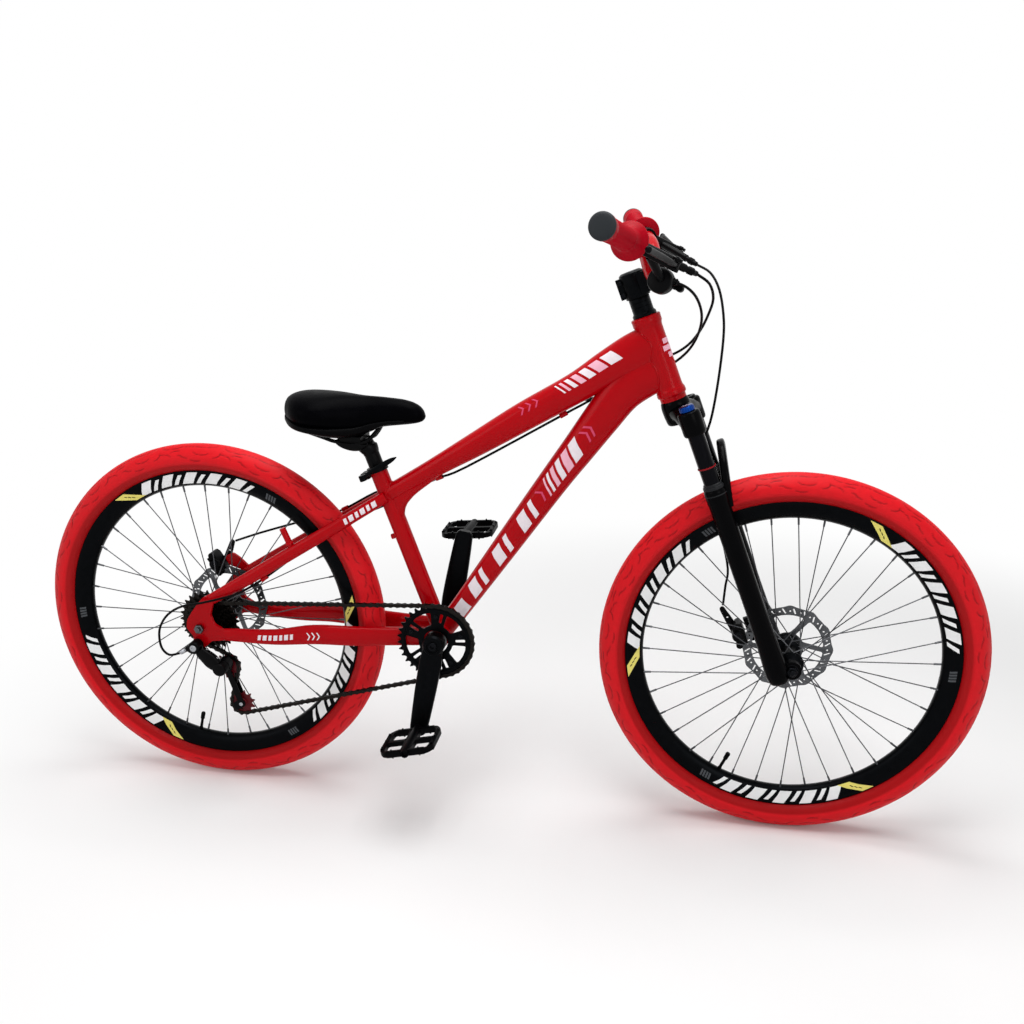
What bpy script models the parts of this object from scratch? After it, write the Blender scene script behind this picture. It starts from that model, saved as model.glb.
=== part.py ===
"""Freeride hardtail bicycle with a suspension fork, disc brakes and seven speeds.

Metres, +Z up, +X towards the front wheel, +Y to the rider's left. The origin lies on the
ground, midway between the two axles. Places along the bicycle are given from the rear axle,
as a frame builder draws them, and at() moves them to the origin.
"""
import math

import bmesh
import bpy
from mathutils import Matrix, Vector

# Driving dimensions: wheels and geometry
WHEELBASE = 1.071
WHEEL_RADIUS = 0.335
FIT_GAP = 0.0003
RING_SIDES = 36
BB_X = 0.443
BB_Z = 0.333
SEAT_ANGLE = math.radians(69.5)
SEAT_TUBE_LENGTH = 0.330
SEAT_TUBE_RADIUS = 0.0159
HEAD_ANGLE = math.radians(68.5)
HEAD_TUBE_RADIUS = 0.0223
FORK_OFFSET = 0.044
HEAD_TUBE_BOTTOM = 0.5013
HEAD_TUBE_TOP = 0.6479

# Tyres and rims
TYRE_HALF_WIDTH = 0.027
RIM_OUTER = 0.2857
RIM_INNER = 0.2560
RIM_HALF_WIDTH = 0.0155
SPOKES_PER_SIDE = 18
SPOKE_RADIUS = 0.0011
SPOKE_END = 0.2545
ROTOR_RADIUS = 0.080
ROTOR_THICKNESS = 0.002
FRONT_ROTOR_Y = 0.0400
REAR_ROTOR_Y = 0.0540
AXLE_RADIUS = 0.0048
FRONT_DROPOUT_Y = 0.0500
FRONT_PLATE = 0.0115
REAR_DROPOUT_Y = 0.0675
DROPOUT_THICKNESS = 0.007

# Drivetrain
CHAIN_PITCH = 0.0127
CHAINRING_TEETH = 34
COG_TEETH = (28, 24, 22, 20, 18, 16, 14)
COG_SPACING = 0.005
DRIVEN_COG = 3
PULLEY_TEETH = 11
CHAINLINE = 0.0475
CRANK_LENGTH = 0.162
CRANK_BACK_ANGLE = math.radians(9.5)
CHAIN_HALF_HEIGHT = 0.0042
CHAIN_PLATE = 0.0009
CHAIN_PLATE_Y = 0.0027
CHAIN_PIN_RADIUS = 0.0021
GUIDE_PULLEY = (0.0370, 0.2500)
TENSION_PULLEY = (0.0620, 0.1760)
CAGE_PIVOT = (0.0400, 0.2620)
HANGER_BOLT = (-0.0060, 0.3030)
LINK_NEAR = 0.0190
LINK_FAR = 0.0450
BARREL_END = (-0.0370, -0.0870, 0.2875)

# Fork
LEG_Y = 0.062
LEG_FORWARD = 0.0195
STANCHION_RADIUS = 0.0140
STEERER_RADIUS = 0.0143

# Cockpit
BAR_RADIUS = 0.0127
BAR_END_RADIUS = 0.0111
BAR_CLAMP_HEIGHT = 0.7020
BAR_CLAMP_FORWARD = 0.0380
BAR_END = (0.7475, 0.345, 1.0700)
BAR_FLANGE = (0.7760, 0.215, 1.0470)
GRIP_LENGTH = 0.130

# Saddle
SADDLE_REAR = 0.1645
SADDLE_LENGTH = 0.254
RAIL_RADIUS = 0.0035
RAIL_HEIGHT = 0.6905
POST_RADIUS = 0.0136

CABLE_RADIUS = 0.0022
SHIFTER = (0.8200, -0.1400, 0.9880)
PEDAL_TILT_RIGHT = math.radians(13.0)
PEDAL_TILT_LEFT = math.radians(4.7)
LEVER_AXIS = Vector((0.403, 0, 0.915)).normalized()
LEVER_PULL = Vector((-0.915, 0, 0.403)).normalized()

UP = Vector((0, 0, 1))
SIDE = Vector((0, 1, 0))
RIGHT = -1
LEFT = 1


def at(x, y, z):
    """A point given from the rear axle, moved to the bicycle's own origin."""
    return Vector((x - WHEELBASE / 2, y, z))


REAR_AXLE = at(0, 0, WHEEL_RADIUS)
FRONT_AXLE = at(WHEELBASE, 0, WHEEL_RADIUS)
BOTTOM_BRACKET = at(BB_X, 0, BB_Z)
STEER_UP = Vector((-math.cos(HEAD_ANGLE), 0, math.sin(HEAD_ANGLE)))
STEER_FORWARD = Vector((math.sin(HEAD_ANGLE), 0, math.cos(HEAD_ANGLE)))
STEER_FOOT = FRONT_AXLE - STEER_FORWARD * FORK_OFFSET
SEAT_UP = Vector((-math.cos(SEAT_ANGLE), 0, math.sin(SEAT_ANGLE)))


def on_fork(height, forward=0.0, y=0.0):
    """A point on the fork: height up the steering axis from the axle's foot, and forward of it."""
    return STEER_FOOT + STEER_UP * height + STEER_FORWARD * forward + SIDE * y


def on_seat_tube(distance, forward=0.0, y=0.0):
    """A point at a distance up the seat tube from the bottom bracket."""
    ahead = Vector((SEAT_UP.z, 0, -SEAT_UP.x))
    return BOTTOM_BRACKET + SEAT_UP * distance + ahead * forward + SIDE * y


# Scene and collections

def clear_scene():
    for obj in list(bpy.data.objects):
        bpy.data.objects.remove(obj)


def new_collection(name):
    collection = bpy.data.collections.new(name)
    bpy.context.scene.collection.children.link(collection)
    return collection


clear_scene()
PARTS = new_collection("freeride_bike")
CUTTERS = new_collection("cutters")


def srgb(code):
    """A hex colour as the linear values that Blender's shaders take."""
    channels = [int(code[i:i + 2], 16) / 255 for i in (1, 3, 5)]
    linear = [c / 12.92 if c <= 0.04045 else ((c + 0.055) / 1.055) ** 2.4 for c in channels]
    return (*linear, 1.0)


def material(name, code, roughness, metallic=0.0):
    made = bpy.data.materials.new(name)
    made.use_nodes = True
    shader = made.node_tree.nodes["Principled BSDF"]
    shader.inputs["Base Color"].default_value = srgb(code)
    shader.inputs["Roughness"].default_value = roughness
    shader.inputs["Metallic"].default_value = metallic
    return made


FRAME_PAINT = material("frame_paint", "#c8102a", 0.30)
FORK_PAINT = material("fork_paint", "#101113", 0.35)
STANCHION_COAT = material("stanchion_coat", "#1a1b1d", 0.15, 0.7)
BLACK_ALLOY = material("black_alloy", "#17181a", 0.40, 0.4)
SILVER_STEEL = material("silver_steel", "#b9bcc0", 0.30, 1.0)
DARK_STEEL = material("dark_steel", "#34363a", 0.40, 0.9)
TYRE_RUBBER = material("tyre_rubber", "#d4202c", 0.75)
GRIP_RUBBER = material("grip_rubber", "#c4142a", 0.65)
BLACK_PLASTIC = material("black_plastic", "#141416", 0.50)
CABLE_SHEATH = material("cable_sheath", "#0f0f10", 0.45)
SADDLE_COVER = material("saddle_cover", "#17171a", 0.55)
RED_PLASTIC = material("red_plastic", "#7a1420", 0.50)
BLUE_ANODISED = material("blue_anodised", "#1c4fae", 0.30, 0.8)


# Making shapes

def add_object(name, data, look=None):
    obj = bpy.data.objects.new(name, data)
    PARTS.objects.link(obj)
    if look:
        data.materials.append(look)
    return obj


def mesh_object(name, bm, look=None, smooth=True):
    mesh = bpy.data.meshes.new(name)
    bm.to_mesh(mesh)
    bm.free()
    if smooth:
        mesh.shade_smooth()
        mesh.set_sharp_from_angle(angle=math.radians(35))
    return add_object(name, mesh, look)


def facing(axis, across=SIDE):
    """A rotation whose Z axis is the given axis, with X kept square to the second vector."""
    z = Vector(axis).normalized()
    helper = Vector(across)
    if abs(z.dot(helper.normalized())) > 0.99:
        helper = UP if abs(z.z) < 0.9 else Vector((1, 0, 0))
    x = helper.cross(z).normalized()
    y = z.cross(x)
    return Matrix((x, y, z)).transposed().to_4x4()


def turned(name, profile, centre, axis, sides, look=None, closed=False, turn=0.0):
    """A turned piece: (radius, height) points run down its outer side, top to bottom."""
    bm = bmesh.new()
    verts = [bm.verts.new((radius, 0, height)) for radius, height in profile]
    for first, second in zip(verts, verts[1:]):
        bm.edges.new((first, second))
    if closed:
        bm.edges.new((verts[-1], verts[0]))
    mesh = bpy.data.meshes.new(name)
    bm.to_mesh(mesh)
    bm.free()
    obj = add_object(name, mesh, look)
    screw = obj.modifiers.new("Screw", "SCREW")
    screw.steps = sides
    screw.render_steps = sides
    screw.use_merge_vertices = True
    screw.merge_threshold = 0.00001
    obj.matrix_world = Matrix.Translation(centre) @ facing(axis) @ Matrix.Rotation(turn, 4, "Z")
    return obj


def rod(name, start, end, radius, sides, look=None):
    """A straight cylinder between two points, with its origin at the first."""
    start = Vector(start)
    length = (Vector(end) - start).length
    bm = bmesh.new()
    bmesh.ops.create_cone(bm, cap_ends=True, segments=sides, radius1=radius, radius2=radius,
                          depth=length, matrix=Matrix.Translation((0, 0, length / 2)))
    obj = mesh_object(name, bm, look)
    obj.matrix_world = Matrix.Translation(start) @ facing(Vector(end) - start)
    return obj


def block(name, size, centre, axis=UP, look=None, bevel=0.0):
    """A box turned so that its Z runs along the axis and its Y along the bicycle's Y."""
    bm = bmesh.new()
    bmesh.ops.create_cube(bm, size=1.0, matrix=Matrix.Diagonal((*size, 1.0)))
    if bevel:
        bmesh.ops.bevel(bm, geom=bm.edges[:], offset=bevel, segments=1, affect="EDGES")
    obj = mesh_object(name, bm, look, smooth=False)
    obj.matrix_world = Matrix.Translation(centre) @ facing(axis)
    return obj


def section_frame(tangent, across):
    """The up and side directions of a tube's section that crosses the given direction."""
    side = (across - tangent * across.dot(tangent)).normalized()
    return side.cross(tangent).normalized() * -1, side


def loft(name, stations, sides, origin, look=None, across=SIDE, squareness=2.0, grow=0.0):
    """A formed tube through (centre, half height, half width) stations, with flat ends."""
    centres = [Vector(station[0]) for station in stations]
    bm = bmesh.new()
    rings = []
    for index, (centre, half_height, half_width) in enumerate(stations):
        before = centres[max(index - 1, 0)]
        after = centres[min(index + 1, len(centres) - 1)]
        up, side = section_frame((after - before).normalized(), across)
        ring = []
        for step in range(sides):
            angle = 2 * math.pi * (step + 0.5) / sides
            sideways = math.copysign(abs(math.cos(angle)) ** (2 / squareness), math.cos(angle))
            upwards = math.copysign(abs(math.sin(angle)) ** (2 / squareness), math.sin(angle))
            point = Vector(centre) + side * sideways * (half_width + grow)
            point += up * upwards * (half_height + grow)
            ring.append(bm.verts.new(point - Vector(origin)))
        rings.append(ring)
    for lower, upper in zip(rings, rings[1:]):
        for step in range(sides):
            after = (step + 1) % sides
            bm.faces.new((lower[step], lower[after], upper[after], upper[step]))
    bm.faces.new(rings[0])
    bm.faces.new(rings[-1])
    bmesh.ops.recalc_face_normals(bm, faces=bm.faces[:])
    obj = mesh_object(name, bm, look)
    obj.location = origin
    return obj


def plate(name, outline, holes, thickness, origin, across=SIDE, look=None):
    """A flat plate: the outline and its holes lie in the plane square to the thickness."""
    curve = bpy.data.curves.new(name, "CURVE")
    curve.dimensions = "2D"
    curve.fill_mode = "BOTH"
    curve.extrude = thickness / 2
    for points in [outline] + list(holes):
        spline = curve.splines.new("POLY")
        spline.points.add(len(points) - 1)
        for point, place in zip(spline.points, points):
            point.co = (place[0], place[1], 0, 1)
        spline.use_cyclic_u = True
    obj = bpy.data.objects.new(name, curve)
    PARTS.objects.link(obj)
    flat = solid(obj)
    if look:
        flat.data.materials.append(look)
    z = Vector(across).normalized() * -1
    x = Vector((1, 0, 0))
    turn = Matrix((x, z.cross(x), z)).transposed().to_4x4()
    flat.matrix_world = Matrix.Translation(origin) @ turn
    return flat


def wire(name, points, radius, look=None, resolution=2, radii=None, origin=None):
    """A bent rod or cable through the points, with filled ends."""
    start = Vector(origin if origin is not None else points[0])
    curve = bpy.data.curves.new(name, "CURVE")
    curve.dimensions = "3D"
    curve.bevel_depth = radius
    curve.bevel_resolution = resolution
    curve.use_fill_caps = True
    spline = curve.splines.new("POLY")
    spline.points.add(len(points) - 1)
    for index, (point, place) in enumerate(zip(spline.points, points)):
        point.co = (*(Vector(place) - start), 1)
        point.radius = radii[index] if radii else 1.0
    obj = add_object(name, curve, look)
    obj.location = start
    return obj


def solid(obj):
    """A curve as a welded mesh object under the same name, so that it can be cut and joined."""
    bpy.context.view_layer.update()
    name = obj.name
    evaluated = obj.evaluated_get(bpy.context.evaluated_depsgraph_get())
    mesh = bpy.data.meshes.new_from_object(evaluated)
    bm = bmesh.new()
    bm.from_mesh(mesh)
    bmesh.ops.remove_doubles(bm, verts=bm.verts[:], dist=0.00001)
    bmesh.ops.recalc_face_normals(bm, faces=bm.faces[:])
    bm.to_mesh(mesh)
    bm.free()
    place = obj.matrix_world.copy()
    bpy.data.objects.remove(obj)
    made = bpy.data.objects.new(name, mesh)
    PARTS.objects.link(made)
    made.matrix_world = place
    return made


def as_cutter(obj):
    if obj.name in PARTS.objects:
        PARTS.objects.unlink(obj)
        CUTTERS.objects.link(obj)
    obj.hide_render = True
    obj.display_type = "WIRE"
    return obj


def boolean(obj, other, operation):
    step = obj.modifiers.new(operation.title(), "BOOLEAN")
    step.operation = operation
    step.object = as_cutter(other)
    return obj


def cut(obj, *cutters):
    for cutter in cutters:
        boolean(obj, cutter, "DIFFERENCE")
    return obj


def join(obj, *others):
    for other in others:
        boolean(obj, other, "UNION")
    return obj


def circle(radius, count, centre=(0.0, 0.0), start=0.0):
    steps = [start + 2 * math.pi * index / count for index in range(count)]
    return [(centre[0] + radius * math.cos(a), centre[1] + radius * math.sin(a)) for a in steps]


def smooth_path(points, count):
    """Points read at even steps from a smooth curve through a route's own points."""
    route = [Vector(point) for point in points]
    route = [route[0] * 2 - route[1]] + route + [route[-1] * 2 - route[-2]]
    dense = []
    for a, b, c, d in zip(route, route[1:], route[2:], route[3:]):
        for step in range(16):
            t = step / 16
            dense.append(0.5 * (2 * b + (c - a) * t + (2 * a - 5 * b + 4 * c - d) * t ** 2
                                + (3 * b - a - 3 * c + d) * t ** 3))
    dense.append(route[-2])
    lengths = [0.0]
    for first, second in zip(dense, dense[1:]):
        lengths.append(lengths[-1] + (second - first).length)
    even = []
    index = 0
    for step in range(count):
        target = lengths[-1] * step / (count - 1)
        while index < len(lengths) - 2 and lengths[index + 1] < target:
            index += 1
        share = (target - lengths[index]) / (lengths[index + 1] - lengths[index])
        even.append(dense[index].lerp(dense[index + 1], min(share, 1.0)))
    return even


def body_empty(name, centre):
    """An empty on a joint's axis, which the pieces of one moving body hang from."""
    empty = bpy.data.objects.new(name, None)
    empty.empty_display_size = 0.05
    PARTS.objects.link(empty)
    empty.location = centre
    return empty


def hang(empty, *pieces):
    bpy.context.view_layer.update()
    for piece in pieces:
        place = piece.matrix_world.copy()
        piece.parent = empty
        piece.matrix_parent_inverse = empty.matrix_world.inverted()
        piece.matrix_world = place


# Frame

TOP_TUBE = [(at(0.345, 0, 0.591), 0.0160, 0.0150), (at(0.425, 0, 0.641), 0.0168, 0.0170),
            (at(0.510, 0, 0.693), 0.0215, 0.0195), (at(0.592, 0, 0.7445), 0.0250, 0.0210),
            (at(0.680, 0, 0.797), 0.0262, 0.0225), (at(0.735, 0, 0.834), 0.0300, 0.0238),
            (at(0.775, 0, 0.859), 0.0330, 0.0232), (at(0.808, 0, 0.876), 0.0340, 0.0215)]

DOWN_TUBE = [(at(0.443, 0, 0.332), 0.0185, 0.0180), (at(0.481, 0, 0.386), 0.0193, 0.0195),
             (at(0.564, 0, 0.5095), 0.0232, 0.0210), (at(0.647, 0, 0.633), 0.0265, 0.0225),
             (at(0.690, 0, 0.6945), 0.0292, 0.0230), (at(0.727, 0, 0.748), 0.0320, 0.0228),
             (at(0.760, 0, 0.793), 0.0340, 0.0222), (at(0.795, 0, 0.820), 0.0345, 0.0210),
             (at(0.825, 0, 0.836), 0.0330, 0.0195)]

SEATSTAY = [(0.012, 0.0670, 0.3850, 0.0095, 0.0060), (0.045, 0.0655, 0.4045, 0.0110, 0.0075),
            (0.108, 0.0610, 0.4430, 0.0120, 0.0085), (0.180, 0.0510, 0.4880, 0.0120, 0.0090),
            (0.250, 0.0415, 0.5315, 0.0115, 0.0090), (0.300, 0.0315, 0.5630, 0.0110, 0.0090),
            (0.347, 0.0185, 0.5920, 0.0105, 0.0085)]

CHAINSTAY = [(0.026, 0.0700, 0.3235, 0.0105, 0.0045), (0.060, 0.0672, 0.3235, 0.0125, 0.0075),
             (0.140, 0.0610, 0.3230, 0.0150, 0.0090), (0.215, 0.0540, 0.3310, 0.0190, 0.0095),
             (0.290, 0.0450, 0.3300, 0.0190, 0.0095), (0.345, 0.0370, 0.3310, 0.0180, 0.0095),
             (0.400, 0.0290, 0.3320, 0.0175, 0.0100), (0.438, 0.0265, 0.3325, 0.0165, 0.0095)]

DROPOUT_OUTLINE = [(-0.024, 0.352), (-0.012, 0.372), (0.003, 0.394), (0.020, 0.401), (0.032, 0.388),
                   (0.024, 0.362), (0.031, 0.344), (0.046, 0.334), (0.046, 0.314), (0.022, 0.311),
                   (0.004, 0.293), (-0.012, 0.291), (-0.019, 0.303), (-0.015, 0.318), (-0.026, 0.331)]


def head_tube_cutter(name):
    return rod(name, on_fork(HEAD_TUBE_BOTTOM - 0.03), on_fork(HEAD_TUBE_TOP + 0.03),
               HEAD_TUBE_RADIUS + FIT_GAP, 16)


def shell_cutter(name):
    centre = BOTTOM_BRACKET
    return rod(name, centre - SIDE * 0.05, centre + SIDE * 0.05, 0.0205 + FIT_GAP, 20)


def seat_tube_cutter(name):
    return rod(name, on_seat_tube(0.0), on_seat_tube(SEAT_TUBE_LENGTH), SEAT_TUBE_RADIUS + FIT_GAP, 16)


def make_head_tube():
    """The head tube with its two pressed headset cups, bored for the steerer."""
    low, high = HEAD_TUBE_BOTTOM, HEAD_TUBE_TOP
    bore = STEERER_RADIUS + 0.0006
    lip = HEAD_TUBE_RADIUS + 0.0024
    profile = [(bore, high), (0.0205, high), (lip, high - 0.006),
               (lip, high - 0.014), (HEAD_TUBE_RADIUS, high - 0.019),
               (HEAD_TUBE_RADIUS, low + 0.021), (lip, low + 0.016), (lip, low + 0.008),
               (0.0222, low + 0.007), (0.0222, low), (bore, low)]
    return turned("head_tube", profile, on_fork(0), STEER_UP, 16, FRAME_PAINT, closed=True)


def make_main_tubes():
    """The formed top and down tubes, mitred round the tubes that they are welded to."""
    top = loft("top_tube", TOP_TUBE, 14, TOP_TUBE[0][0], FRAME_PAINT, squareness=2.3)
    cut(top, head_tube_cutter("top_tube_head_mitre"), seat_tube_cutter("top_tube_seat_mitre"))
    trim_lip(top, "top_tube")
    down = loft("down_tube", DOWN_TUBE, 14, DOWN_TUBE[0][0], FRAME_PAINT, squareness=2.3)
    crotch = loft("down_tube_top_mitre", TOP_TUBE, 14, TOP_TUBE[0][0], squareness=2.3, grow=FIT_GAP)
    cut(down, crotch, head_tube_cutter("down_tube_head_mitre"), shell_cutter("down_tube_shell_mitre"),
        seat_tube_cutter("down_tube_seat_mitre"))
    trim_lip(down, "down_tube")


def trim_lip(tube, name):
    """Room for the head tube's thicker ends where a tube meets them."""
    lip = HEAD_TUBE_RADIUS + 0.0024 + FIT_GAP
    for end, low, high in (("low", HEAD_TUBE_BOTTOM - 0.01, HEAD_TUBE_BOTTOM + 0.0215),
                           ("high", HEAD_TUBE_TOP - 0.0195, HEAD_TUBE_TOP + 0.02)):
        cut(tube, rod(f"{name}_{end}_lip", on_fork(low), on_fork(high), lip, 16))


def make_seat_tube():
    """The seat tube, open at the top for the post, with the bottom bracket shell at its foot."""
    tube = rod("seat_tube", on_seat_tube(0.012), on_seat_tube(SEAT_TUBE_LENGTH), SEAT_TUBE_RADIUS, 16,
               FRAME_PAINT)
    shell = rod("bottom_bracket_shell", BOTTOM_BRACKET - SIDE * 0.0365, BOTTOM_BRACKET + SIDE * 0.0365,
                0.0205, 20)
    boss = rod("cable_boss", on_seat_tube(0.200, -0.012), on_seat_tube(0.200, -0.0225), 0.0050, 8)
    bore = rod("seat_tube_bore", on_seat_tube(0.11), on_seat_tube(SEAT_TUBE_LENGTH + 0.02),
               POST_RADIUS + FIT_GAP, 16)
    axle_bore = rod("bracket_axle_bore", BOTTOM_BRACKET - SIDE * 0.06, BOTTOM_BRACKET + SIDE * 0.06,
                    0.0085 + FIT_GAP, 16)
    join(tube, shell, boss)
    cut(tube, bore, axle_bore)


def stay_points(table, side):
    return [(at(x, side * y, z), high, wide) for x, y, z, high, wide in table]


def dropout(name, side, thickness, outline=DROPOUT_OUTLINE, hole=AXLE_RADIUS + 0.0005):
    origin = REAR_AXLE + SIDE * side * (REAR_DROPOUT_Y + DROPOUT_THICKNESS / 2)
    points = [(x, z - WHEEL_RADIUS) for x, z in outline]
    holes = [circle(hole, 12)] if hole else []
    return plate(name, points, holes, thickness, origin)


def make_stays():
    for side, word in ((RIGHT, "right"), (LEFT, "left")):
        chainstay = loft(f"chainstay_{word}", stay_points(CHAINSTAY, side), 10,
                         at(0.0, 0, WHEEL_RADIUS), FRAME_PAINT, squareness=2.4)
        join(chainstay, dropout(f"dropout_{word}", side, DROPOUT_THICKNESS))
        cut(chainstay, shell_cutter(f"chainstay_{word}_shell_mitre"),
            seat_tube_cutter(f"chainstay_{word}_seat_mitre"))
        seatstay = loft(f"seatstay_{word}", stay_points(SEATSTAY, side), 10,
                        at(0.0, 0, WHEEL_RADIUS), FRAME_PAINT, squareness=2.2)
        boss = rod(f"brake_boss_{word}", at(0.181, side * 0.0500, 0.489), at(0.163, side * 0.0520, 0.533),
                   0.0060, 8)
        join(seatstay, boss)
        if side == LEFT:
            tab_outline = [(0.0026, 0.4125), (-0.0105, 0.4312), (0.0200, 0.4410), (0.0440, 0.4360),
                           (0.0750, 0.4240), (0.0580, 0.4040)]
            tab = plate("disc_tab", [(x, z - WHEEL_RADIUS) for x, z in tab_outline], [], 0.006,
                        REAR_AXLE + SIDE * 0.0645)
            join(seatstay, tab)
        room = dropout(f"seatstay_{word}_end", side, DROPOUT_THICKNESS + 2 * FIT_GAP, hole=None)
        top_room = loft(f"seatstay_{word}_top", TOP_TUBE, 14, TOP_TUBE[0][0], squareness=2.3, grow=FIT_GAP)
        cut(seatstay, room, seat_tube_cutter(f"seatstay_{word}_seat_mitre"), top_room)


def make_rear_axle():
    """The rear axle with its two nuts, fixed in the dropouts."""
    outside = REAR_DROPOUT_Y + DROPOUT_THICKNESS + FIT_GAP
    profile = [(0, outside + 0.013), (AXLE_RADIUS, outside + 0.013), (AXLE_RADIUS, outside + 0.008),
               (0.0095, outside + 0.008), (0.0095, outside), (AXLE_RADIUS, outside),
               (AXLE_RADIUS, -outside), (0.0095, -outside), (0.0095, -outside - 0.008),
               (AXLE_RADIUS, -outside - 0.008), (AXLE_RADIUS, -outside - 0.013), (0, -outside - 0.013)]
    turned("rear_axle", profile, REAR_AXLE, SIDE, 12, DARK_STEEL)


def make_seat_clamp():
    """The clamp collar round the top of the seat tube, and its quick-release lever."""
    bore = SEAT_TUBE_RADIUS + FIT_GAP
    low, high = SEAT_TUBE_LENGTH - 0.017, SEAT_TUBE_LENGTH + 0.0005
    collar = turned("seat_clamp_collar",
                    [(POST_RADIUS + 0.0006, high + 0.002), (0.0198, high + 0.002), (0.0198, low),
                     (bore, low), (bore, high), (POST_RADIUS + 0.0006, high)],
                    on_seat_tube(0), SEAT_UP, 16, BLACK_ALLOY, closed=True)
    ears = block("collar_ears", (0.014, 0.026, 0.013), on_seat_tube(SEAT_TUBE_LENGTH - 0.0085, -0.0235),
                 SEAT_UP)
    nut = rod("collar_nut", on_seat_tube(SEAT_TUBE_LENGTH - 0.0085, -0.0250, 0.012),
              on_seat_tube(SEAT_TUBE_LENGTH - 0.0085, -0.0250, 0.021), 0.0055, 10)
    join(collar, ears, nut)
    pivot = on_seat_tube(SEAT_TUBE_LENGTH - 0.0085, -0.0250, -0.0205)
    knob = rod("seat_clamp_lever", pivot - SEAT_UP * 0.0055, pivot + SEAT_UP * 0.0055, 0.0068, 12,
               BLACK_ALLOY)
    tip = at(0.372, -0.0300, 0.6690)
    middle = on_seat_tube(SEAT_TUBE_LENGTH - 0.006, -0.002, -0.0275)
    blade = loft("lever_blade", [(pivot + Vector((0.002, -0.0015, 0.0)), 0.0045, 0.0025),
                                 (middle, 0.0050, 0.0022), (middle.lerp(tip, 0.6), 0.0060, 0.0020),
                                 (tip, 0.0050, 0.0016)], 8, pivot)
    join(knob, blade)


# Wheels

def tyre_profile():
    crown = WHEEL_RADIUS / math.cos(math.pi / RING_SIDES)
    return [(RIM_OUTER + 0.0006, 0.0130), (0.2900, 0.0208), (0.3065, TYRE_HALF_WIDTH), (0.3245, 0.0215),
            (crown, 0.0085), (crown, -0.0085), (0.3245, -0.0215), (0.3065, -TYRE_HALF_WIDTH),
            (0.2900, -0.0208), (RIM_OUTER + 0.0006, -0.0130)]


RIM_PROFILE = [(RIM_OUTER, RIM_HALF_WIDTH), (RIM_OUTER, -RIM_HALF_WIDTH), (0.2700, -0.0140),
               (RIM_INNER, -0.0060), (RIM_INNER, 0.0060), (0.2700, 0.0140)]


def hub_profile(left, right, left_flange, right_flange):
    """A hub shell from its left end to its right end, bored for the axle."""
    bore = AXLE_RADIUS + 0.0005
    return [(bore, left), (0.0100, left), (0.0110, left_flange + 0.0045),
            (0.0225, left_flange + 0.0015), (0.0225, left_flange - 0.0015), (0.0140, left_flange - 0.006),
            (0.0140, right_flange + 0.006), (0.0225, right_flange + 0.0015),
            (0.0225, right_flange - 0.0015), (0.0110, right_flange - 0.0045), (0.0100, right),
            (bore, right)]


def spoke_set(name, centre, flange_y, half_turn):
    """Tangent spokes of one flange, alternately leading and trailing, as one mesh."""
    bm = bmesh.new()
    for index in range(SPOKES_PER_SIDE):
        trailing = 1 if index % 2 else -1
        hub_angle = 2 * math.pi * index / SPOKES_PER_SIDE + half_turn
        rim_angle = hub_angle + trailing * math.radians(60)
        near = Vector((0.0195 * math.cos(hub_angle), flange_y + trailing * 0.0012,
                       0.0195 * math.sin(hub_angle)))
        far = Vector((SPOKE_END * math.cos(rim_angle),
                      math.copysign(0.0025, flange_y) + trailing * 0.0012,
                      SPOKE_END * math.sin(rim_angle)))
        length = (far - near).length
        place = Matrix.Translation(near) @ facing(far - near)
        bmesh.ops.create_cone(bm, cap_ends=True, segments=3, radius1=SPOKE_RADIUS, radius2=SPOKE_RADIUS,
                              depth=length, matrix=place @ Matrix.Translation((0, 0, length / 2)))
    obj = mesh_object(name, bm)
    obj.location = centre
    return obj


def rotor_outline():
    points = []
    for step in range(36):
        angle = 2 * math.pi * step / 36
        radius = ROTOR_RADIUS - (0.0035 if step % 6 == 0 else 0.0)
        points.append((radius * math.cos(angle), radius * math.sin(angle)))
    return points


def rotor_windows():
    windows = []
    for arm in range(6):
        start = 2 * math.pi * arm / 6
        outer = [(0.0635, start + math.radians(d)) for d in (8, 23, 38, 52)]
        inner = [(0.0300, start + math.radians(d)) for d in (36, 12)]
        windows.append([(r * math.cos(a), r * math.sin(a)) for r, a in outer + inner])
    return windows


def make_wheel(word, centre, left, right, left_flange, right_flange, rotor_y):
    """Tyre, rim, laced hub and brake rotor of one wheel."""
    turn = math.pi / RING_SIDES
    tyre = turned(f"{word}_tyre", tyre_profile(), centre, SIDE, RING_SIDES, TYRE_RUBBER, closed=True,
                  turn=turn)
    rim = turned(f"{word}_rim", RIM_PROFILE, centre, SIDE, RING_SIDES, BLACK_ALLOY, closed=True,
                 turn=turn)
    hub = turned(f"{word}_hub_and_spokes", hub_profile(left, right, left_flange, right_flange), centre,
                 SIDE, 10, BLACK_ALLOY, closed=True)
    half = math.pi / SPOKES_PER_SIDE
    join(hub, spoke_set(f"{word}_left_spokes", centre, left_flange, 0.02),
         spoke_set(f"{word}_right_spokes", centre, right_flange, 0.02 + half))
    mount_face = rotor_y - ROTOR_THICKNESS / 2 - FIT_GAP
    mount = turned(f"{word}_disc_mount",
                   [(0.0060, mount_face), (0.0255, mount_face), (0.0255, mount_face - 0.003),
                    (0.0150, left_flange + 0.002), (0.0060, left_flange + 0.002)], centre, SIDE, 10,
                   closed=True)
    join(hub, mount)
    rotor = plate(f"{word}_rotor", rotor_outline(), rotor_windows() + [circle(0.0150, 16)],
                  ROTOR_THICKNESS, centre + SIDE * rotor_y, look=SILVER_STEEL)
    return tyre, rim, hub, rotor


# Drivetrain

def pitch_radius(teeth):
    return teeth * CHAIN_PITCH / (2 * math.pi)


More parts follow.
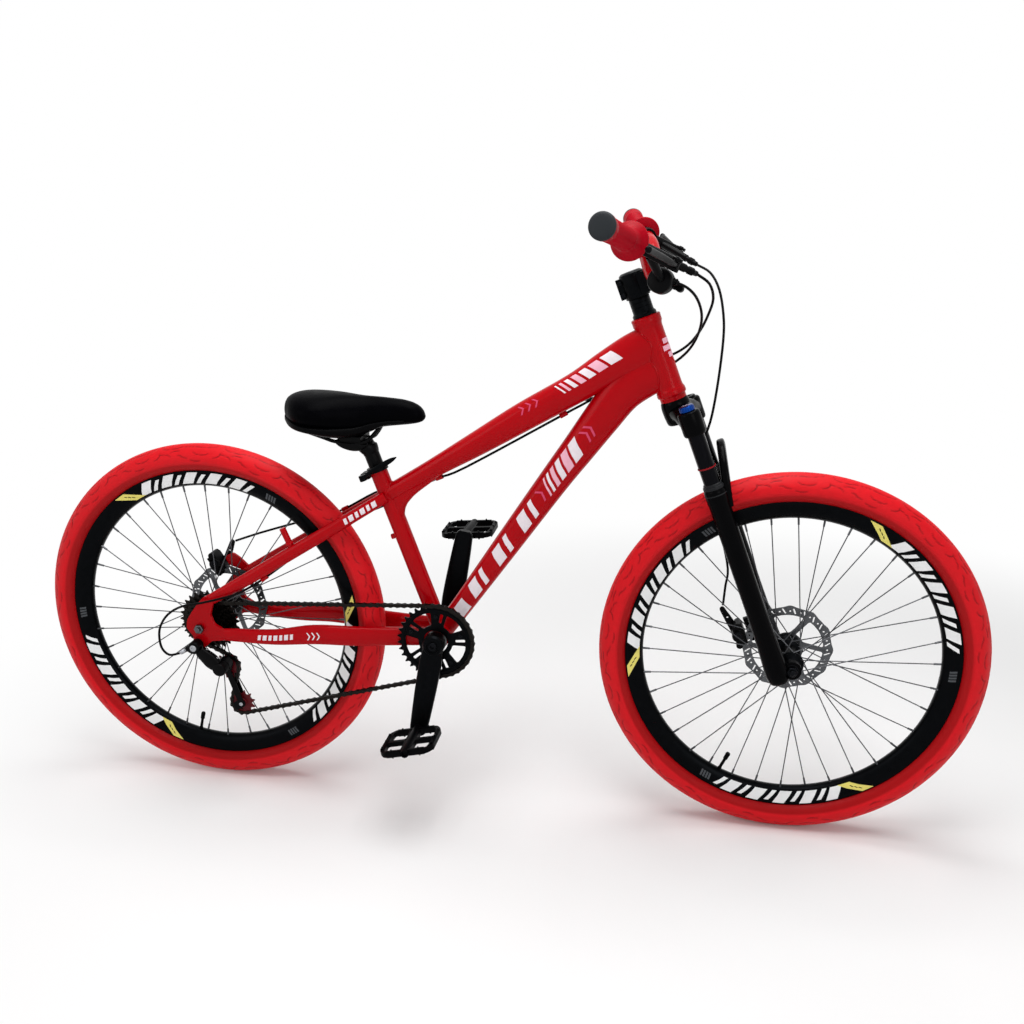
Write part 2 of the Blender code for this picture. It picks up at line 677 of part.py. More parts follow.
def tooth_outline(teeth, phase):
    """A sprocket's outline: a root under each chain pin and a tooth between two pins."""
    radius = pitch_radius(teeth)
    points = []
    for index in range(teeth):
        root = phase + 2 * math.pi * index / teeth
        tip = root + math.pi / teeth
        points.append(((radius - 0.0040) * math.cos(root), (radius - 0.0040) * math.sin(root)))
        points.append(((radius + 0.0032) * math.cos(tip), (radius + 0.0032) * math.sin(tip)))
    return points


def chain_circles():
    """The wheels that the chain passes, in order: centre, radius, teeth and turning sense."""
    cog = COG_TEETH[DRIVEN_COG]
    return [((BB_X, BB_Z), CHAINRING_TEETH, 1), ((0.0, WHEEL_RADIUS), cog, 1),
            (GUIDE_PULLEY, PULLEY_TEETH, -1), (TENSION_PULLEY, PULLEY_TEETH, 1)]


def chain_wraps():
    """For each wheel, its centre, teeth, sense, and the angles where the chain joins and leaves."""
    wheels = chain_circles()
    leaving = []
    joining = []
    for index, (centre, teeth, sense) in enumerate(wheels):
        other, other_teeth, other_sense = wheels[(index + 1) % len(wheels)]
        dx, dz = other[0] - centre[0], other[1] - centre[1]
        offset = pitch_radius(teeth) * sense - pitch_radius(other_teeth) * other_sense
        heading = math.atan2(dz, dx) + math.asin(offset / math.hypot(dx, dz))
        normal = math.atan2(-math.cos(heading), math.sin(heading))
        leaving.append(normal if sense > 0 else normal + math.pi)
        joining.append(normal if other_sense > 0 else normal + math.pi)
    wraps = []
    for index, (centre, teeth, sense) in enumerate(wheels):
        start = joining[index - 1]
        sweep = (sense * (leaving[index] - start)) % (2 * math.pi)
        wraps.append((centre, teeth, sense, start, sweep))
    return wraps


def chain_path():
    """Points along the chain's pitch line with their outward normals, and its pins on the wheels."""
    path = []
    pins = []
    for centre, teeth, sense, start, sweep in chain_wraps():
        step = 2 * math.pi / teeth
        radius = pitch_radius(teeth)
        count = int(sweep / step + 0.0001)
        angles = [start + sense * step * index for index in range(count + 1)]
        for angle in angles:
            pins.append((centre[0] + radius * math.cos(angle), centre[1] + radius * math.sin(angle)))
        if sweep - count * step > 0.2 * step:
            angles.append(start + sense * sweep)
        for angle in angles:
            normal = (sense * math.cos(angle), sense * math.sin(angle))
            path.append((centre[0] + radius * math.cos(angle), centre[1] + radius * math.sin(angle),
                         *normal))
    return path, pins


def make_chain():
    """The chain's two rows of side plates, joined by its pins."""
    path, pins = chain_path()
    high = CHAIN_HALF_HEIGHT
    outer = [(x + nx * high, z + nz * high - WHEEL_RADIUS) for x, z, nx, nz in path]
    inner = [(x - nx * high, z - nz * high - WHEEL_RADIUS) for x, z, nx, nz in path]
    rows = []
    for word, offset in (("chain", -CHAIN_PLATE_Y), ("chain_inside_plates", CHAIN_PLATE_Y)):
        origin = REAR_AXLE + SIDE * (offset - CHAINLINE)
        rows.append(plate(word, outer, [inner], CHAIN_PLATE, origin, look=DARK_STEEL))
    chain, inside = rows
    bm = bmesh.new()
    for x, z in pins[::2]:
        place = Matrix.Translation(at(x, -CHAINLINE, z)) @ facing(SIDE)
        bmesh.ops.create_cone(bm, cap_ends=True, segments=4, radius1=CHAIN_PIN_RADIUS,
                              radius2=CHAIN_PIN_RADIUS, depth=2 * CHAIN_PLATE_Y, matrix=place)
    join(chain, inside, mesh_object("chain_pins", bm))


def phase_of(index):
    return chain_wraps()[index][3]


def make_chainring():
    windows = []
    for arm in range(5):
        start = 2 * math.pi * arm / 5 + 0.3
        outer = [(0.0560, start + math.radians(d)) for d in (7, 26, 46, 65)]
        inner = [(0.0330, start + math.radians(d)) for d in (60, 36, 12)]
        windows.append([(r * math.cos(a), r * math.sin(a)) for r, a in outer + inner])
    holes = windows + [circle(0.0240, 20)]
    return plate("chainring", tooth_outline(CHAINRING_TEETH, phase_of(0)), holes, 0.0024,
                 BOTTOM_BRACKET - SIDE * CHAINLINE, look=BLACK_ALLOY)


def make_crank(word, side):
    """A crank arm with its axle socket and the pedal's spindle screwed into its end."""
    down = Vector((-math.sin(CRANK_BACK_ANGLE), 0, -math.cos(CRANK_BACK_ANGLE))) * (-side)
    outward = SIDE * side
    foot = BOTTOM_BRACKET + down * CRANK_LENGTH
    arm = rod(f"crank_arm_{word}", BOTTOM_BRACKET + outward * 0.0450, BOTTOM_BRACKET + outward * 0.0740,
              0.0185 if side == LEFT else 0.0235, 20, BLACK_ALLOY)
    shank = loft(f"{word}_shank", [(BOTTOM_BRACKET + outward * 0.0640 + down * 0.004, 0.0175, 0.0080),
                                   (BOTTOM_BRACKET + outward * 0.0650 + down * 0.040, 0.0205, 0.0080),
                                   (BOTTOM_BRACKET + outward * 0.0700 + down * 0.100, 0.0195, 0.0070),
                                   (foot + outward * 0.0750 + down * 0.000, 0.0165, 0.0065),
                                   (foot + outward * 0.0755 + down * 0.015, 0.0120, 0.0060)],
                 10, BOTTOM_BRACKET, squareness=3.0)
    spindle = rod(f"{word}_pedal_spindle", foot + outward * 0.0700, foot + outward * 0.1740, 0.0050, 10)
    join(arm, shank, spindle)
    cut(arm, rod(f"{word}_axle_socket", BOTTOM_BRACKET + outward * 0.0400,
                 BOTTOM_BRACKET + outward * 0.0665, 0.0085 + FIT_GAP, 16))
    return arm, foot


def make_pedal(word, side, foot, tilt):
    """A platform pedal: two end plates and cross bars round the spindle's sleeve."""
    middle = foot + SIDE * side * 0.1320
    outline = [(-0.050, -0.030), (-0.040, -0.043), (0.040, -0.043), (0.050, -0.030),
               (0.050, 0.030), (0.040, 0.043), (-0.040, 0.043), (-0.050, 0.030)]
    windows = []
    for way in (-1, 1):
        for half in (-1, 1):
            near, far = 0.0115 * way, 0.0400 * way
            low, high = 0.0040 * half, 0.0345 * half
            windows.append([(near, low), (far, low), (far, high), (near, high)])
    body = plate(f"pedal_{word}", outline, windows, 0.0200, middle, across=UP, look=BLACK_PLASTIC)
    sleeve_room = rod(f"pedal_{word}_bore", middle - SIDE * 0.0600, middle + SIDE * 0.0600,
                      0.0050 + FIT_GAP, 12)
    cut(body, sleeve_room)
    body.matrix_world = body.matrix_world @ Matrix.Rotation(tilt, 4, "Y")
    return body


def make_freewheel():
    """Seven cogs on one threaded body, the driven one with its teeth."""
    outer = -(CHAINLINE - COG_SPACING * DRIVEN_COG)
    bore = AXLE_RADIUS + 0.0005
    profile = [(bore, outer + 0.0015), (0.0300, outer + 0.0015)]
    for index, teeth in enumerate(COG_TEETH):
        centre = outer - COG_SPACING * index
        radius = pitch_radius(teeth) + 0.0010
        if index != DRIVEN_COG:
            profile += [(0.0215, centre + 0.0010), (radius, centre + 0.0009), (radius, centre - 0.0009),
                        (0.0215, centre - 0.0010)]
    profile += [(0.0200, outer - 0.0330), (bore, outer - 0.0330)]
    body = turned("freewheel", profile, REAR_AXLE, SIDE, 14, DARK_STEEL, closed=True)
    driven = plate("driven_cog", tooth_outline(COG_TEETH[DRIVEN_COG], phase_of(1)), [circle(0.0150, 8)],
                   0.0018, REAR_AXLE - SIDE * CHAINLINE)
    return join(body, driven)


def make_derailleur():
    """Hanger knuckle, swinging link, cage knuckle, cage and its two pulleys, each on its joint."""
    plane = -CHAINLINE
    bolt = at(HANGER_BOLT[0], 0, HANGER_BOLT[1])
    pivot = at(CAGE_PIVOT[0], 0, CAGE_PIVOT[1])
    run = (pivot - bolt).normalized()
    swing_axis = Vector((-run.z, 0, run.x))
    body = rod("derailleur_body", bolt - SIDE * 0.0750, bolt - SIDE * 0.0960, 0.0115, 14, BLACK_ALLOY)
    join(body, rod("cable_barrel", bolt + Vector((-0.006, -0.087, 0.0)), at(*BARREL_END), 0.0042, 8))
    near = bolt + run * LINK_NEAR - SIDE * 0.0870
    far = bolt + run * LINK_FAR - SIDE * 0.0870
    link = block("derailleur_link", (LINK_FAR - LINK_NEAR + 0.0055, 0.0150, 0.0170), near.lerp(far, 0.5),
                 swing_axis, BLACK_ALLOY, bevel=0.002)
    knuckle = rod("derailleur_knuckle", pivot + SIDE * (plane - 0.0100), pivot - SIDE * 0.0960, 0.0105,
                  14, BLACK_ALLOY)
    guide = at(GUIDE_PULLEY[0], plane, GUIDE_PULLEY[1])
    tension = at(TENSION_PULLEY[0], plane, TENSION_PULLEY[1])
    cage = make_cage(pivot, guide, tension)
    swing = body_empty("derailleur_link_axis", near)
    fold = body_empty("derailleur_knuckle_axis", far)
    cage_axis = body_empty("derailleur_cage_axis", pivot - SIDE * 0.0560)
    hang(swing, link, fold)
    hang(fold, knuckle, cage_axis)
    hang(cage_axis, cage)
    for word, centre, index in (("guide", guide, 2), ("tension", tension, 3)):
        pulley = plate(f"{word}_pulley", tooth_outline(PULLEY_TEETH, phase_of(index)),
                       [circle(0.0035 + FIT_GAP, 10)], 0.0026, centre, look=RED_PLASTIC)
        hang(cage_axis, pulley)


def make_cage(pivot, guide, tension):
    """Two side plates held apart by the pulleys' bolts."""
    run = (tension - guide).normalized()
    across = Vector((-run.z, 0, run.x))
    outline = []
    for centre, way, radius in ((guide, -1, 0.0130), (tension, 1, 0.0120)):
        for step in range(5):
            angle = math.radians(-90 + 45 * step)
            direction = run * way * math.cos(angle) + across * way * math.sin(angle)
            outline.append(centre + direction * radius)
    flat = [(point.x - pivot.x, point.z - pivot.z) for point in outline]
    outside = plate("derailleur_cage", flat, [], 0.0018, pivot + SIDE * (guide.y - 0.0068),
                    look=BLACK_ALLOY)
    inside = plate("cage_inner_plate", flat, [], 0.0016, pivot + SIDE * (guide.y + 0.0066))
    bolts = []
    for word, centre in (("guide", guide), ("tension", tension)):
        bolts.append(rod(f"{word}_bolt", centre - SIDE * 0.0070, centre + SIDE * 0.0070, 0.0035, 10))
    join(outside, inside, *bolts)
    return outside


# Fork and steering

def make_fork_crown():
    """The crown with the steerer tube that turns in the head tube."""
    crown = turned("fork_crown", [(0, 0.7160), (STEERER_RADIUS, 0.7160), (STEERER_RADIUS, 0.5008),
                                  (0.0222, 0.5008), (0.0240, 0.4960), (0.0250, 0.4880),
                                  (0.0235, 0.4640), (0.0210, 0.4600), (0, 0.4600)],
                   on_fork(0), STEER_UP, 16, FORK_PAINT)
    bridge = loft("crown_bridge", [(on_fork(0.4650, LEG_FORWARD, -LEG_Y), 0.0125, 0.0180),
                                   (on_fork(0.4760, 0.0120, -0.0330), 0.0135, 0.0200),
                                   (on_fork(0.4800, 0.0040, 0.0), 0.0140, 0.0220),
                                   (on_fork(0.4760, 0.0120, 0.0330), 0.0135, 0.0200),
                                   (on_fork(0.4650, LEG_FORWARD, LEG_Y), 0.0125, 0.0180)],
                  10, on_fork(0.48), across=STEER_FORWARD, squareness=2.6)
    join(crown, bridge)
    for side, word in ((RIGHT, "right"), (LEFT, "left")):
        foot = on_fork(0, LEG_FORWARD, side * LEG_Y)
        join(crown, turned(f"crown_boss_{word}",
                           [(0, 0.4850), (0.0150, 0.4850), (0.0190, 0.4800), (0.0190, 0.4480),
                            (0.0175, 0.4440), (0, 0.4440)], foot, STEER_UP, 12))
        cut(crown, rod(f"crown_bore_{word}", foot + STEER_UP * 0.42, foot + STEER_UP * 0.4790,
                       STANCHION_RADIUS + FIT_GAP, 12))
    return crown


def make_stanchion(word, side):
    foot = on_fork(0, LEG_FORWARD, side * LEG_Y)
    return rod(f"stanchion_{word}", foot + STEER_UP * 0.160, foot + STEER_UP * 0.4787,
               STANCHION_RADIUS, 12, STANCHION_COAT)


LEG_PROFILE = [(0, 0.3490), (0.0172, 0.3490), (0.0186, 0.3440), (0.0186, 0.3260), (0.0178, 0.3200),
               (0.0170, 0.1200), (0.0185, 0.0500), (0.0205, 0.0150), (0.0170, -0.0120), (0, -0.0160)]


def make_fork_lowers():
    """Both lower legs with their seal collars, the brake arch and the axle plates."""
    lowers = None
    for side, word in ((RIGHT, "right"), (LEFT, "left")):
        foot = on_fork(0, LEG_FORWARD, side * LEG_Y)
        leg = turned("fork_lowers" if side == RIGHT else "left_leg", LEG_PROFILE, foot, STEER_UP, 12,
                     FORK_PAINT if side == RIGHT else None)
        outline = []
        for step in range(9):
            angle = math.radians(-110 + 27.5 * step)
            outline.append(on_fork(0.0165 * math.sin(angle), FORK_OFFSET + 0.0165 * math.cos(angle)))
        outline += [on_fork(0.046, 0.016), on_fork(-0.004, 0.014)]
        flat = [(point.x - FRONT_AXLE.x, point.z - FRONT_AXLE.z) for point in outline]
        tab = plate(f"axle_plate_{word}", flat, [], FRONT_PLATE,
                    FRONT_AXLE + SIDE * side * (FRONT_DROPOUT_Y + FRONT_PLATE / 2))
        join(leg, tab)
        cut(leg, rod(f"nut_room_{word}", FRONT_AXLE + SIDE * side * (FRONT_DROPOUT_Y + FRONT_PLATE + 0.0002),
                     FRONT_AXLE + SIDE * side * 0.1000, 0.0115, 16))
        cut(leg, rod(f"hub_room_{word}", FRONT_AXLE - SIDE * FRONT_DROPOUT_Y,
                     FRONT_AXLE + SIDE * FRONT_DROPOUT_Y, 0.0180, 16))
        cut(leg, rod(f"axle_hole_{word}", FRONT_AXLE - SIDE * 0.09, FRONT_AXLE + SIDE * 0.09,
                     AXLE_RADIUS + 0.0004, 16))
        if side == RIGHT:
            lowers = leg
        else:
            join(lowers, leg)
    arch_points = []
    for step in range(8):
        angle = math.pi * step / 7
        y = -0.0600 * math.cos(angle)
        rise = math.sin(angle) ** 0.7
        arch_points.append((on_fork(0.312 + 0.091 * rise, 0.034 + 0.016 * rise, y), 0.0080, 0.0070))
    arch = loft("brake_arch", arch_points, 8, on_fork(0.40, 0.05), across=STEER_FORWARD, squareness=3.0)
    tab = block("caliper_tab", (0.0206, 0.0080, 0.0460), on_fork(0.0480, -0.0044, 0.0550), STEER_UP)
    join(lowers, arch, tab)
    for side, word in ((RIGHT, "right"), (LEFT, "left")):
        foot = on_fork(0, LEG_FORWARD, side * LEG_Y)
        cut(lowers, rod(f"leg_bore_{word}", foot + STEER_UP * 0.0500, foot + STEER_UP * 0.3700,
                        STANCHION_RADIUS + FIT_GAP, 12))
    return lowers


def make_front_axle():
    outside = FRONT_DROPOUT_Y + FRONT_PLATE + 0.0005
    profile = [(0, outside + 0.011), (AXLE_RADIUS, outside + 0.011), (AXLE_RADIUS, outside + 0.007),
               (0.0095, outside + 0.007), (0.0095, outside), (AXLE_RADIUS, outside),
               (AXLE_RADIUS, -outside), (0.0095, -outside), (0.0095, -outside - 0.007),
               (AXLE_RADIUS, -outside - 0.007), (AXLE_RADIUS, -outside - 0.011), (0, -outside - 0.011)]
    return turned("front_axle", profile, FRONT_AXLE, SIDE, 12, DARK_STEEL)


def make_caliper(word, centre, along, rotor_y, wheel_centre, pivot, arm_end):
    """A disc brake caliper that straddles the rotor, and the arm that its cable pulls."""
    body = block(f"{word}_caliper", (0.030, 0.030, 0.042), centre, along, BLACK_ALLOY, bevel=0.003)
    slot = rod(f"{word}_caliper_slot", wheel_centre + SIDE * (rotor_y - 0.0022),
               wheel_centre + SIDE * (rotor_y + 0.0022), ROTOR_RADIUS + 0.0015, 32)
    cut(body, slot)
    arm_y = centre.y + 0.0155 + 0.0020
    base = Vector((pivot.x, arm_y, pivot.z))
    tip = Vector((arm_end.x, arm_y, arm_end.z))
    run = (tip - base).normalized()
    across = Vector((-run.z, 0, run.x))
    outline = []
    for end, way, radius in ((base, -1, 0.0085), (tip, 1, 0.0050)):
        for step in range(5):
            angle = math.radians(-90 + 45 * step)
            direction = run * way * math.cos(angle) + across * way * math.sin(angle)
            outline.append(end + direction * radius)
    flat = [(point.x - base.x, point.z - base.z) for point in outline]
    arm = plate(f"{word}_caliper_arm", flat, [], 0.0040, base, look=BLACK_ALLOY)
    return body, arm


def make_headset_spacers():
    bore = STEERER_RADIUS + FIT_GAP
    low, high = HEAD_TUBE_TOP + FIT_GAP, 0.6798
    profile = [(bore, high), (0.0175, high), (0.0175, low + 0.006), (0.0200, low + 0.004), (0.0200, low),
               (bore, low)]
    return turned("headset_spacers", profile, on_fork(0), STEER_UP, 16, BLACK_ALLOY, closed=True)


def make_stem():
    """The stem: a steerer clamp, a boxy neck and half of the bar clamp, and its faceplate."""
    bore = STEERER_RADIUS + FIT_GAP
    stem = turned("stem", [(0, 0.7240), (0.0170, 0.7240), (0.0205, 0.7205), (0.0205, 0.6805),
                           (bore, 0.6805), (bore, 0.7165), (0, 0.7165)], on_fork(0), STEER_UP, 20,
                  BLACK_ALLOY)
    centre = on_fork(BAR_CLAMP_HEIGHT, BAR_CLAMP_FORWARD)
    clamp = rod("bar_clamp", centre - SIDE * 0.0235, centre + SIDE * 0.0235, 0.0205, 20)
    neck = block("stem_neck", (0.0260, 0.0400, 0.0340), on_fork(0.7010, 0.0210), STEER_UP)
    steerer_room = rod("neck_bore", on_fork(0.67), on_fork(0.7165), bore, 20)
    front = block("clamp_front", (0.04, 0.08, 0.08), centre + STEER_FORWARD * 0.0210, STEER_UP)
    bolt_block = block("pinch_block", (0.0100, 0.0200, 0.0340), on_fork(0.7010, -0.0220), STEER_UP)
    room = rod("bar_room", centre - SIDE * 0.05, centre + SIDE * 0.05, BAR_RADIUS + FIT_GAP, 20)
    cut(clamp, front)
    cut(neck, steerer_room)
    join(stem, neck, clamp, bolt_block)
    cut(stem, room)
    cap = rod("stem_faceplate", centre - SIDE * 0.0235, centre + SIDE * 0.0235, 0.0205, 20, BLACK_ALLOY)
    rear = block("clamp_rear", (0.04, 0.08, 0.08), centre - STEER_FORWARD * 0.0185, STEER_UP)
    cap_room = rod("cap_room", centre - SIDE * 0.05, centre + SIDE * 0.05, BAR_RADIUS + FIT_GAP, 20)
    cut(cap, rear, cap_room)
    return stem, cap


def bar_route():
    """The right half of the handlebar's centre line, from its end to its middle."""
    clamp = on_fork(BAR_CLAMP_HEIGHT, BAR_CLAMP_FORWARD)
    end = at(BAR_END[0], -BAR_END[1], BAR_END[2])
    flange = at(BAR_FLANGE[0], -BAR_FLANGE[1], BAR_FLANGE[2])
    grip_run = (flange - end).normalized()
    inner = flange + grip_run * 0.060
    low = Vector((clamp.x - 0.001, -0.0620, clamp.z + 0.003))
    return [end, flange, inner, inner.lerp(low, 0.30) + Vector((0.001, 0, 0.004)),
            inner.lerp(low, 0.72), low, Vector((clamp.x, -0.040, clamp.z)),
            Vector((clamp.x, -0.020, clamp.z)), clamp]


def make_handlebar():
    right = bar_route()
    left = [Vector((p.x, -p.y, p.z)) for p in reversed(right[:-1])]
    points = smooth_path(right + left, 27)
    thin = BAR_END_RADIUS / BAR_RADIUS
    radii = [thin if abs(p.y) > 0.13 else 1.0 if abs(p.y) < 0.08 else 0.94 for p in points]
    return wire("handlebar", points, BAR_RADIUS, FRAME_PAINT, radii=radii,
                origin=on_fork(BAR_CLAMP_HEIGHT, BAR_CLAMP_FORWARD))


def bar_axis(side):
    """The outer end of the bar, the grip's flange, and the direction inward from one to the other."""
    end = at(BAR_END[0], side * BAR_END[1], BAR_END[2])
    flange = at(BAR_FLANGE[0], side * BAR_FLANGE[1], BAR_FLANGE[2])
    return end, flange, (flange - end).normalized()


def make_grip(word, side):
    """A rubber grip with a wide flange at its inner end and a closed outer end."""
    end, _, inward = bar_axis(side)
    bore = BAR_END_RADIUS + 0.0007
    profile = [(0, -0.0006), (bore, -0.0006), (bore, GRIP_LENGTH + 0.004),
               (0.0280, GRIP_LENGTH + 0.003), (0.0280, GRIP_LENGTH - 0.0015),
               (0.0190, GRIP_LENGTH - 0.008), (0.0170, GRIP_LENGTH - 0.018), (0.0162, 0.030),
               (0.0180, 0.010), (0.0195, 0.002), (0.0195, -0.004), (0.0150, -0.008), (0, -0.0095)]
    return turned(f"grip_{word}", profile, end, inward, 12, GRIP_RUBBER)


def lever_points(side):
    """The brake lever's pivot, and the centre line of its blade out to the tip."""
    route = [(0.840, 0.190, 1.0155), (0.836, 0.206, 1.0180), (0.822, 0.245, 1.0280),
             (0.811, 0.282, 1.0360), (0.806, 0.305, 1.0400)]
    return [at(x, side * y, z) for x, y, z in route]


def barrel_end(side):
    return at(0.8720, side * 0.1280, 0.9985)


def make_brake_bracket(word, side):
    """The clamp ring, the arm with its slotted end for the lever, and the cable barrel."""
    _, flange, inward = bar_axis(side)
    ring_centre = flange + inward * 0.030
    bracket = turned(f"brake_lever_bracket_{word}",
                     [(0.0118, 0.0075), (0.0158, 0.0075), (0.0158, -0.0075), (0.0118, -0.0075)],
                     ring_centre, inward, 12, BLACK_ALLOY, closed=True)
    pivot = lever_points(side)[0]
    arm = loft(f"{word}_bracket_arm", [(at(0.7960, side * 0.1860, 1.0360), 0.0095, 0.0075),
                                       (at(0.8150, side * 0.1880, 1.0270), 0.0098, 0.0080),
                                       (pivot, 0.0095, 0.0075)], 8, ring_centre, squareness=3.0)
    ears = rod(f"{word}_ears", pivot - LEVER_AXIS * 0.0100, pivot + LEVER_AXIS * 0.0100, 0.0088, 12)
    barrel = rod(f"{word}_barrel", at(0.8120, side * 0.1820, 1.0280), barrel_end(side), 0.0055, 10)
    join(bracket, arm, ears, barrel)
    slot = rod(f"{word}_lever_slot", pivot - LEVER_AXIS * 0.0048, pivot + LEVER_AXIS * 0.0048, 0.0120, 12)
    pin_hole = rod(f"{word}_pin_hole", pivot - LEVER_AXIS * 0.0120, pivot + LEVER_AXIS * 0.0120, 0.0024, 8)
    cut(bracket, slot, pin_hole)
    return bracket


def make_brake_lever(word, side):
    """A two-finger blade with its pin, which turns in the bracket's slot."""
    points = lever_points(side)
    pivot = points[0]
    lever = rod(f"brake_lever_{word}", pivot - LEVER_AXIS * 0.0044, pivot + LEVER_AXIS * 0.0044, 0.0072,
                12, BLACK_ALLOY)
    sizes = [(0.0042, 0.0050), (0.0045, 0.0050), (0.0050, 0.0045), (0.0050, 0.0042), (0.0044, 0.0036)]
    stations = [(point, high, wide) for point, (high, wide) in zip(points, sizes)]
    blade = loft(f"{word}_blade", stations, 8, pivot, across=LEVER_PULL, squareness=2.6)
    pin = rod(f"{word}_lever_pin", pivot - LEVER_AXIS * 0.0105, pivot + LEVER_AXIS * 0.0105, 0.0020, 8)
    join(lever, blade, pin)
    return lever


def make_shifter(bracket):
    """The round indexed shifter below the right bracket, and the thumb lever that turns on it."""
    _, _, inward = bar_axis(RIGHT)
    centre = at(*SHIFTER)
    pod = rod("shifter_housing", centre - inward * 0.0120, centre + inward * 0.0120, 0.0195, 16)
    strut = rod("shifter_strut", at(0.8030, -0.1840, 1.0260), centre + Vector((0, -0.009, 0.004)), 0.0065,
                8)
    join(bracket, strut, pod)
    near = centre + inward * 0.0125
    far = centre + inward * 0.0170
    lever = rod("shift_lever", near, far, 0.0130, 12, BLACK_PLASTIC)
    knob = at(0.8490, -0.1240, 0.9760)
    arm = loft("thumb_arm", [(near.lerp(far, 0.5), 0.0050, 0.0020), (knob, 0.0045, 0.0020)], 8, near)
    tip = rod("thumb_knob", knob - inward * 0.0090, knob + inward * 0.0050, 0.0058, 10)
    join(lever, arm, tip)
    return lever


# Seat

def make_seatpost():
    """The post that slides in the seat tube, with the head that grips the saddle's rails."""
    post = rod("seatpost", on_seat_tube(0.150), on_seat_tube(0.3730), POST_RADIUS, 16, BLACK_ALLOY)
    head = block("post_head", (0.0460, 0.0560, 0.0200), at(0.3060, 0, RAIL_HEIGHT), UP, bevel=0.002)
    neck = rod("post_neck", on_seat_tube(0.3620), on_seat_tube(0.3720), 0.0158, 16)
    join(post, neck, head)
    for side, word in ((RIGHT, "right"), (LEFT, "left")):
        cut(post, rod(f"rail_room_{word}", at(0.25, side * 0.022, RAIL_HEIGHT),
                      at(0.36, side * 0.022, RAIL_HEIGHT), RAIL_RADIUS + 0.0005, 12))
    return post


def make_saddle_rails():
    half = [(0.1880, 0.0400, 0.7172), (0.2090, 0.0325, 0.7088), (0.2380, 0.0245, 0.6972),
            (0.2580, 0.0220, RAIL_HEIGHT), (0.3320, 0.0220, RAIL_HEIGHT), (0.3440, 0.0205, 0.6935),
            (0.3560, 0.0150, 0.7045), (0.3650, 0.0070, 0.7140), (0.3680, 0.0, 0.7158)]
    right = [at(x, -y, z) for x, y, z in half]
    left = [at(x, y, z) for x, y, z in reversed(half[:-1])]
    return wire("saddle_rails", right + left, RAIL_RADIUS, DARK_STEEL)


SADDLE_STATIONS = [(0.000, 0.014, 0.7570, 0.7300), (0.004, 0.029, 0.7665, 0.7245),
                   (0.013, 0.043, 0.7725, 0.7195), (0.024, 0.057, 0.7755, 0.7165),
                   (0.038, 0.068, 0.7765, 0.7140), (0.056, 0.0735, 0.7760, 0.7120),
                   (0.074, 0.0720, 0.7750, 0.7105), (0.092, 0.0655, 0.7737, 0.7090),
                   (0.112, 0.0540, 0.7718, 0.7080), (0.136, 0.0405, 0.7697, 0.7085),
                   (0.160, 0.0320, 0.7689, 0.7145), (0.190, 0.0280, 0.7686, 0.7198),
                   (0.220, 0.0250, 0.7668, 0.7218), (0.240, 0.0212, 0.7600, 0.7235),
                   (0.250, 0.0150, 0.7510, 0.7270), (0.254, 0.0090, 0.7430, 0.7310)]


def make_saddle_pad():
    """A crowned cushion whose sides draw in towards a narrow nose."""
    sides = 20
    origin = at(SADDLE_REAR + SADDLE_LENGTH / 2, 0, 0.74)
    bm = bmesh.new()
    rings = []
    for x, half_width, top, bottom in SADDLE_STATIONS:
        waist = bottom + 0.42 * (top - bottom)
        ring = []
        for step in range(sides):
            angle = 2 * math.pi * (step + 0.5) / sides
            across = math.copysign(abs(math.cos(angle)) ** 0.85, math.cos(angle)) * half_width
            if math.sin(angle) > 0:
                height = waist + (top - waist) * math.sin(angle) ** 0.80
            else:
                height = waist - (waist - bottom) * abs(math.sin(angle)) ** 0.62
                across *= 0.86 + 0.14 * (1 - abs(math.sin(angle)))
            ring.append(bm.verts.new(at(SADDLE_REAR + x, across, height) - origin))
        rings.append(ring)
    for rear, front in zip(rings, rings[1:]):
        for step in range(sides):
            after = (step + 1) % sides
            bm.faces.new((rear[step], rear[after], front[after], front[step]))
    bm.faces.new(rings[0])
    bm.faces.new(rings[-1])
    bmesh.ops.recalc_face_normals(bm, faces=bm.faces[:])
    pad = mesh_object("saddle_pad", bm, SADDLE_COVER)
    pad.location = origin
    return pad


# Cables

REAR_BRAKE_ROUTE = [(0.8920, -0.1090, 0.9830), (0.8995, -0.0840, 0.9590), (0.8940, -0.0560, 0.9320),
                    (0.8840, -0.0270, 0.9050), (0.8700, 0.0010, 0.8810), (0.8530, 0.0200, 0.8640),
                    (0.8310, 0.0290, 0.8510), (0.7990, 0.0295, 0.8340), (0.7600, 0.0280, 0.8100),
                    (0.7260, 0.0225, 0.7875), (0.6950, 0.0130, 0.7690), (0.6610, 0.0060, 0.7500),
                    (0.4900, 0.0040, 0.6490), (0.4400, 0.0085, 0.6260), (0.4050, 0.0170, 0.6080),
                    (0.3750, 0.0240, 0.5990), (0.3470, 0.0300, 0.5965), (0.3100, 0.0350, 0.5830),
                    (0.2500, 0.0450, 0.5470), (0.2050, 0.0570, 0.5260), (0.1430, 0.0660, 0.5060),
                    (0.0650, 0.0742, 0.4785), (0.0120, 0.0775, 0.4580)]
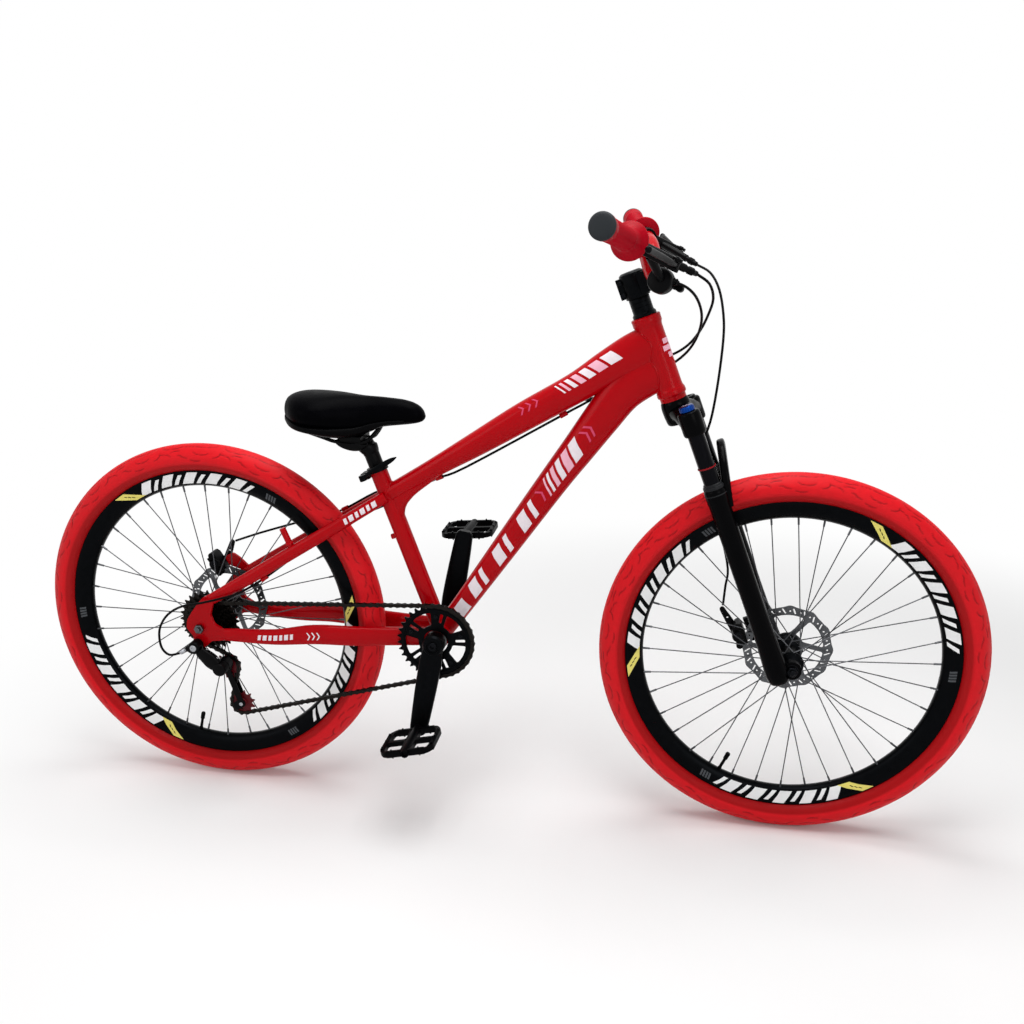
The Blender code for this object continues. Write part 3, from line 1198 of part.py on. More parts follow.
SHIFT_ROUTE = [(0.8412, -0.1400, 0.9868), (0.8590, -0.1350, 0.9785), (0.8730, -0.1200, 0.9640),
               (0.8820, -0.0960, 0.9420), (0.8835, -0.0680, 0.9180), (0.8770, -0.0350, 0.8900),
               (0.8640, -0.0040, 0.8650), (0.8450, 0.0215, 0.8440), (0.8220, 0.0330, 0.8270),
               (0.7900, 0.0335, 0.8120), (0.7550, 0.0315, 0.7965), (0.7100, 0.0275, 0.7770),
               (0.6610, 0.0228, 0.7610), (0.5100, 0.0212, 0.6780), (0.4440, 0.0205, 0.6390),
               (0.4130, 0.0250, 0.6130), (0.3850, 0.0280, 0.5885), (0.3640, 0.0255, 0.5765),
               (0.3440, 0.0155, 0.5700), (0.3230, 0.0000, 0.5635), (0.3030, -0.0120, 0.5550),
               (0.2800, -0.0230, 0.5420), (0.2500, -0.0320, 0.5225), (0.1800, -0.0430, 0.4770),
               (0.1500, -0.0490, 0.4545), (0.1250, -0.0560, 0.4360), (0.1000, -0.0650, 0.4200),
               (0.0700, -0.0745, 0.4055), (0.0150, -0.0850, 0.3910), (-0.0250, -0.0885, 0.3820),
               (-0.0540, -0.0890, 0.3640), (-0.0710, -0.0890, 0.3390), (-0.0755, -0.0885, 0.3150),
               (-0.0720, -0.0878, 0.2935), (-0.0590, -0.0872, 0.2820), (-0.0390, -0.0870, 0.2865)]
FRONT_BRAKE_ROUTE = [(0.8960, 0.1060, 0.9860), (0.9120, 0.0820, 0.9600), (0.9210, 0.0600, 0.9200),
                     (0.9230, 0.0480, 0.8800), (0.9190, 0.0440, 0.8120), (0.9120, 0.0400, 0.7520),
                     (0.9030, 0.0360, 0.7150), (0.8980, 0.0360, 0.6850), (0.9020, 0.0420, 0.6500),
                     (0.9210, 0.0560, 0.5900), (0.9430, 0.0600, 0.5300), (0.9580, 0.0620, 0.4700),
                     (0.9560, 0.0635, 0.4350), (0.9541, 0.0635, 0.3985)]


def cable_start(side):
    """Just outside the barrel of a brake lever's bracket."""
    end = barrel_end(side)
    start = at(0.8120, side * 0.1820, 1.0280)
    return end + (end - start).normalized() * 0.0008


def curved_path(points):
    """The route's own points, with one more between two of them wherever the route bends."""
    route = [points[0] * 2 - points[1]] + points + [points[-1] * 2 - points[-2]]
    path = []
    for a, b, c, d in zip(route, route[1:], route[2:], route[3:]):
        path.append(b)
        bend = max((b - a).angle(c - b), (c - b).angle(d - c))
        if bend > math.radians(26):
            path.append((b + c) * 0.5625 - (a + d) * 0.0625)
    path.append(points[-1])
    return path


def make_cable(name, route, first=None):
    points = [at(*place) for place in route]
    if first is not None:
        points = [first] + points
    return wire(name, curved_path(points), CABLE_RADIUS, CABLE_SHEATH)


def make_cables():
    make_cable("rear_brake_cable", REAR_BRAKE_ROUTE, cable_start(RIGHT))
    make_cable("shift_cable", SHIFT_ROUTE)
    front = make_cable("front_brake_cable", FRONT_BRAKE_ROUTE, cable_start(LEFT))
    return front


# Assembly

def build_rear():
    """The fixed frame, and what turns or swings on it."""
    make_head_tube()
    make_main_tubes()
    make_seat_tube()
    make_stays()
    make_rear_axle()
    make_seat_clamp()
    post = make_seatpost()
    rails = make_saddle_rails()
    pad = make_saddle_pad()
    hang(body_empty("seat", on_seat_tube(SEAT_TUBE_LENGTH)), post, rails, pad)
    wheel = make_wheel("rear", REAR_AXLE, 0.0665, -0.0303, 0.0340, -0.0220, REAR_ROTOR_Y)
    hang(body_empty("rear_wheel", REAR_AXLE), *wheel)
    make_caliper("rear", at(-0.0200, 0.0600, 0.4170), Vector((-0.57, 0, 0.82)), REAR_ROTOR_Y, REAR_AXLE,
                 at(-0.0120, 0, 0.4100), at(0.0050, 0, 0.4550))


def build_drivetrain():
    chainring = make_chainring()
    axle = rod("bottom_bracket_axle", BOTTOM_BRACKET - SIDE * 0.0660, BOTTOM_BRACKET + SIDE * 0.0660,
               0.0085, 16, DARK_STEEL)
    right, right_foot = make_crank("right", RIGHT)
    left, left_foot = make_crank("left", LEFT)
    crankset = body_empty("crankset", BOTTOM_BRACKET)
    hang(crankset, chainring, axle, right, left)
    for word, side, foot, tilt in (("right", RIGHT, right_foot, PEDAL_TILT_RIGHT),
                                   ("left", LEFT, left_foot, PEDAL_TILT_LEFT)):
        pivot = body_empty(f"pedal_axis_{word}", foot)
        hang(pivot, make_pedal(word, side, foot, tilt))
        hang(crankset, pivot)
    make_freewheel()
    make_chain()
    make_derailleur()


def build_front():
    """Everything that steers, with the sprung lower half of the fork and the front wheel."""
    steering = body_empty("steering", STEER_FOOT + STEER_UP * HEAD_TUBE_BOTTOM)
    lowers = body_empty("fork_slide", FRONT_AXLE)
    knob_foot = on_fork(0, LEG_FORWARD, -LEG_Y)
    knob = turned("preload_knob", [(0, 0.4950), (0.0100, 0.4950), (0.0125, 0.4925), (0.0125, 0.4855),
                                   (0, 0.4855)], knob_foot, STEER_UP, 16, BLUE_ANODISED)
    crown = make_fork_crown()
    stem, faceplate = make_stem()
    hang(steering, crown, knob, make_stanchion("right", RIGHT), make_stanchion("left", LEFT),
         make_headset_spacers(), stem, faceplate, make_handlebar())
    for word, side in (("right", RIGHT), ("left", LEFT)):
        bracket = make_brake_bracket(word, side)
        pieces = [bracket, make_grip(word, side), make_brake_lever(word, side)]
        if side == RIGHT:
            pieces.append(make_shifter(bracket))
        hang(steering, *pieces)
    caliper, arm = make_caliper("front", on_fork(0.0480, -0.0300, 0.0460), STEER_UP, FRONT_ROTOR_Y,
                                FRONT_AXLE, on_fork(0.0480, -0.0350), on_fork(0.0950, -0.0450))
    hang(lowers, make_fork_lowers(), make_front_axle(), caliper, arm)
    wheel = make_wheel("front", FRONT_AXLE, 0.0490, -0.0490, 0.0220, -0.0320, FRONT_ROTOR_Y)
    hub = body_empty("front_wheel", FRONT_AXLE)
    hang(hub, *wheel)
    hang(lowers, hub)
    hang(steering, lowers, make_cables())


build_rear()
build_drivetrain()
build_front()
bpy.context.view_layer.update()
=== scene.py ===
# %% [markdown]
# # A freeride bicycle, piece by piece
# This lesson dresses a jointed bicycle frame with the surfaces that the eye sees. The CAD model
# gives every place and every moving body, so each piece below is drawn at its real place in
# metres, with its place in its mesh, and then rides on the body that it belongs to.

# %% Open the frame
from math import asin, atan2, ceil, copysign, cos, exp, hypot, pi, radians, sin, tau

import bmesh
import bpy
import numpy as np
from mathutils import Matrix, Vector


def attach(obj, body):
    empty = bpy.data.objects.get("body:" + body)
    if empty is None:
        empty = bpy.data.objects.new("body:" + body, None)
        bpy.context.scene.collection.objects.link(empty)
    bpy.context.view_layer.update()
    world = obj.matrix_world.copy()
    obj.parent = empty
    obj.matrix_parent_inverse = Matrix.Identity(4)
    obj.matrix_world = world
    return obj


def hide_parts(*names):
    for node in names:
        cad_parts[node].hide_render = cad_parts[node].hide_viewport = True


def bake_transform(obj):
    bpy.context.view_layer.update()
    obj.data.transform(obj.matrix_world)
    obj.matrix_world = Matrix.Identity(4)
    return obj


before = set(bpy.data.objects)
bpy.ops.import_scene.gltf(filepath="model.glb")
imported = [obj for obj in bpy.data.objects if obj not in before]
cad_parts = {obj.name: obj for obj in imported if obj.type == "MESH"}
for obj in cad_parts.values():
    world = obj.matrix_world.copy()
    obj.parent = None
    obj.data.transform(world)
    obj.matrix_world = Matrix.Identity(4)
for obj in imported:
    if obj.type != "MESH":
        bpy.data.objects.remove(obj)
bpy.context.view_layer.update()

# %% [markdown]
# ## The bicycle's own lines
# A bicycle is drawn from a few lines: the two axles, the head tube's line that the fork turns on,
# and the seat tube's line. Places below are measured from the rear axle's foot on the ground, and
# the frame's middle lies half a wheelbase further forward.

# %% Main dimensions, in metres
WHEELBASE = 1.071
WHEEL_RADIUS = 0.335
HEAD_ANGLE = radians(68.5)
SEAT_ANGLE = radians(69.5)
FORK_OFFSET = 0.044
LEG_Y = 0.062
LEG_FORWARD = 0.0195
CHAINLINE = 0.0475
AHEAD, SIDE, UP = Vector((1, 0, 0)), Vector((0, 1, 0)), Vector((0, 0, 1))
RIGHT, LEFT = -1, 1
SIDES = (("right", RIGHT), ("left", LEFT))


def mm(*rows):
    """A table of lengths written in millimetres, as rows of metres."""
    return [tuple(length / 1000 for length in row) for row in rows]


def up_by(height, rows):
    """A turned profile's (radius, height) rows, moved along its axis."""
    return [(radius, height + y) for radius, y in rows]


def laid(table, foot, *axes):
    """Rows of a formed tube from (steps from the foot along each axis, half height, half width)."""
    return [(sum((axis * step for axis, step in zip(axes, row)), foot), *row[len(axes):]) for row in table]


def at(x, y, z):
    """A place measured from the point on the ground below the rear axle."""
    return Vector((x - WHEELBASE / 2, y, z))


REAR_AXLE = at(0, 0, WHEEL_RADIUS)
FRONT_AXLE = at(WHEELBASE, 0, WHEEL_RADIUS)
BRACKET = at(0.443, 0, 0.333)
STEER_UP = Vector((-cos(HEAD_ANGLE), 0, sin(HEAD_ANGLE)))
STEER_FORWARD = Vector((sin(HEAD_ANGLE), 0, cos(HEAD_ANGLE)))
STEER_FOOT = FRONT_AXLE - STEER_FORWARD * FORK_OFFSET
SEAT_UP = Vector((-cos(SEAT_ANGLE), 0, sin(SEAT_ANGLE)))
SEAT_AHEAD = Vector((SEAT_UP.z, 0, -SEAT_UP.x))


def on_fork(height, forward=0.0, y=0.0):
    """A place measured up the steering line, forward of it and to its side."""
    return STEER_FOOT + STEER_UP * height + STEER_FORWARD * forward + SIDE * y


def on_seat_tube(distance, forward=0.0, y=0.0):
    return BRACKET + SEAT_UP * distance + SEAT_AHEAD * forward + SIDE * y


print("front axle at", [round(v, 4) for v in FRONT_AXLE])

# %% [markdown]
# ## Tools for shapes
# Almost everything on a bicycle is turned on a lathe, bent from a tube, or cut from plate. A turned
# part and a tube are both a skin over a row of rings, so one function skins rings, and the others
# only say where the rings go. Each part is a closed bmesh, and one piece may hold several parts.

# %% Objects
def linked(name, data):
    """A new object in the scene, at the origin."""
    obj = bpy.data.objects.new(name, data)
    bpy.context.scene.collection.objects.link(obj)
    return obj


def baked(obj):
    """A mesh of the object as its modifiers leave it."""
    return bpy.data.meshes.new_from_object(obj.evaluated_get(bpy.context.evaluated_depsgraph_get()))


# %% Smooth rows and rings
def faired(rows, steps):
    """Rows of numbers read from a smooth curve through the given rows, some steps to each gap."""
    table = np.array(rows, float)
    ends = [2 * table[0] - table[1], *table, 2 * table[-1] - table[-2]]
    made = []
    for a, b, c, d in zip(ends, ends[1:], ends[2:], ends[3:]):
        for t in np.arange(steps) / steps:
            made.append(0.5 * (2 * b + (c - a) * t + (2 * a - 5 * b + 4 * c - d) * t ** 2
                + (3 * b - a - 3 * c + d) * t ** 3))
    return [*made, table[-1]]


def facing(axis, across=SIDE):
    """A rotation whose Z runs along the axis and whose X is square to the second vector."""
    z = Vector(axis).normalized()
    helper = Vector(across)
    if abs(z.dot(helper.normalized())) > 0.99:
        helper = UP if abs(z.z) < 0.9 else AHEAD
    x = helper.cross(z).normalized()
    return Matrix((x, z.cross(x), z)).transposed()


def other_side(rows):
    """Rows of (radius, y) on the other side of the middle, in the opposite order."""
    return [(radius, -y) for radius, y in reversed(rows)]


def skin(rings, loop=False):
    """A closed skin over rings of points. Its UV is metres along, and the share of a turn round."""
    bm = bmesh.new()
    surface = bm.loops.layers.uv.new("surface")
    rows = [[bm.verts.new(point) for point in ring] for ring in rings]
    pairs = list(zip(rows, rows[1:])) + ([(rows[-1], rows[0])] if loop else [])
    count = len(rows[0])
    along = 0.0
    for lower, upper in pairs:
        step = (upper[0].co - lower[0].co).length
        for i in range(count):
            j = (i + 1) % count
            face = bm.faces.new((lower[i], lower[j], upper[j], upper[i]))
            corners = ((along, i), (along, i + 1), (along + step, i + 1), (along + step, i))
            for corner, (u, v) in zip(face.loops, corners):
                corner[surface].uv = (u, v / count)
        along += step
    if not loop:
        bm.faces.new(rows[0])
        bm.faces.new(rows[-1])
    bmesh.ops.remove_doubles(bm, verts=bm.verts[:], dist=0.000001)
    bmesh.ops.recalc_face_normals(bm, faces=bm.faces[:])
    return bm


def squared(value, power):
    """A power that keeps the sign. With one below 1, a circle's sines turn into a boxier form."""
    return copysign(abs(value) ** power, value)


def round_ring(centre, right, up, wide, high, sides, squareness=2.0):
    """A ring of points, round at squareness 2 and boxier above it."""
    angles = [tau * (step + 0.5) / sides for step in range(sides)]
    return [centre + right * squared(cos(a), 2 / squareness) * wide
        + up * squared(sin(a), 2 / squareness) * high for a in angles]


# %% Turned parts, tubes and formed tubes
def revolve(profile, centre, axis=SIDE, steps=48, loop=False):
    """A turned part from (radius, height) points, with its heights along the axis."""
    turn = facing(axis)
    rings = []
    for radius, height in profile:
        angles = [tau * step / steps for step in range(steps)]
        rings.append([centre + turn @ Vector((radius * cos(a), radius * sin(a), height)) for a in angles])
    return skin(rings, loop)


def hoop(profile, centre, axis, steps=48):
    """A turned ring: its profile is a closed outline that stays off the axis."""
    return revolve(profile, centre, axis, steps, loop=True)


def rod(start, end, radius, steps=24, edge=0.0):
    """A straight round bar, with its ends rounded over by the edge."""
    length = (Vector(end) - Vector(start)).length
    profile = [(0, 0), (radius - edge, 0), (radius, edge), (radius, length - edge),
        (radius - edge, length), (0, length)]
    return revolve(profile, Vector(start), Vector(end) - Vector(start), steps)


def pin(middle, axis, half, radius, steps=24, edge=0.0):
    """A round bar that reaches equally far to both sides of its middle."""
    return rod(middle - axis * half, middle + axis * half, radius, steps, edge)


def tube(points, radius, sides=12, loop=False):
    """A bent round bar along points, with one radius or a radius for each point."""
    points = [Vector(point) for point in points]
    radii = radius if hasattr(radius, "__len__") else [radius] * len(points)
    middle = sum(points, Vector()) / len(points)
    last = len(points) - 1
    side = None
    rings = []
    for index, (point, size) in enumerate(zip(points, radii)):
        before = points[index - 1] if loop or index else point
        after = points[(index + 1) % len(points)] if loop or index < last else point
        way = (after - before).normalized()
        side = (point - middle) if loop else (side or way.orthogonal())
        side = (side - way * side.dot(way)).normalized()
        rings.append(round_ring(point, side, way.cross(side), size, size, sides))
    return skin(rings, loop)


def stations(rows, steps=5):
    """Faired (x, y, z, half height, half width) rows of a formed tube."""
    return faired([(*centre, high, wide) for centre, high, wide in rows], steps)


def formed_rings(table, sides=32, across=SIDE, squareness=2.3):
    """The section rings of a formed tube, square to its own line."""
    centres = [Vector(row[:3]) for row in table]
    rings = []
    for index, row in enumerate(table):
        before = centres[max(index - 1, 0)]
        after = centres[min(index + 1, len(centres) - 1)]
        way = (after - before).normalized()
        side = (across - way * across.dot(way)).normalized()
        rings.append(round_ring(centres[index], side, way.cross(side), row[4], row[3], sides, squareness))
    return rings


def formed(rows, sides=32, across=SIDE, squareness=2.3, steps=5):
    return skin(formed_rings(stations(rows, steps), sides, across, squareness))


# %% Plates and boxes
def slab(outline, holes, thickness, centre, turn=None):
    """A plate with holes, drawn in X and Z and thick along Y unless it is turned."""
    curve = bpy.data.curves.new("plate", "CURVE")
    curve.dimensions = "2D"
    curve.fill_mode = "BOTH"
    curve.extrude = thickness / 2
    for points in [outline, *holes]:
        spline = curve.splines.new("POLY")
        spline.points.add(len(points) - 1)
        for point, (x, y) in zip(spline.points, points):
            point.co = (x, y, 0, 1)
        spline.use_cyclic_u = True
    holder = linked("plate", curve)
    mesh = baked(holder)
    bm = bmesh.new()
    bm.from_mesh(mesh)
    bpy.data.objects.remove(holder)
    bpy.data.meshes.remove(mesh)
    bmesh.ops.remove_doubles(bm, verts=bm.verts[:], dist=0.000005)
    bmesh.ops.recalc_face_normals(bm, faces=bm.faces[:])
    upright = Matrix(((1, 0, 0), (0, 0, -1), (0, 1, 0)))
    place = (turn or Matrix.Identity(3)) @ upright
    bmesh.ops.transform(bm, matrix=Matrix.Translation(centre) @ place.to_4x4(), verts=bm.verts[:])
    return bm


def polar(radius, angle, centre=(0.0, 0.0)):
    return centre[0] + radius * cos(angle), centre[1] + radius * sin(angle)


def circle(radius, count=32, centre=(0.0, 0.0)):
    return [polar(radius, tau * step / count, centre) for step in range(count)]


def arc(radius, start, degrees):
    """Points of an outline on one radius, at so many degrees from the start."""
    return [polar(radius, start + radians(d)) for d in degrees]


def round_corners(points, radius, steps=4):
    """An outline with each corner replaced by a short arc."""
    made = []
    count = len(points)
    for index in range(count):
        corner = Vector(points[index])
        back = Vector(points[index - 1]) - corner
        ahead = Vector(points[(index + 1) % count]) - corner
        reach = min(radius, 0.45 * back.length, 0.45 * ahead.length)
        start, end = corner + back.normalized() * reach, corner + ahead.normalized() * reach
        for step in range(steps + 1):
            t = step / steps
            made.append(tuple(start * (1 - t) ** 2 + corner * 2 * t * (1 - t) + end * t ** 2))
    return made


def capsule(start, end, first, second, steps=10):
    """The outline round two circles of different radius, as a link or an arm has."""
    start, end = Vector(start), Vector(end)
    run = (end - start).normalized()
    across = Vector((-run.y, run.x))
    made = []
    for centre, way, radius in ((start, -1, first), (end, 1, second)):
        for step in range(steps + 1):
            angle = radians(-90 + 180 * step / steps)
            made.append(tuple(centre + (run * cos(angle) + across * sin(angle)) * way * radius))
    return made


def brick(size, centre, axis=UP, across=SIDE):
    """A box with its Z along the axis and its Y along the second vector."""
    bm = bmesh.new()
    place = Matrix.Translation(centre) @ facing(axis, across).to_4x4() @ Matrix.Diagonal((*size, 1))
    bmesh.ops.create_cube(bm, size=1.0, matrix=place)
    return bm


def socket_bolt(centre, axis, radius, height=None):
    """A cap screw's head, with the socket for its key."""
    high = height or radius * 1.1
    profile = [(0, high * 0.45), (radius * 0.45, high * 0.45), (radius * 0.5, high), (radius * 0.85, high),
        (radius, high * 0.85), (radius, 0), (0, 0)]
    return revolve(profile, Vector(centre), axis, 18)


def hex_nut(centre, axis, radius, height):
    profile = [(0, 0), (radius * 0.92, 0), (radius, height * 0.12), (radius, height * 0.88),
        (radius * 0.9, height), (0, height)]
    return revolve(profile, Vector(centre), axis, 6)


# %% [markdown]
# ## From parts to a piece
# A piece is what rides on a body: its parts put into one mesh, its finish, the CAD nodes that it
# stands for, and a small rounding of its sharp edges, because a machined edge always catches a
# thin line of light.

# %% Put parts together
def whole_mesh(name, parts):
    whole = bmesh.new()
    for part in parts:
        mesh = bpy.data.meshes.new("part")
        part.to_mesh(mesh)
        part.free()
        whole.from_mesh(mesh)
        bpy.data.meshes.remove(mesh)
    mesh = bpy.data.meshes.new(name)
    whole.to_mesh(mesh)
    whole.free()
    return mesh


def settle(obj, look, body, nodes=()):
    """Finish, body, replaced nodes and material slot of a piece whose mesh is ready."""
    if look.name not in [m.name for m in obj.data.materials if m]:
        obj.data.materials.clear()
        obj.data.materials.append(look)
    if nodes:
        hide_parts(*nodes)
    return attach(obj, body) if body else obj


def loose(name, parts, sharp=38):
    """An object at the origin that holds the parts, smooth except at its sharp edges."""
    mesh = whole_mesh(name, parts)
    mesh.shade_smooth()
    mesh.set_sharp_from_angle(angle=radians(sharp))
    return linked(name, mesh)


def round_edges(obj, width):
    bevel = obj.modifiers.new("edge", "BEVEL")
    bevel.width, bevel.segments = width, 2
    bevel.limit_method, bevel.angle_limit = "ANGLE", radians(40)


def piece(name, parts, look, body, nodes=(), edge=0.0, sharp=38):
    obj = loose(name, parts, sharp)
    if edge:
        round_edges(obj, edge)
    return settle(obj, look, body, nodes)


# %% [markdown]
# ## Repeats with Geometry Nodes
# Spokes and bolts go round an axle in equal steps, and a chain's links follow one another along its
# line. One node tree puts copies of a small mesh at listed places, each with its own turn. It ends
# in real geometry, so that nothing is left as an instance.

# %% A tree for copies
def add(tree, kind, inputs=None, **settings):
    """Adds a node with its settings, and links or sets its inputs. A node stands for its output."""
    made = tree.nodes.new(kind)
    for key, value in settings.items():
        setattr(made, key, value)
    for key, value in (inputs or {}).items():
        if isinstance(value, bpy.types.Node):
            value = value.outputs[0]
        if isinstance(value, bpy.types.NodeSocket):
            tree.links.new(value, made.inputs[key])
        else:
            made.inputs[key].default_value = value
    return made


def places_tree():
    """Copies of another object's mesh at the mesh's points, turned by the attribute named turn."""
    tree = bpy.data.node_groups.new("copies at places", "GeometryNodeTree")
    tree.interface.new_socket("Geometry", in_out="OUTPUT", socket_type="NodeSocketGeometry")
    for label, kind in (("Geometry", "Geometry"), ("Piece", "Object"), ("Look", "Material")):
        tree.interface.new_socket(label, in_out="INPUT", socket_type="NodeSocket" + kind)
    given = tree.nodes.new("NodeGroupInput").outputs
    unit = add(tree, "GeometryNodeObjectInfo", {"Object": given["Piece"]})
    turn = add(tree, "GeometryNodeInputNamedAttribute", {"Name": "turn"}, data_type="FLOAT_VECTOR")
    copies = add(tree, "GeometryNodeInstanceOnPoints", {"Points": given["Geometry"],
        "Instance": unit.outputs["Geometry"], "Rotation": turn})
    real = add(tree, "GeometryNodeRealizeInstances", {0: copies})
    painted = add(tree, "GeometryNodeSetMaterial", {"Geometry": real, "Material": given["Look"]})
    add(tree, "NodeGroupOutput", {"Geometry": painted})
    return tree


PLACES_TREE = places_tree()


def copies_at(name, unit, places, look, body, nodes=()):
    """A piece of copies of one small mesh at (position, euler turn) places."""
    small = loose(name + "_unit", unit)
    mesh = bpy.data.meshes.new(name)
    mesh.from_pydata([tuple(place) for place, _ in places], [], [])
    turn = mesh.attributes.new("turn", "FLOAT_VECTOR", "POINT")
    turn.data.foreach_set("vector", [value for _, euler in places for value in euler])
    obj = linked(name, mesh)
    step = obj.modifiers.new("copies", "NODES")
    step.node_group = PLACES_TREE
    for item in PLACES_TREE.interface.items_tree:
        if item.in_out == "INPUT" and item.name != "Geometry":
            step[item.identifier] = {"Piece": small, "Look": look}[item.name]
    mesh = baked(obj)
    obj.modifiers.remove(step)
    obj.data = mesh
    bpy.data.objects.remove(small)
    return settle(obj, look, body, nodes)


def ring_of(name, parts, count, centre, look, body):
    """A piece of equal copies in a ring round an axle."""
    angles = [tau * index / count for index in range(count)]
    places = [(centre - Matrix.Rotation(a, 3, "Y") @ centre, (0.0, a, 0.0)) for a in angles]
    return copies_at(name, parts, places, look, body)


# %% [markdown]
# ## Finishes
# Each finish starts from what the real surface is and how it was made. Paint is a colour under a
# clear gloss with a faint ripple. Anodised aluminium is a thin dark skin over metal, a little rough.
# Rubber scatters light softly and shows its mould. Patterns are sized in millimetres.

# %% Colour and shader helpers
def linear(code):
    """An sRGB hex colour as the linear values that shaders take."""
    channels = [int(code[i:i + 2], 16) / 255 for i in (1, 3, 5)]
    return (*[c / 12.92 if c <= 0.04045 else ((c + 0.055) / 1.055) ** 2.4 for c in channels], 1.0)


def finish(name, slot, light, dark, grain, rough, bump=0.0, stretch=(1, 1, 1), **constants):
    """A surface whose colour and roughness drift between two values over a grain of so many mm."""
    look = bpy.data.materials.new(name)
    look.use_nodes = True
    tree = look.node_tree
    shader = tree.nodes["Principled BSDF"]
    where = add(tree, "ShaderNodeTexCoord").outputs["Object"]
    spread = add(tree, "ShaderNodeMapping", {"Vector": where, "Scale": stretch})
    noise = add(tree, "ShaderNodeTexNoise", {"Vector": spread, "Scale": 1000 / grain, "Detail": 3.0,
        "Roughness": 0.55})
    colour = add(tree, "ShaderNodeMix", {0: noise, 6: linear(dark), 7: linear(light)}, data_type="RGBA")
    gloss = add(tree, "ShaderNodeMapRange", {"Value": noise, "From Min": 0.3, "From Max": 0.7,
        "To Min": rough[0], "To Max": rough[1]})
    tree.links.new(colour.outputs[2], shader.inputs["Base Color"])
    tree.links.new(gloss.outputs[0], shader.inputs["Roughness"])
    if bump:
        relief = add(tree, "ShaderNodeBump", {"Height": noise, "Strength": 1.0, "Distance": bump / 1000})
        tree.links.new(relief.outputs[0], shader.inputs["Normal"])
    for key, value in constants.items():
        shader.inputs[key.replace("_", " ")].default_value = value
    return look


# %% Paints and metals
# The highlights on this bicycle are weak, so the dielectrics have a low index of refraction.
# Wet red enamel: a deep red, with the faint ripple that spray leaves, 40 mm from crest to crest.
RED_PAINT = finish("red_enamel", "frame_paint", "#b0000b", "#9c0009", 40, (0.15, 0.2), 0.002, IOR=1.19)
# The fork's castings are sprayed black over a mould's skin: a gloss that wavers every 30 mm.
FORK_BLACK = finish("black_fork_lacquer", "fork_paint", "#030304", "#010102", 30, (0.16, 0.24), 0.003,
    IOR=1.11)
# Hard-anodised fork tubes: nearly black, polished along the tube.
STANCHION = finish("hard_anodised_tube", "stanchion_coat", "#141417", "#0c0c0e", 3, (0.16, 0.24),
    stretch=(1, 1, 0.1), Metallic=1.0)
# Black anodised aluminium: satin where it was blasted, smoother and longer in grain on the rims,
# and a painted casting with fine pits 2 mm apart.
BLACK_ALLOY = finish("black_anodised_alloy", "black_alloy", "#101113", "#08090a", 6, (0.34, 0.46), 0.002,
    Metallic=1.0)
RIM_BLACK = finish("black_anodised_rim", "black_alloy", "#0e0f11", "#08090a", 14, (0.26, 0.36),
    Metallic=1.0)
CAST_BLACK = finish("black_painted_casting", "black_alloy", "#040405", "#010102", 2, (0.3, 0.42), 0.01,
    IOR=1.15)
# Steel: drawn wire, ground rotor, bolts black with oxide and an oiled chain. Each is grey with a
# grain of one to three millimetres, and the rotor's is the strongest.
SPOKE_STEEL = finish("stainless_wire", "silver_steel", "#5a5b5e", "#3c3d40", 2, (0.25, 0.36), Metallic=1.0)
ROTOR_STEEL = finish("ground_rotor_steel", "silver_steel", "#6b6d70", "#3a3b3d", 0.9, (0.24, 0.4), 0.003,
    Metallic=1.0)
BOLT_STEEL = finish("black_oxide_bolts", "dark_steel", "#1c1d20", "#0d0e10", 1.5, (0.3, 0.42), Metallic=1.0)
CHAIN_STEEL = finish("oiled_chain_steel", "dark_steel", "#2b2826", "#0d0c0c", 3, (0.28, 0.45), 0.002,
    Metallic=1.0)
SILVER_CAST = finish("silver_barrel_alloy", "silver_steel", "#b4b6ba", "#8c8e93", 1.5, (0.25, 0.36),
    Metallic=1.0)
BLUE_KNOB = finish("blue_anodised_alloy", "blue_anodised", "#123f94", "#0a2a63", 1.5, (0.22, 0.32),
    Metallic=1.0)

# %% Rubber, plastic and print
# Soft rubber grips and hard grey plugs: a broad, weak highlight that breaks up over the grain.
GRIP_RED = finish("red_grip_rubber", "grip_rubber", "#a80018", "#8c0012", 3, (0.36, 0.48), 0.01, IOR=1.15)
GRIP_CAP = finish("grey_end_plug", "black_plastic", "#272b2e", "#1d2023", 1.6, (0.45, 0.58), 0.006,
    IOR=1.25)
# Moulded black nylon and cable housing: darker than rubber, with a fine spark-eroded grain.
NYLON = finish("black_moulded_nylon", "black_plastic", "#040405", "#010102", 1.0, (0.34, 0.46), 0.006,
    IOR=1.11)
SHEATH = finish("black_cable_housing", "cable_sheath", "#040405", "#020203", 4, (0.3, 0.42), IOR=1.15)
SEAL_GREY = finish("grey_wiper_rubber", "black_plastic", "#1c1d20", "#121315", 1.2, (0.4, 0.5), 0.004,
    IOR=1.22)
RING_RED = finish("red_o_ring", "grip_rubber", "#8e0712", "#6f050d", 1.0, (0.4, 0.5), IOR=1.25)
PULLEY_RED = finish("dark_red_nylon", "red_plastic", "#5e0712", "#3c040b", 1.2, (0.34, 0.46), 0.006,
    IOR=1.25)
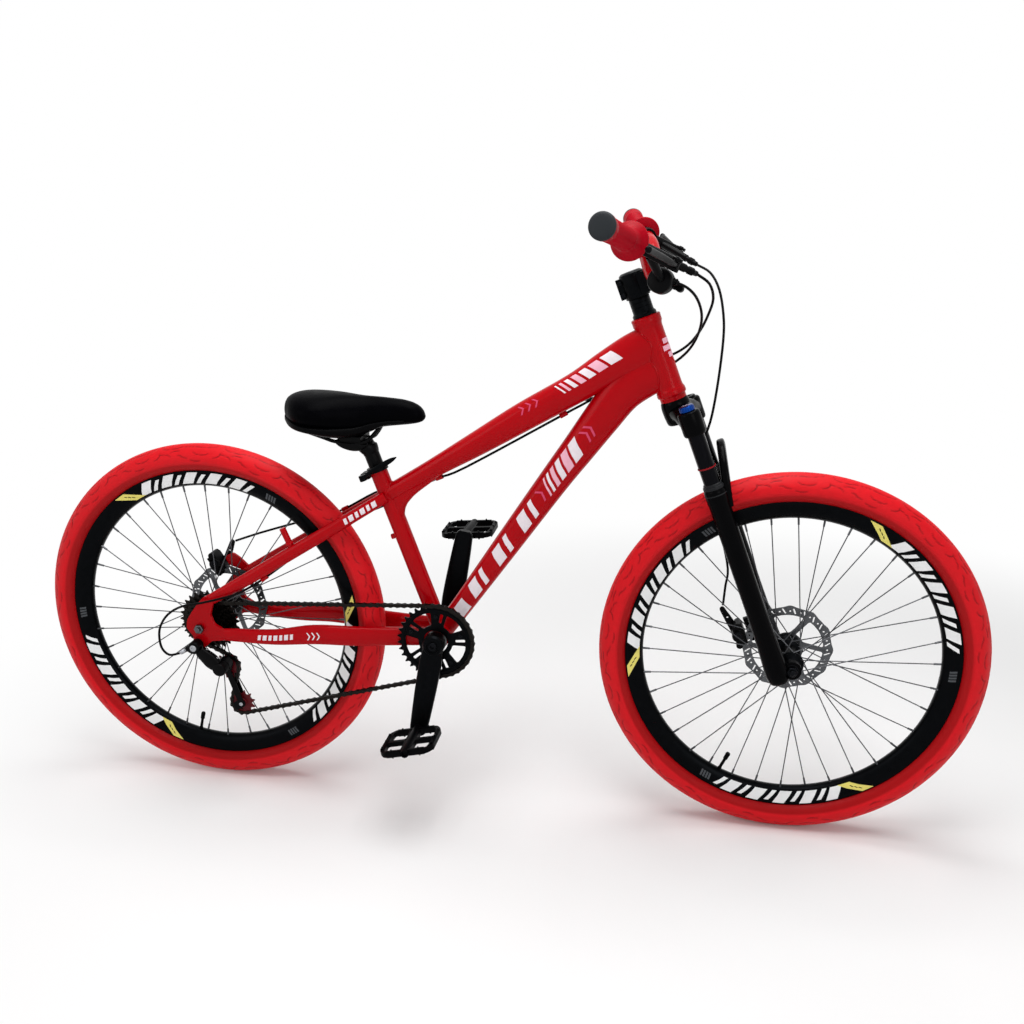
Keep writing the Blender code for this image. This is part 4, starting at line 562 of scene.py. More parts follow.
# Printed film, a little duller than the paint: even in colour, so only its gloss drifts.
WHITE_PRINT = finish("white_print", "frame_paint", "#ece3e8", "#dfd3da", 6, (0.3, 0.4), IOR=1.3)
PINK_PRINT = finish("pale_pink_print", "frame_paint", "#ecb6c6", "#e0a2b5", 6, (0.3, 0.4), IOR=1.3)
ROSE_PRINT = finish("rose_print", "frame_paint", "#d0486a", "#c03c5e", 6, (0.3, 0.4), IOR=1.25)
YELLOW_PRINT = finish("yellow_rim_print", "black_alloy", "#eadf78", "#ddd068", 5, (0.35, 0.45), IOR=1.3)
GREY_PRINT = finish("grey_rim_print", "black_alloy", "#4a4d51", "#393c40", 5, (0.35, 0.45), IOR=1.3)
RIM_WHITE = finish("white_rim_print", "black_alloy", "#f0f1f1", "#e6e7e8", 5, (0.35, 0.45), IOR=1.3)


def tyre_finish():
    """Pigmented rubber: bright red tread, painted shade that darkens the tyre's sides below the tread cap,
    and painted shade in the sipes.
    """
    look = finish("red_tyre_rubber", "tyre_rubber", "#d8101c", "#c40a15", 8, (0.46, 0.6), 0.006, IOR=1.25)
    tree = look.node_tree
    shader = tree.nodes["Principled BSDF"]
    colour = shader.inputs["Base Color"].links[0].from_socket
    # The tyre's sides are mixed towards a darker red. This is painted shade for the hollow below the tread
    # cap, not a second rubber.
    side = add(tree, "ShaderNodeAttribute", attribute_name="sidewall_shade")
    darker = add(tree, "ShaderNodeMix", {0: side.outputs["Fac"], 6: colour, 7: linear("#a00006")},
        data_type="RGBA")
    groove = add(tree, "ShaderNodeAttribute", attribute_name="sipe")
    shaded = add(tree, "ShaderNodeMix", {0: groove.outputs["Fac"], 6: darker.outputs[2],
        7: linear("#7e0007")}, data_type="RGBA")
    tree.links.new(shaded.outputs[2], shader.inputs["Base Color"])
    return look


TYRE_RED = tyre_finish()

# %% [markdown]
# ## Camera, floor and light
# The photograph was taken from the bicycle's right side, a little from the front and from above.
# The camera's place and angles were solved from the outlines of the two wheels. The studio floor
# is white paper that runs up behind, so the floor turns to plain white away from the bicycle.

# %% Camera
YAW, PITCH, ROLL = radians(9.467), radians(16.583), radians(-0.507)
CAMERA_PLACE = Vector((0.3298, -1.7498, 1.1002))
FOCAL_PIXELS, PHOTO_PIXELS = 1042.92, 1024

ahead = Vector((-sin(YAW) * cos(PITCH), cos(YAW) * cos(PITCH), -sin(PITCH)))
right = ahead.cross(UP).normalized()
down = ahead.cross(right)
level_right = right * cos(ROLL) + down * sin(ROLL)
level_down = down * cos(ROLL) - right * sin(ROLL)
lens = bpy.data.cameras.new("camera")
lens.sensor_width = 36.0
lens.lens = lens.sensor_width * FOCAL_PIXELS / PHOTO_PIXELS
lens.clip_start = 0.05
camera = linked("camera", lens)
axes = Matrix((level_right, -level_down, -ahead)).transposed()
camera.matrix_world = Matrix.Translation(CAMERA_PLACE) @ axes.to_4x4()
bpy.context.scene.camera = camera
bpy.context.scene.view_settings.view_transform = "Standard"


# %% Studio floor
SHADOW_MIDDLE = (0.55, 0, 0)
PAPER_END, WHITE_START = 0.9, 2.0

# A white floor that keeps the shadow near the bicycle and is plain white further off.
bm = bmesh.new()
bmesh.ops.create_grid(bm, x_segments=1, y_segments=1, size=30)
floor = linked("floor", whole_mesh("floor", [bm]))
look = bpy.data.materials.new("white_paper")
look.use_nodes = True
tree = look.node_tree
tree.nodes.clear()
where = add(tree, "ShaderNodeTexCoord").outputs["Object"]
shifted = add(tree, "ShaderNodeVectorMath", {0: where, 1: SHADOW_MIDDLE}, operation="SUBTRACT")
far = add(tree, "ShaderNodeVectorMath", {0: shifted}, operation="LENGTH")
share = add(tree, "ShaderNodeMapRange", {"Value": far.outputs["Value"], "From Min": PAPER_END,
    "From Max": WHITE_START}, interpolation_type="SMOOTHSTEP")
paper = add(tree, "ShaderNodeBsdfDiffuse", {"Color": linear("#f2f2f2")})
white = add(tree, "ShaderNodeEmission", {"Color": (1, 1, 1, 1), "Strength": 1.0})
mixed = add(tree, "ShaderNodeMixShader", {0: share, 1: paper, 2: white})
add(tree, "ShaderNodeOutputMaterial", {"Surface": mixed})
floor.data.materials.append(look)


# %% Lights
def area_light(name, place, target, width, height, power):
    data = bpy.data.lights.new(name, "AREA")
    data.shape = "RECTANGLE"
    data.size, data.size_y = width, height
    data.energy = power
    turn = facing(Vector(place) - Vector(target), UP)
    linked(name, data).matrix_world = Matrix.Translation(place) @ turn.to_4x4()


area_light("overhead_softbox", (0.1, -0.1, 2.9), (0, 0, 0.4), 2.4, 1.6, 72)
area_light("front_softbox", (1.9, -2.4, 1.8), (0.1, 0, 0.5), 1.4, 1.4, 16)
area_light("side_softbox", (-2.2, -1.9, 1.6), (-0.1, 0, 0.5), 1.4, 1.4, 10)
world = bpy.data.worlds.new("studio")
bpy.context.scene.world = world
world.use_nodes = True
sky = world.node_tree
sky.nodes.clear()
seen = add(sky, "ShaderNodeLightPath")
plain = add(sky, "ShaderNodeBackground", {"Color": (1, 1, 1, 1), "Strength": 1.0})
soft = add(sky, "ShaderNodeBackground", {"Color": (1, 1, 1, 1), "Strength": 0.34})
mirrored = add(sky, "ShaderNodeMath", {0: seen.outputs["Is Camera Ray"], 1: seen.outputs["Is Glossy Ray"]},
    operation="MAXIMUM")
through = add(sky, "ShaderNodeMath", {0: mirrored, 1: seen.outputs["Is Transmission Ray"]},
    operation="MAXIMUM")
backdrop = add(sky, "ShaderNodeMixShader", {0: through, 1: soft, 2: plain})
add(sky, "ShaderNodeOutputWorld", {"Surface": backdrop})

# %% [markdown]
# ## Cables
# A brake cable runs in a springy housing, so it leaves its lever straight, swings round in one wide
# bow and then lies along the frame. Each one crosses a joint: two of them would bend as the bar turns,
# and the third as the fork sinks; here each is one fixed tube that rides on no body.

# %% Routes, from the lever to the part that each one works
CABLE_RADIUS = 0.0022
BARREL = {side: (at(0.812, side * 0.182, 1.028), at(0.872, side * 0.128, 0.9985)) for side in (-1, 1)}
REAR_BRAKE_ROUTE = mm((892, -109, 983), (899.5, -84, 959), (894, -56, 932), (884, -27, 905), (870, 1, 881),
    (853, 20, 864), (831, 29, 851), (799, 29.5, 834), (760, 28, 810), (726, 22.5, 787.5), (695, 13, 769),
    (661, 6, 750), (490, 4, 649), (440, 8.5, 626), (405, 17, 608), (375, 24, 599), (347, 30, 596.5),
    (310, 35, 583), (250, 45, 547), (205, 57, 526), (143, 66, 506), (65, 74.2, 478.5), (12, 77.5, 458))
SHIFT_ROUTE = mm((841.2, -140, 986.8), (859, -135, 978.5), (873, -120, 964), (882, -96, 942),
    (883.5, -68, 918), (877, -35, 890), (864, -4, 865), (845, 21.5, 844), (822, 33, 827), (790, 33.5, 812),
    (755, 31.5, 796.5), (710, 27.5, 777), (661, 22.8, 761), (510, 21.2, 678), (444, 20.5, 639),
    (413, 25, 613), (385, 28, 588.5), (364, 25.5, 576.5), (344, 15.5, 570), (323, 0, 563.5),
    (303, -12, 555), (280, -23, 542), (250, -32, 522.5), (180, -43, 477), (150, -49, 454.5),
    (125, -56, 436), (100, -65, 420), (70, -74.5, 405.5), (15, -85, 391), (-25, -88.5, 382),
    (-54, -89, 364), (-71, -89, 339), (-75.5, -88.5, 315), (-72, -87.8, 293.5), (-59, -87.2, 282),
    (-39, -87, 286.5))
FRONT_BRAKE_ROUTE = mm((896, 106, 986), (912, 82, 960), (921, 60, 920), (923, 48, 880), (919, 44, 812),
    (912, 40, 752), (903, 36, 715), (898, 36, 685), (902, 42, 650), (921, 56, 590), (943, 60, 530),
    (958, 62, 470), (956, 63.5, 435), (954.1, 63.5, 398.5))


def make_cable(node, route, lever=None):
    """A cable's housing as a round tube along its own route, left on no body."""
    points = [at(*place) for place in route]
    if lever:
        foot, tip = BARREL[lever]
        points = [tip + (tip - foot).normalized() * 0.0008] + points
    path = [Vector(point) for point in faired(points, 4)]
    obj = loose(node + "_housing", [tube(path, CABLE_RADIUS, 10)], 60)
    settle(obj, SHEATH, None, [node])
    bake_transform(obj)
    return path


REAR_PATH = make_cable("rear_brake_cable", REAR_BRAKE_ROUTE,
    RIGHT)
SHIFT_PATH = make_cable("shift_cable", SHIFT_ROUTE)
make_cable("front_brake_cable", FRONT_BRAKE_ROUTE,
    LEFT)

# %% [markdown]
# ## Wheels
# A tyre is one smooth ring with a raised tread cap. The real tread is nearly smooth, with thin
# flame-shaped sipes that repeat seventeen times, so the ring's mesh is fine enough to be pressed in
# along those lines, and it keeps how deep each point is, for the shade in the grooves.

# %% Tyre tread
TREAD_REPEATS = 17
STEPS_IN_REPEAT = 53
TYRE_SIDE = mm((286.6, 12), (288.5, 16.5), (292.5, 21.5), (298, 24.7), (304, 26), (310, 25.7), (316, 24),
    (322, 20.3), (327.5, 15), (331.5, 9), (333.4, 3))
TYRE_SECTION = TYRE_SIDE + other_side(TYRE_SIDE)
TREAD_EDGE = 0.0445
TREAD_RISE = 0.0013
SIPE_WIDTH = 0.0013
SIPE_DEPTH = 0.0009
FLAMES = [mm((0, 3), (4, 9.4), (25, 13.5), (40, 12), (67, 12), (84, 15.2), (105, 13), (111, 3)),
    mm((11, 24), (22, 28.4), (37, 27.8), (46, 22.9)), mm((54, 35.5), (65, 32.7), (71, 29.6), (78.5, 29)),
    mm((90, 31.2), (96.5, 26.5), (111, 24), (115.5, 21.3)), mm((115.5, 21.3), (114.5, 25.8), (120, 30.5),
    (129, 32.7)), mm((26, 38.5), (38, 40), (52, 37.5)), mm((70, 21), (80, 20), (92, 22.5))]


def sipe_lines():
    """The flame strokes of one repeat, as points of (metres round, metres across, depth share)."""
    repeat = tau * WHEEL_RADIUS / TREAD_REPEATS
    lines = []
    for way in (1, -1):
        for stroke in FLAMES:
            points = np.array(faired(stroke, 8))
            taper = np.sin(np.pi * np.linspace(0, 1, len(points))) ** 0.4
            round_ = points[:, 0] + (repeat / 2 if way < 0 else 0)
            lines.append(np.stack([round_, way * points[:, 1], taper], 1))
    return repeat, lines


def tyre_mesh(name, centre):
    section = np.array(faired(TYRE_SECTION, 4))
    wide = len(section)
    arc = np.concatenate([[0], np.cumsum(np.linalg.norm(np.diff(section, axis=0), axis=1))])
    arc -= arc[-1] / 2
    slope = np.gradient(section, axis=0)
    outward = np.stack([-slope[:, 1], slope[:, 0]], 1)
    outward /= np.linalg.norm(outward, axis=1)[:, None]
    repeat, lines = sipe_lines()
    cap = np.clip((TREAD_EDGE - np.abs(arc)) / 0.0016, 0, 1)
    columns = []
    for column in range(STEPS_IN_REPEAT):
        here = repeat * column / STEPS_IN_REPEAT
        deep = np.zeros(wide)
        for line in lines:
            for shift in (-repeat, 0, repeat):
                gap = np.hypot(line[:, 0][:, None] + shift - here, line[:, 1][:, None] - arc[None, :])
                nearest = np.argmin(gap, axis=0)
                reach = gap[nearest, np.arange(wide)] / SIPE_WIDTH
                deep = np.maximum(deep, np.clip(1.3 - reach, 0, 1) * line[nearest, 2])
        deep = deep * cap
        columns.append((section + outward * (cap * TREAD_RISE - deep * SIPE_DEPTH)[:, None], list(deep)))
    count = TREAD_REPEATS * STEPS_IN_REPEAT
    verts, groove, faces = [], [], []
    for index in range(count):
        ring, deep = columns[index % STEPS_IN_REPEAT]
        angle = tau * index / count
        verts += [(centre.x + r * cos(angle), centre.y + y, centre.z + r * sin(angle)) for r, y in ring]
        groove += deep
        here, after = index * wide, (index + 1) % count * wide
        faces += [(here + k, here + (k + 1) % wide, after + (k + 1) % wide, after + k) for k in range(wide)]
    # The mask for the painted shade on the tyre's sides, rising from the tread cap's edge outwards.
    wall = list(np.clip((np.abs(arc) - TREAD_EDGE) / 0.004, 0, 1)) * count
    mesh = bpy.data.meshes.new(name)
    mesh.from_pydata(verts, [], faces)
    for label, values in (("sipe", groove), ("sidewall_shade", wall)):
        mesh.attributes.new(label, "FLOAT", "POINT").data.foreach_set("value", values)
    mesh.shade_smooth()
    return mesh


def make_tyre(word, centre):
    obj = linked(f"{word}_tyre_tread", tyre_mesh(f"{word}_tyre_tread", centre))
    bm = bmesh.new()
    bm.from_mesh(obj.data)
    bmesh.ops.recalc_face_normals(bm, faces=bm.faces[:])
    bm.to_mesh(obj.data)
    bm.free()
    settle(obj, TYRE_RED, f"{word}_wheel", [f"{word}_tyre"])
    print(word, "tyre:", len(obj.data.polygons), "faces")


for word, centre in (("rear", REAR_AXLE), ("front", FRONT_AXLE)):
    make_tyre(word, centre)

# %% [markdown]
# ## Rims
# A deep rim is an extrusion bent round: a V with two straight walls. Its prints are thin patches
# that lie a fifth of a millimetre off the wall, so that they follow it exactly from any side.

# %% Rim and its prints
RIM_LIP = mm((286.8, 15.4), (286.8, 13.8), (283.5, 12.8))
RIM_WALL = mm((255.7, 2.5), (257.2, 6), (261, 10), (270, 14.5), (284.5, 15.8))
RIM_SECTION = [*RIM_LIP, (0.282, 0.0), *other_side(RIM_LIP), *other_side(RIM_WALL), *RIM_WALL]
WALL = RIM_WALL[2:]
WALL_MIDDLE = 0.273


def wall_place(centre, side, angle, radius, lift=0.0002):
    """A point just off the rim's wall."""
    for (r0, y0), (r1, y1) in zip(WALL, WALL[1:]):
        if radius <= r1:
            break
    y = y0 + (y1 - y0) * (radius - r0) / (r1 - r0) + lift
    return centre + Vector((radius * cos(angle), side * y, radius * sin(angle)))


def wall_patch(centre, side, angle, inner, outer, length, slant=0.0, steps=6, lift=0.0002):
    """A slanted print on the wall: length in metres round, slant in metres from foot to head."""
    bm = bmesh.new()
    rows = []
    levels = sorted({inner, outer, *[r for r, _ in WALL if inner < r < outer]})
    for radius in levels:
        share = (radius - inner) / (outer - inner)
        row = []
        for step in range(steps + 1):
            reach = length * (step / steps - 0.5) + slant * (share - 0.5)
            row.append(bm.verts.new(wall_place(centre, side, angle + reach / radius, radius, lift)))
        rows.append(row)
    for low, high in zip(rows, rows[1:]):
        for k in range(steps):
            corners = (low[k], low[k + 1], high[k + 1], high[k])
            bm.faces.new(corners if side < 0 else corners[::-1])
    return bm


BAR_GROUPS = ((0.0, 0.021), (0.028, 0.008), (0.046, 0.021), (0.074, 0.008), (0.092, 0.021), (0.12, 0.008),
    (0.138, 0.022), (0.168, 0.008), (0.186, 0.021), (0.214, 0.008))


def make_rim(word, centre, *spots):
    """A rim with its prints. The spots are places in the photograph's plane that prints stand at."""
    body = f"{word}_wheel"
    yellow, grey = ([atan2(z - centre.z, x - WHEELBASE / 2 - centre.x) for x, z in row] for row in spots)
    piece(f"{word}_deep_rim", [hoop(RIM_SECTION, centre, SIDE, 160)], RIM_BLACK, body, [f"{word}_rim"])
    prints = {"yellow": [], "grey": [], "white": [], "black": []}
    for side in (-1, 1):
        for angle in yellow:
            prints["yellow"].append(wall_patch(centre, side, angle, 0.2614, 0.2843, 0.022, 0.036))
            for mark in (-1, 0, 1):
                prints["black"].append(wall_patch(centre, side, angle + mark * 0.0064 / WALL_MIDDLE,
                    0.2708 + mark * 0.004, 0.2748 + mark * 0.004, 0.0022, 0.004, 2, 0.0004))
            for start, width in BAR_GROUPS:
                middle = angle - (0.03 + start + width / 2) / WALL_MIDDLE
                inner, outer = (0.2618, 0.2838) if width > 0.01 else (0.2618, 0.28)
                prints["white"].append(wall_patch(centre, side, middle, inner, outer, width, -0.014, 3))
        for angle in grey:
            for step in (-0.008, -0.0027, 0.0027, 0.008):
                prints["grey"].append(wall_patch(centre, side, angle + step / WALL_MIDDLE, 0.267, 0.279,
                    0.0036, 0.002, 2))
    for colour, look in (("yellow", YELLOW_PRINT), ("grey", GREY_PRINT), ("white", RIM_WHITE),
            ("black", RIM_BLACK)):
        piece(f"{word}_rim_{colour}_print", prints[colour], look, body)


make_rim("front", FRONT_AXLE, mm((1198, 568.5), (797, 308), (1216, 81)),
    mm((1350, 326), (924, 552), (935, 86)))
make_rim("rear", REAR_AXLE, mm((-150, 562), (-114, 70), (268, 368)),
    mm((127, 573), (-269, 323), (146, 107)))

# %% [markdown]
# ## Spokes and hubs
# Thirty-six spokes run from two flanges, each side in nine pairs that cross. One pair is drawn with
# its bent head and its nipple, and the node tree turns it nine times for each flange.

# %% Laced spokes
SPOKE_RADIUS, FLANGE_RADIUS, RIM_RADIUS = 0.001, 0.0195, 0.2575


def spoke(centre, flange_y, trailing, turn):
    """One spoke from its head in the flange to its nipple in the rim."""
    hub_angle = turn + (radians(20) if trailing > 0 else 0)
    rim_angle = hub_angle + trailing * radians(60)
    lean = trailing * 0.0012
    (x0, z0), (x1, z1) = polar(FLANGE_RADIUS, hub_angle), polar(RIM_RADIUS, rim_angle)
    near, far = Vector((x0, flange_y + lean, z0)), Vector((x1, copysign(0.0025, flange_y) + lean, z1))
    way = (far - near).normalized()
    head = near - SIDE * lean * 3
    wire = tube([centre + head, centre + near - SIDE * lean, centre + near, centre + near + way * 0.004,
        centre + far - way * 0.006], SPOKE_RADIUS, 8)
    nipple = tube([centre + far - way * 0.014, centre + far - way * 0.0135, centre + far - way * 0.002,
        centre + far], [0.0012, 0.0018, 0.0019, 0.0024], 8)
    return [wire, nipple]


def make_spokes(word, centre, left_flange, right_flange):
    for side, flange, turn in (("left", left_flange, 0.02), ("right", right_flange, 0.02 + pi / 18)):
        parts = spoke(centre, flange, -1, turn) + spoke(centre, flange, 1, turn)
        ring_of(f"{word}_{side}_spokes", parts, 9, centre, SPOKE_STEEL, f"{word}_wheel")


# %% Hub shells
def make_hub(word, centre, left, right, left_flange, right_flange, rotor_y):
    """A turned shell with two flanges, the rotor's seat and the lock nuts."""
    face = rotor_y - 0.0014
    flange = mm((22.2, 1.8), (22.8, 0.6), (22.8, -1.2), (21.5, -2), (16, -4.5), (14.2, -9))
    middle = (0.0132, (left_flange + right_flange) / 2)
    left_end = [*up_by(left, mm((5.5, 0), (9.5, 0), (10.5, -2))), *up_by(left_flange, mm((11, 5), (15, 4)))]
    right_end = up_by(right_flange, mm((13, -4), (10.5, -6))) + up_by(right, mm((9.8, 1), (9, 0), (5.5, 0)))
    shell = [*left_end, *up_by(left_flange, flange), middle, *up_by(right_flange, other_side(flange)),
        *right_end]
    seat = up_by(face, mm((6, 0), (24.5, 0), (25.2, -0.8), (24.5, -3.5))) + up_by(left_flange,
        mm((16, 2.5), (6, 2.5)))
    parts = [hoop(shell, centre, SIDE, 48), hoop(seat, centre, SIDE, 48)]
    piece(f"{word}_hub_shell", parts, BLACK_ALLOY, f"{word}_wheel", [f"{word}_hub_and_spokes"])
    nuts = [hex_nut(centre + SIDE * y, SIDE, 0.0088, 0.0045) for y in (left - 0.0045, right)]
    piece(f"{word}_hub_lock_nuts", nuts, BOLT_STEEL, f"{word}_wheel", edge=0.0003)


HUBS = {"rear": (REAR_AXLE, 0.0665, -0.0303, 0.034, -0.022, 0.054),
    "front": (FRONT_AXLE, 0.049, -0.049, 0.022, -0.032, 0.04)}
for word, (centre, left, right_end, left_flange, right_flange, rotor_y) in HUBS.items():
    make_spokes(word, centre, left_flange, right_flange)
    make_hub(word, centre, left, right_end, left_flange, right_flange, rotor_y)

# %% [markdown]
# ## Brake rotors
# A rotor is laser-cut from flat steel: a wavy rim, rows of slots that scrape the pads clean, and six
# slanted arms to the hub. Its outline is drawn as a curve with holes and filled, as a laser cuts it.

# %% Rotors
ROTOR_THICK, ROTOR_BOLTS = 0.0018, 0.0215


def wave_outline():
    made = []
    for step in range(180):
        angle = tau * step / 180
        radius = 0.0785 + 0.0015 * cos(12 * angle) + 0.0004 * cos(24 * angle)
        made.append(polar(radius, angle))
    return made


def rotor_holes():
    holes = [circle(0.015, 32)]
    for arm in range(6):
        start = tau * arm / 6
        window = arc(0.0628, start, (4, 12, 21, 30, 39, 48, 56)) + arc(0.029, start, (64, 51, 38, 25))
        holes += [round_corners(window, 0.004, 4), circle(0.0022, 12, polar(ROTOR_BOLTS, start))]
        for index in range(4):
            angle = start + radians(7 + 15 * index)
            slot = capsule(polar(0.0665, angle), polar(0.0742, angle + 0.06), 0.0013, 0.0013, 4)
            holes += [slot, circle(0.0017, 12, polar(0.07, angle + 0.14))]
    return holes


for word, (centre, *_, rotor_y) in HUBS.items():
    place = centre + SIDE * rotor_y
    piece(f"{word}_brake_rotor", [slab(wave_outline(), rotor_holes(), ROTOR_THICK, place)], ROTOR_STEEL,
        f"{word}_wheel", [f"{word}_rotor"], edge=0.0002)
    bolt = socket_bolt(place + Vector((ROTOR_BOLTS, ROTOR_THICK / 2, 0)), SIDE, 0.0042, 0.0024)
    ring_of(f"{word}_rotor_bolts", [bolt], 6, centre, BOLT_STEEL, f"{word}_wheel")

# %% Valves
for word, centre, (x, z) in (("front", FRONT_AXLE, (0.968, 0.1086)), ("rear", REAR_AXLE, (-0.05, 0.1))):
    out = Vector((x - WHEELBASE / 2 - centre.x, 0, z - centre.z)).normalized()
    foot = centre + out * 0.257
    valve = mm((0, 0), (3, 0), (3.5, 3), (2.9, 6), (2.7, 22), (4, 24), (4.2, 35), (3.5, 37), (0, 37))
    piece(f"{word}_valve", [revolve(valve, foot, -out, 20)], NYLON, f"{word}_wheel")

# %% [markdown]
# ## The frame
# The main tubes are hydroformed aluminium: one tube swells and squares off towards the head tube.
# Each is welded round its neighbour, and the thick bead with its rows of small scallops is what the
# eye looks for. The bead here is found by following each edge of the tube until it meets the round
# tube that it is joined to.

# %% Where the tubes run
def rows_at(table, side=1):
    """Rows of a formed tube from (x, y, z, half height, half width), on one side of the bicycle."""
    return [(at(x, side * y, z), high, wide) for x, y, z, high, wide in table]


TOP_TUBE = rows_at(mm((345, 0, 591, 16, 15), (425, 0, 641, 16.8, 17), (510, 0, 693, 21.5, 19.5),
    (592, 0, 744.5, 25, 21), (680, 0, 797, 26.2, 22.5), (735, 0, 834, 30, 23.8), (775, 0, 859, 33, 23.2),
    (808, 0, 876, 34, 21.5)))
DOWN_TUBE = rows_at(mm((443, 0, 332, 18.5, 18), (481, 0, 386, 19.3, 19.5), (564, 0, 509.5, 23.2, 21),
    (647, 0, 633, 26.5, 22.5), (690, 0, 694.5, 29.2, 23), (727, 0, 748, 32, 22.8), (760, 0, 793, 34, 22.2),
    (795, 0, 820, 34.5, 21), (825, 0, 836, 33, 19.5)))
SEATSTAY = mm((12, 67, 385, 9.5, 6), (45, 65.5, 404.5, 11, 7.5), (108, 61, 443, 12, 8.5),
    (180, 51, 488, 12, 9), (250, 41.5, 531.5, 11.5, 9), (300, 31.5, 563, 11, 9),
    (347, 18.5, 592, 10.5, 8.5))
CHAINSTAY = mm((26, 70, 323.5, 10.5, 4.5), (60, 67.2, 323.5, 12.5, 7.5), (140, 61, 323, 15, 9),
    (215, 54, 331, 19, 9.5), (290, 45, 330, 19, 9.5), (345, 37, 331, 18, 9.5), (400, 29, 332, 17.5, 10),
    (438, 26.5, 332.5, 16.5, 9.5))
DROPOUT = mm((-25, 349), (-15, 365), (2, 388), (14, 400), (30, 390), (22, 362), (28, 345), (46, 334),
    (46, 314), (22, 311), (4, 294), (-10, 291), (-17, 301), (-14, 317), (-27, 333))
HEAD_RADIUS, SEAT_RADIUS, SHELL_RADIUS = 0.0223, 0.0159, 0.0205


def seam(rings, foot, axis, radius):
    """Where the edges of a formed tube meet a round one, as one closed row of points."""
    points = []
    for edge in zip(*rings):
        gaps = [((p - foot) - axis * (p - foot).dot(axis)).length - radius for p in edge]
        for (a, b), (before, after) in zip(zip(edge, edge[1:]), zip(gaps, gaps[1:])):
            if before * after <= 0:
                points.append(a.lerp(b, before / (before - after)))
                break
    return points


def bead(points, radius=0.0024, ripple=0.16):
    """A weld bead round a closed row of points, scalloped every three millimetres or so."""
    rows = faired([*points, points[0]], 4)[:-1]
    radii = [radius * (1 + ripple * cos(pi * index)) for index in range(len(rows))]
    return tube(rows, radii, 8, loop=True)


# %% Main tubes with their welds
HEAD_LINE = (on_fork(0), STEER_UP, HEAD_RADIUS)
SEAT_LINE = (on_seat_tube(0), SEAT_UP, SEAT_RADIUS)
TOP_RINGS = formed_rings(stations(TOP_TUBE, 6), 44)
DOWN_RINGS = formed_rings(stations(DOWN_TUBE, 6), 44)

head_seam = seam(TOP_RINGS[30:], *HEAD_LINE)
seat_seam = seam(TOP_RINGS[::-1][30:], *SEAT_LINE)
down_seam = seam(DOWN_RINGS[36:], *HEAD_LINE)
shell_seam = seam(DOWN_RINGS[::-1][30:], BRACKET, SIDE, SHELL_RADIUS)
print("seams:", len(head_seam), len(seat_seam), len(down_seam), len(shell_seam))
piece("hydroformed_top_tube", [skin(TOP_RINGS), bead(head_seam, 0.0016, 0.05),
    bead(seat_seam, 0.0017, 0.08)], RED_PAINT, "frame", ["top_tube"])
piece("hydroformed_down_tube", [skin(DOWN_RINGS), bead(down_seam, 0.0016, 0.05),
    bead(shell_seam, 0.0018, 0.08)], RED_PAINT, "frame", ["down_tube"])

web = rows_at(mm((442, 0, 643, 10, 9), (412, 0, 625, 14.5, 11.5), (390, 0, 610.5, 17, 12.5),
    (372.1, 0, 594.1, 19, 12.5), (364.8, 0, 569.8, 14, 12), (365, 0, 543, 11.5, 11), (370, 0, 525, 7, 7)))
piece("seat_tube_gusset", [formed(web, 32)], RED_PAINT, "frame")


# %% Head tube and seat tube
low, high = 0.5013, 0.6479
crest = mm((15, 0), (20.5, 0), (24, -1), (24.7, -2.5), (24.7, -13.5), (23.5, -15.8), (22.7, -18.5),
    (22.3, -22))
root = mm((22.3, 25), (22.7, 20.5), (23.7, 18), (24.7, 15.5), (24.7, 9), (23.9, 7.8), (22.4, 7), (22.2, 4),
    (22.2, 0), (15, 0))
profile = up_by(high, crest) + up_by(low, root)
piece("head_tube_turned", [hoop(profile, on_fork(0), STEER_UP, 56)], RED_PAINT, "frame", ["head_tube"])
cup = mm((18, 0), (24.8, 0), (25, 0.6), (25, 2.2), (24.8, 2.8), (18, 2.8))
cups = [hoop(cup, on_fork(place), STEER_UP, 48) for place in (high - 0.0052, low + 0.0098)]
piece("headset_cup_lines", cups, RED_PAINT, "frame")

wall = hoop([(SEAT_RADIUS, 0.012), (SEAT_RADIUS, 0.33), (0.0141, 0.33), (0.0141, 0.012)], on_seat_tube(0),
    SEAT_UP, 40)
half = mm((10, -36.5), (19.3, -36.5), (20.5, -35.5))
shell = hoop(half + other_side(half), BRACKET, SIDE, 44)
boss = revolve(mm((0, -2), (5, -2), (5, 10.5), (4.2, 11), (0, 11)), on_seat_tube(0.2, -0.012), -SEAT_AHEAD,
    18)
foot = bead(seam([round_ring(on_seat_tube(s), SEAT_AHEAD, SIDE, SEAT_RADIUS, SEAT_RADIUS, 32)
    for s in (0.012, 0.018, 0.024, 0.03, 0.036)], BRACKET, SIDE, SHELL_RADIUS), 0.002)
piece("seat_tube_and_bracket_shell", [wall, shell, boss, foot], RED_PAINT, "frame", ["seat_tube"])
cups = [hoop(mm((9.5, 0), (18, 0), (18.6, 0.8), (18.6, 2.2), (15, 3.6), (9.5, 3.6)),
    BRACKET + SIDE * side * 0.0365, SIDE * side, 36) for side in (-1, 1)]
piece("bracket_cups", cups, BOLT_STEEL, "frame")


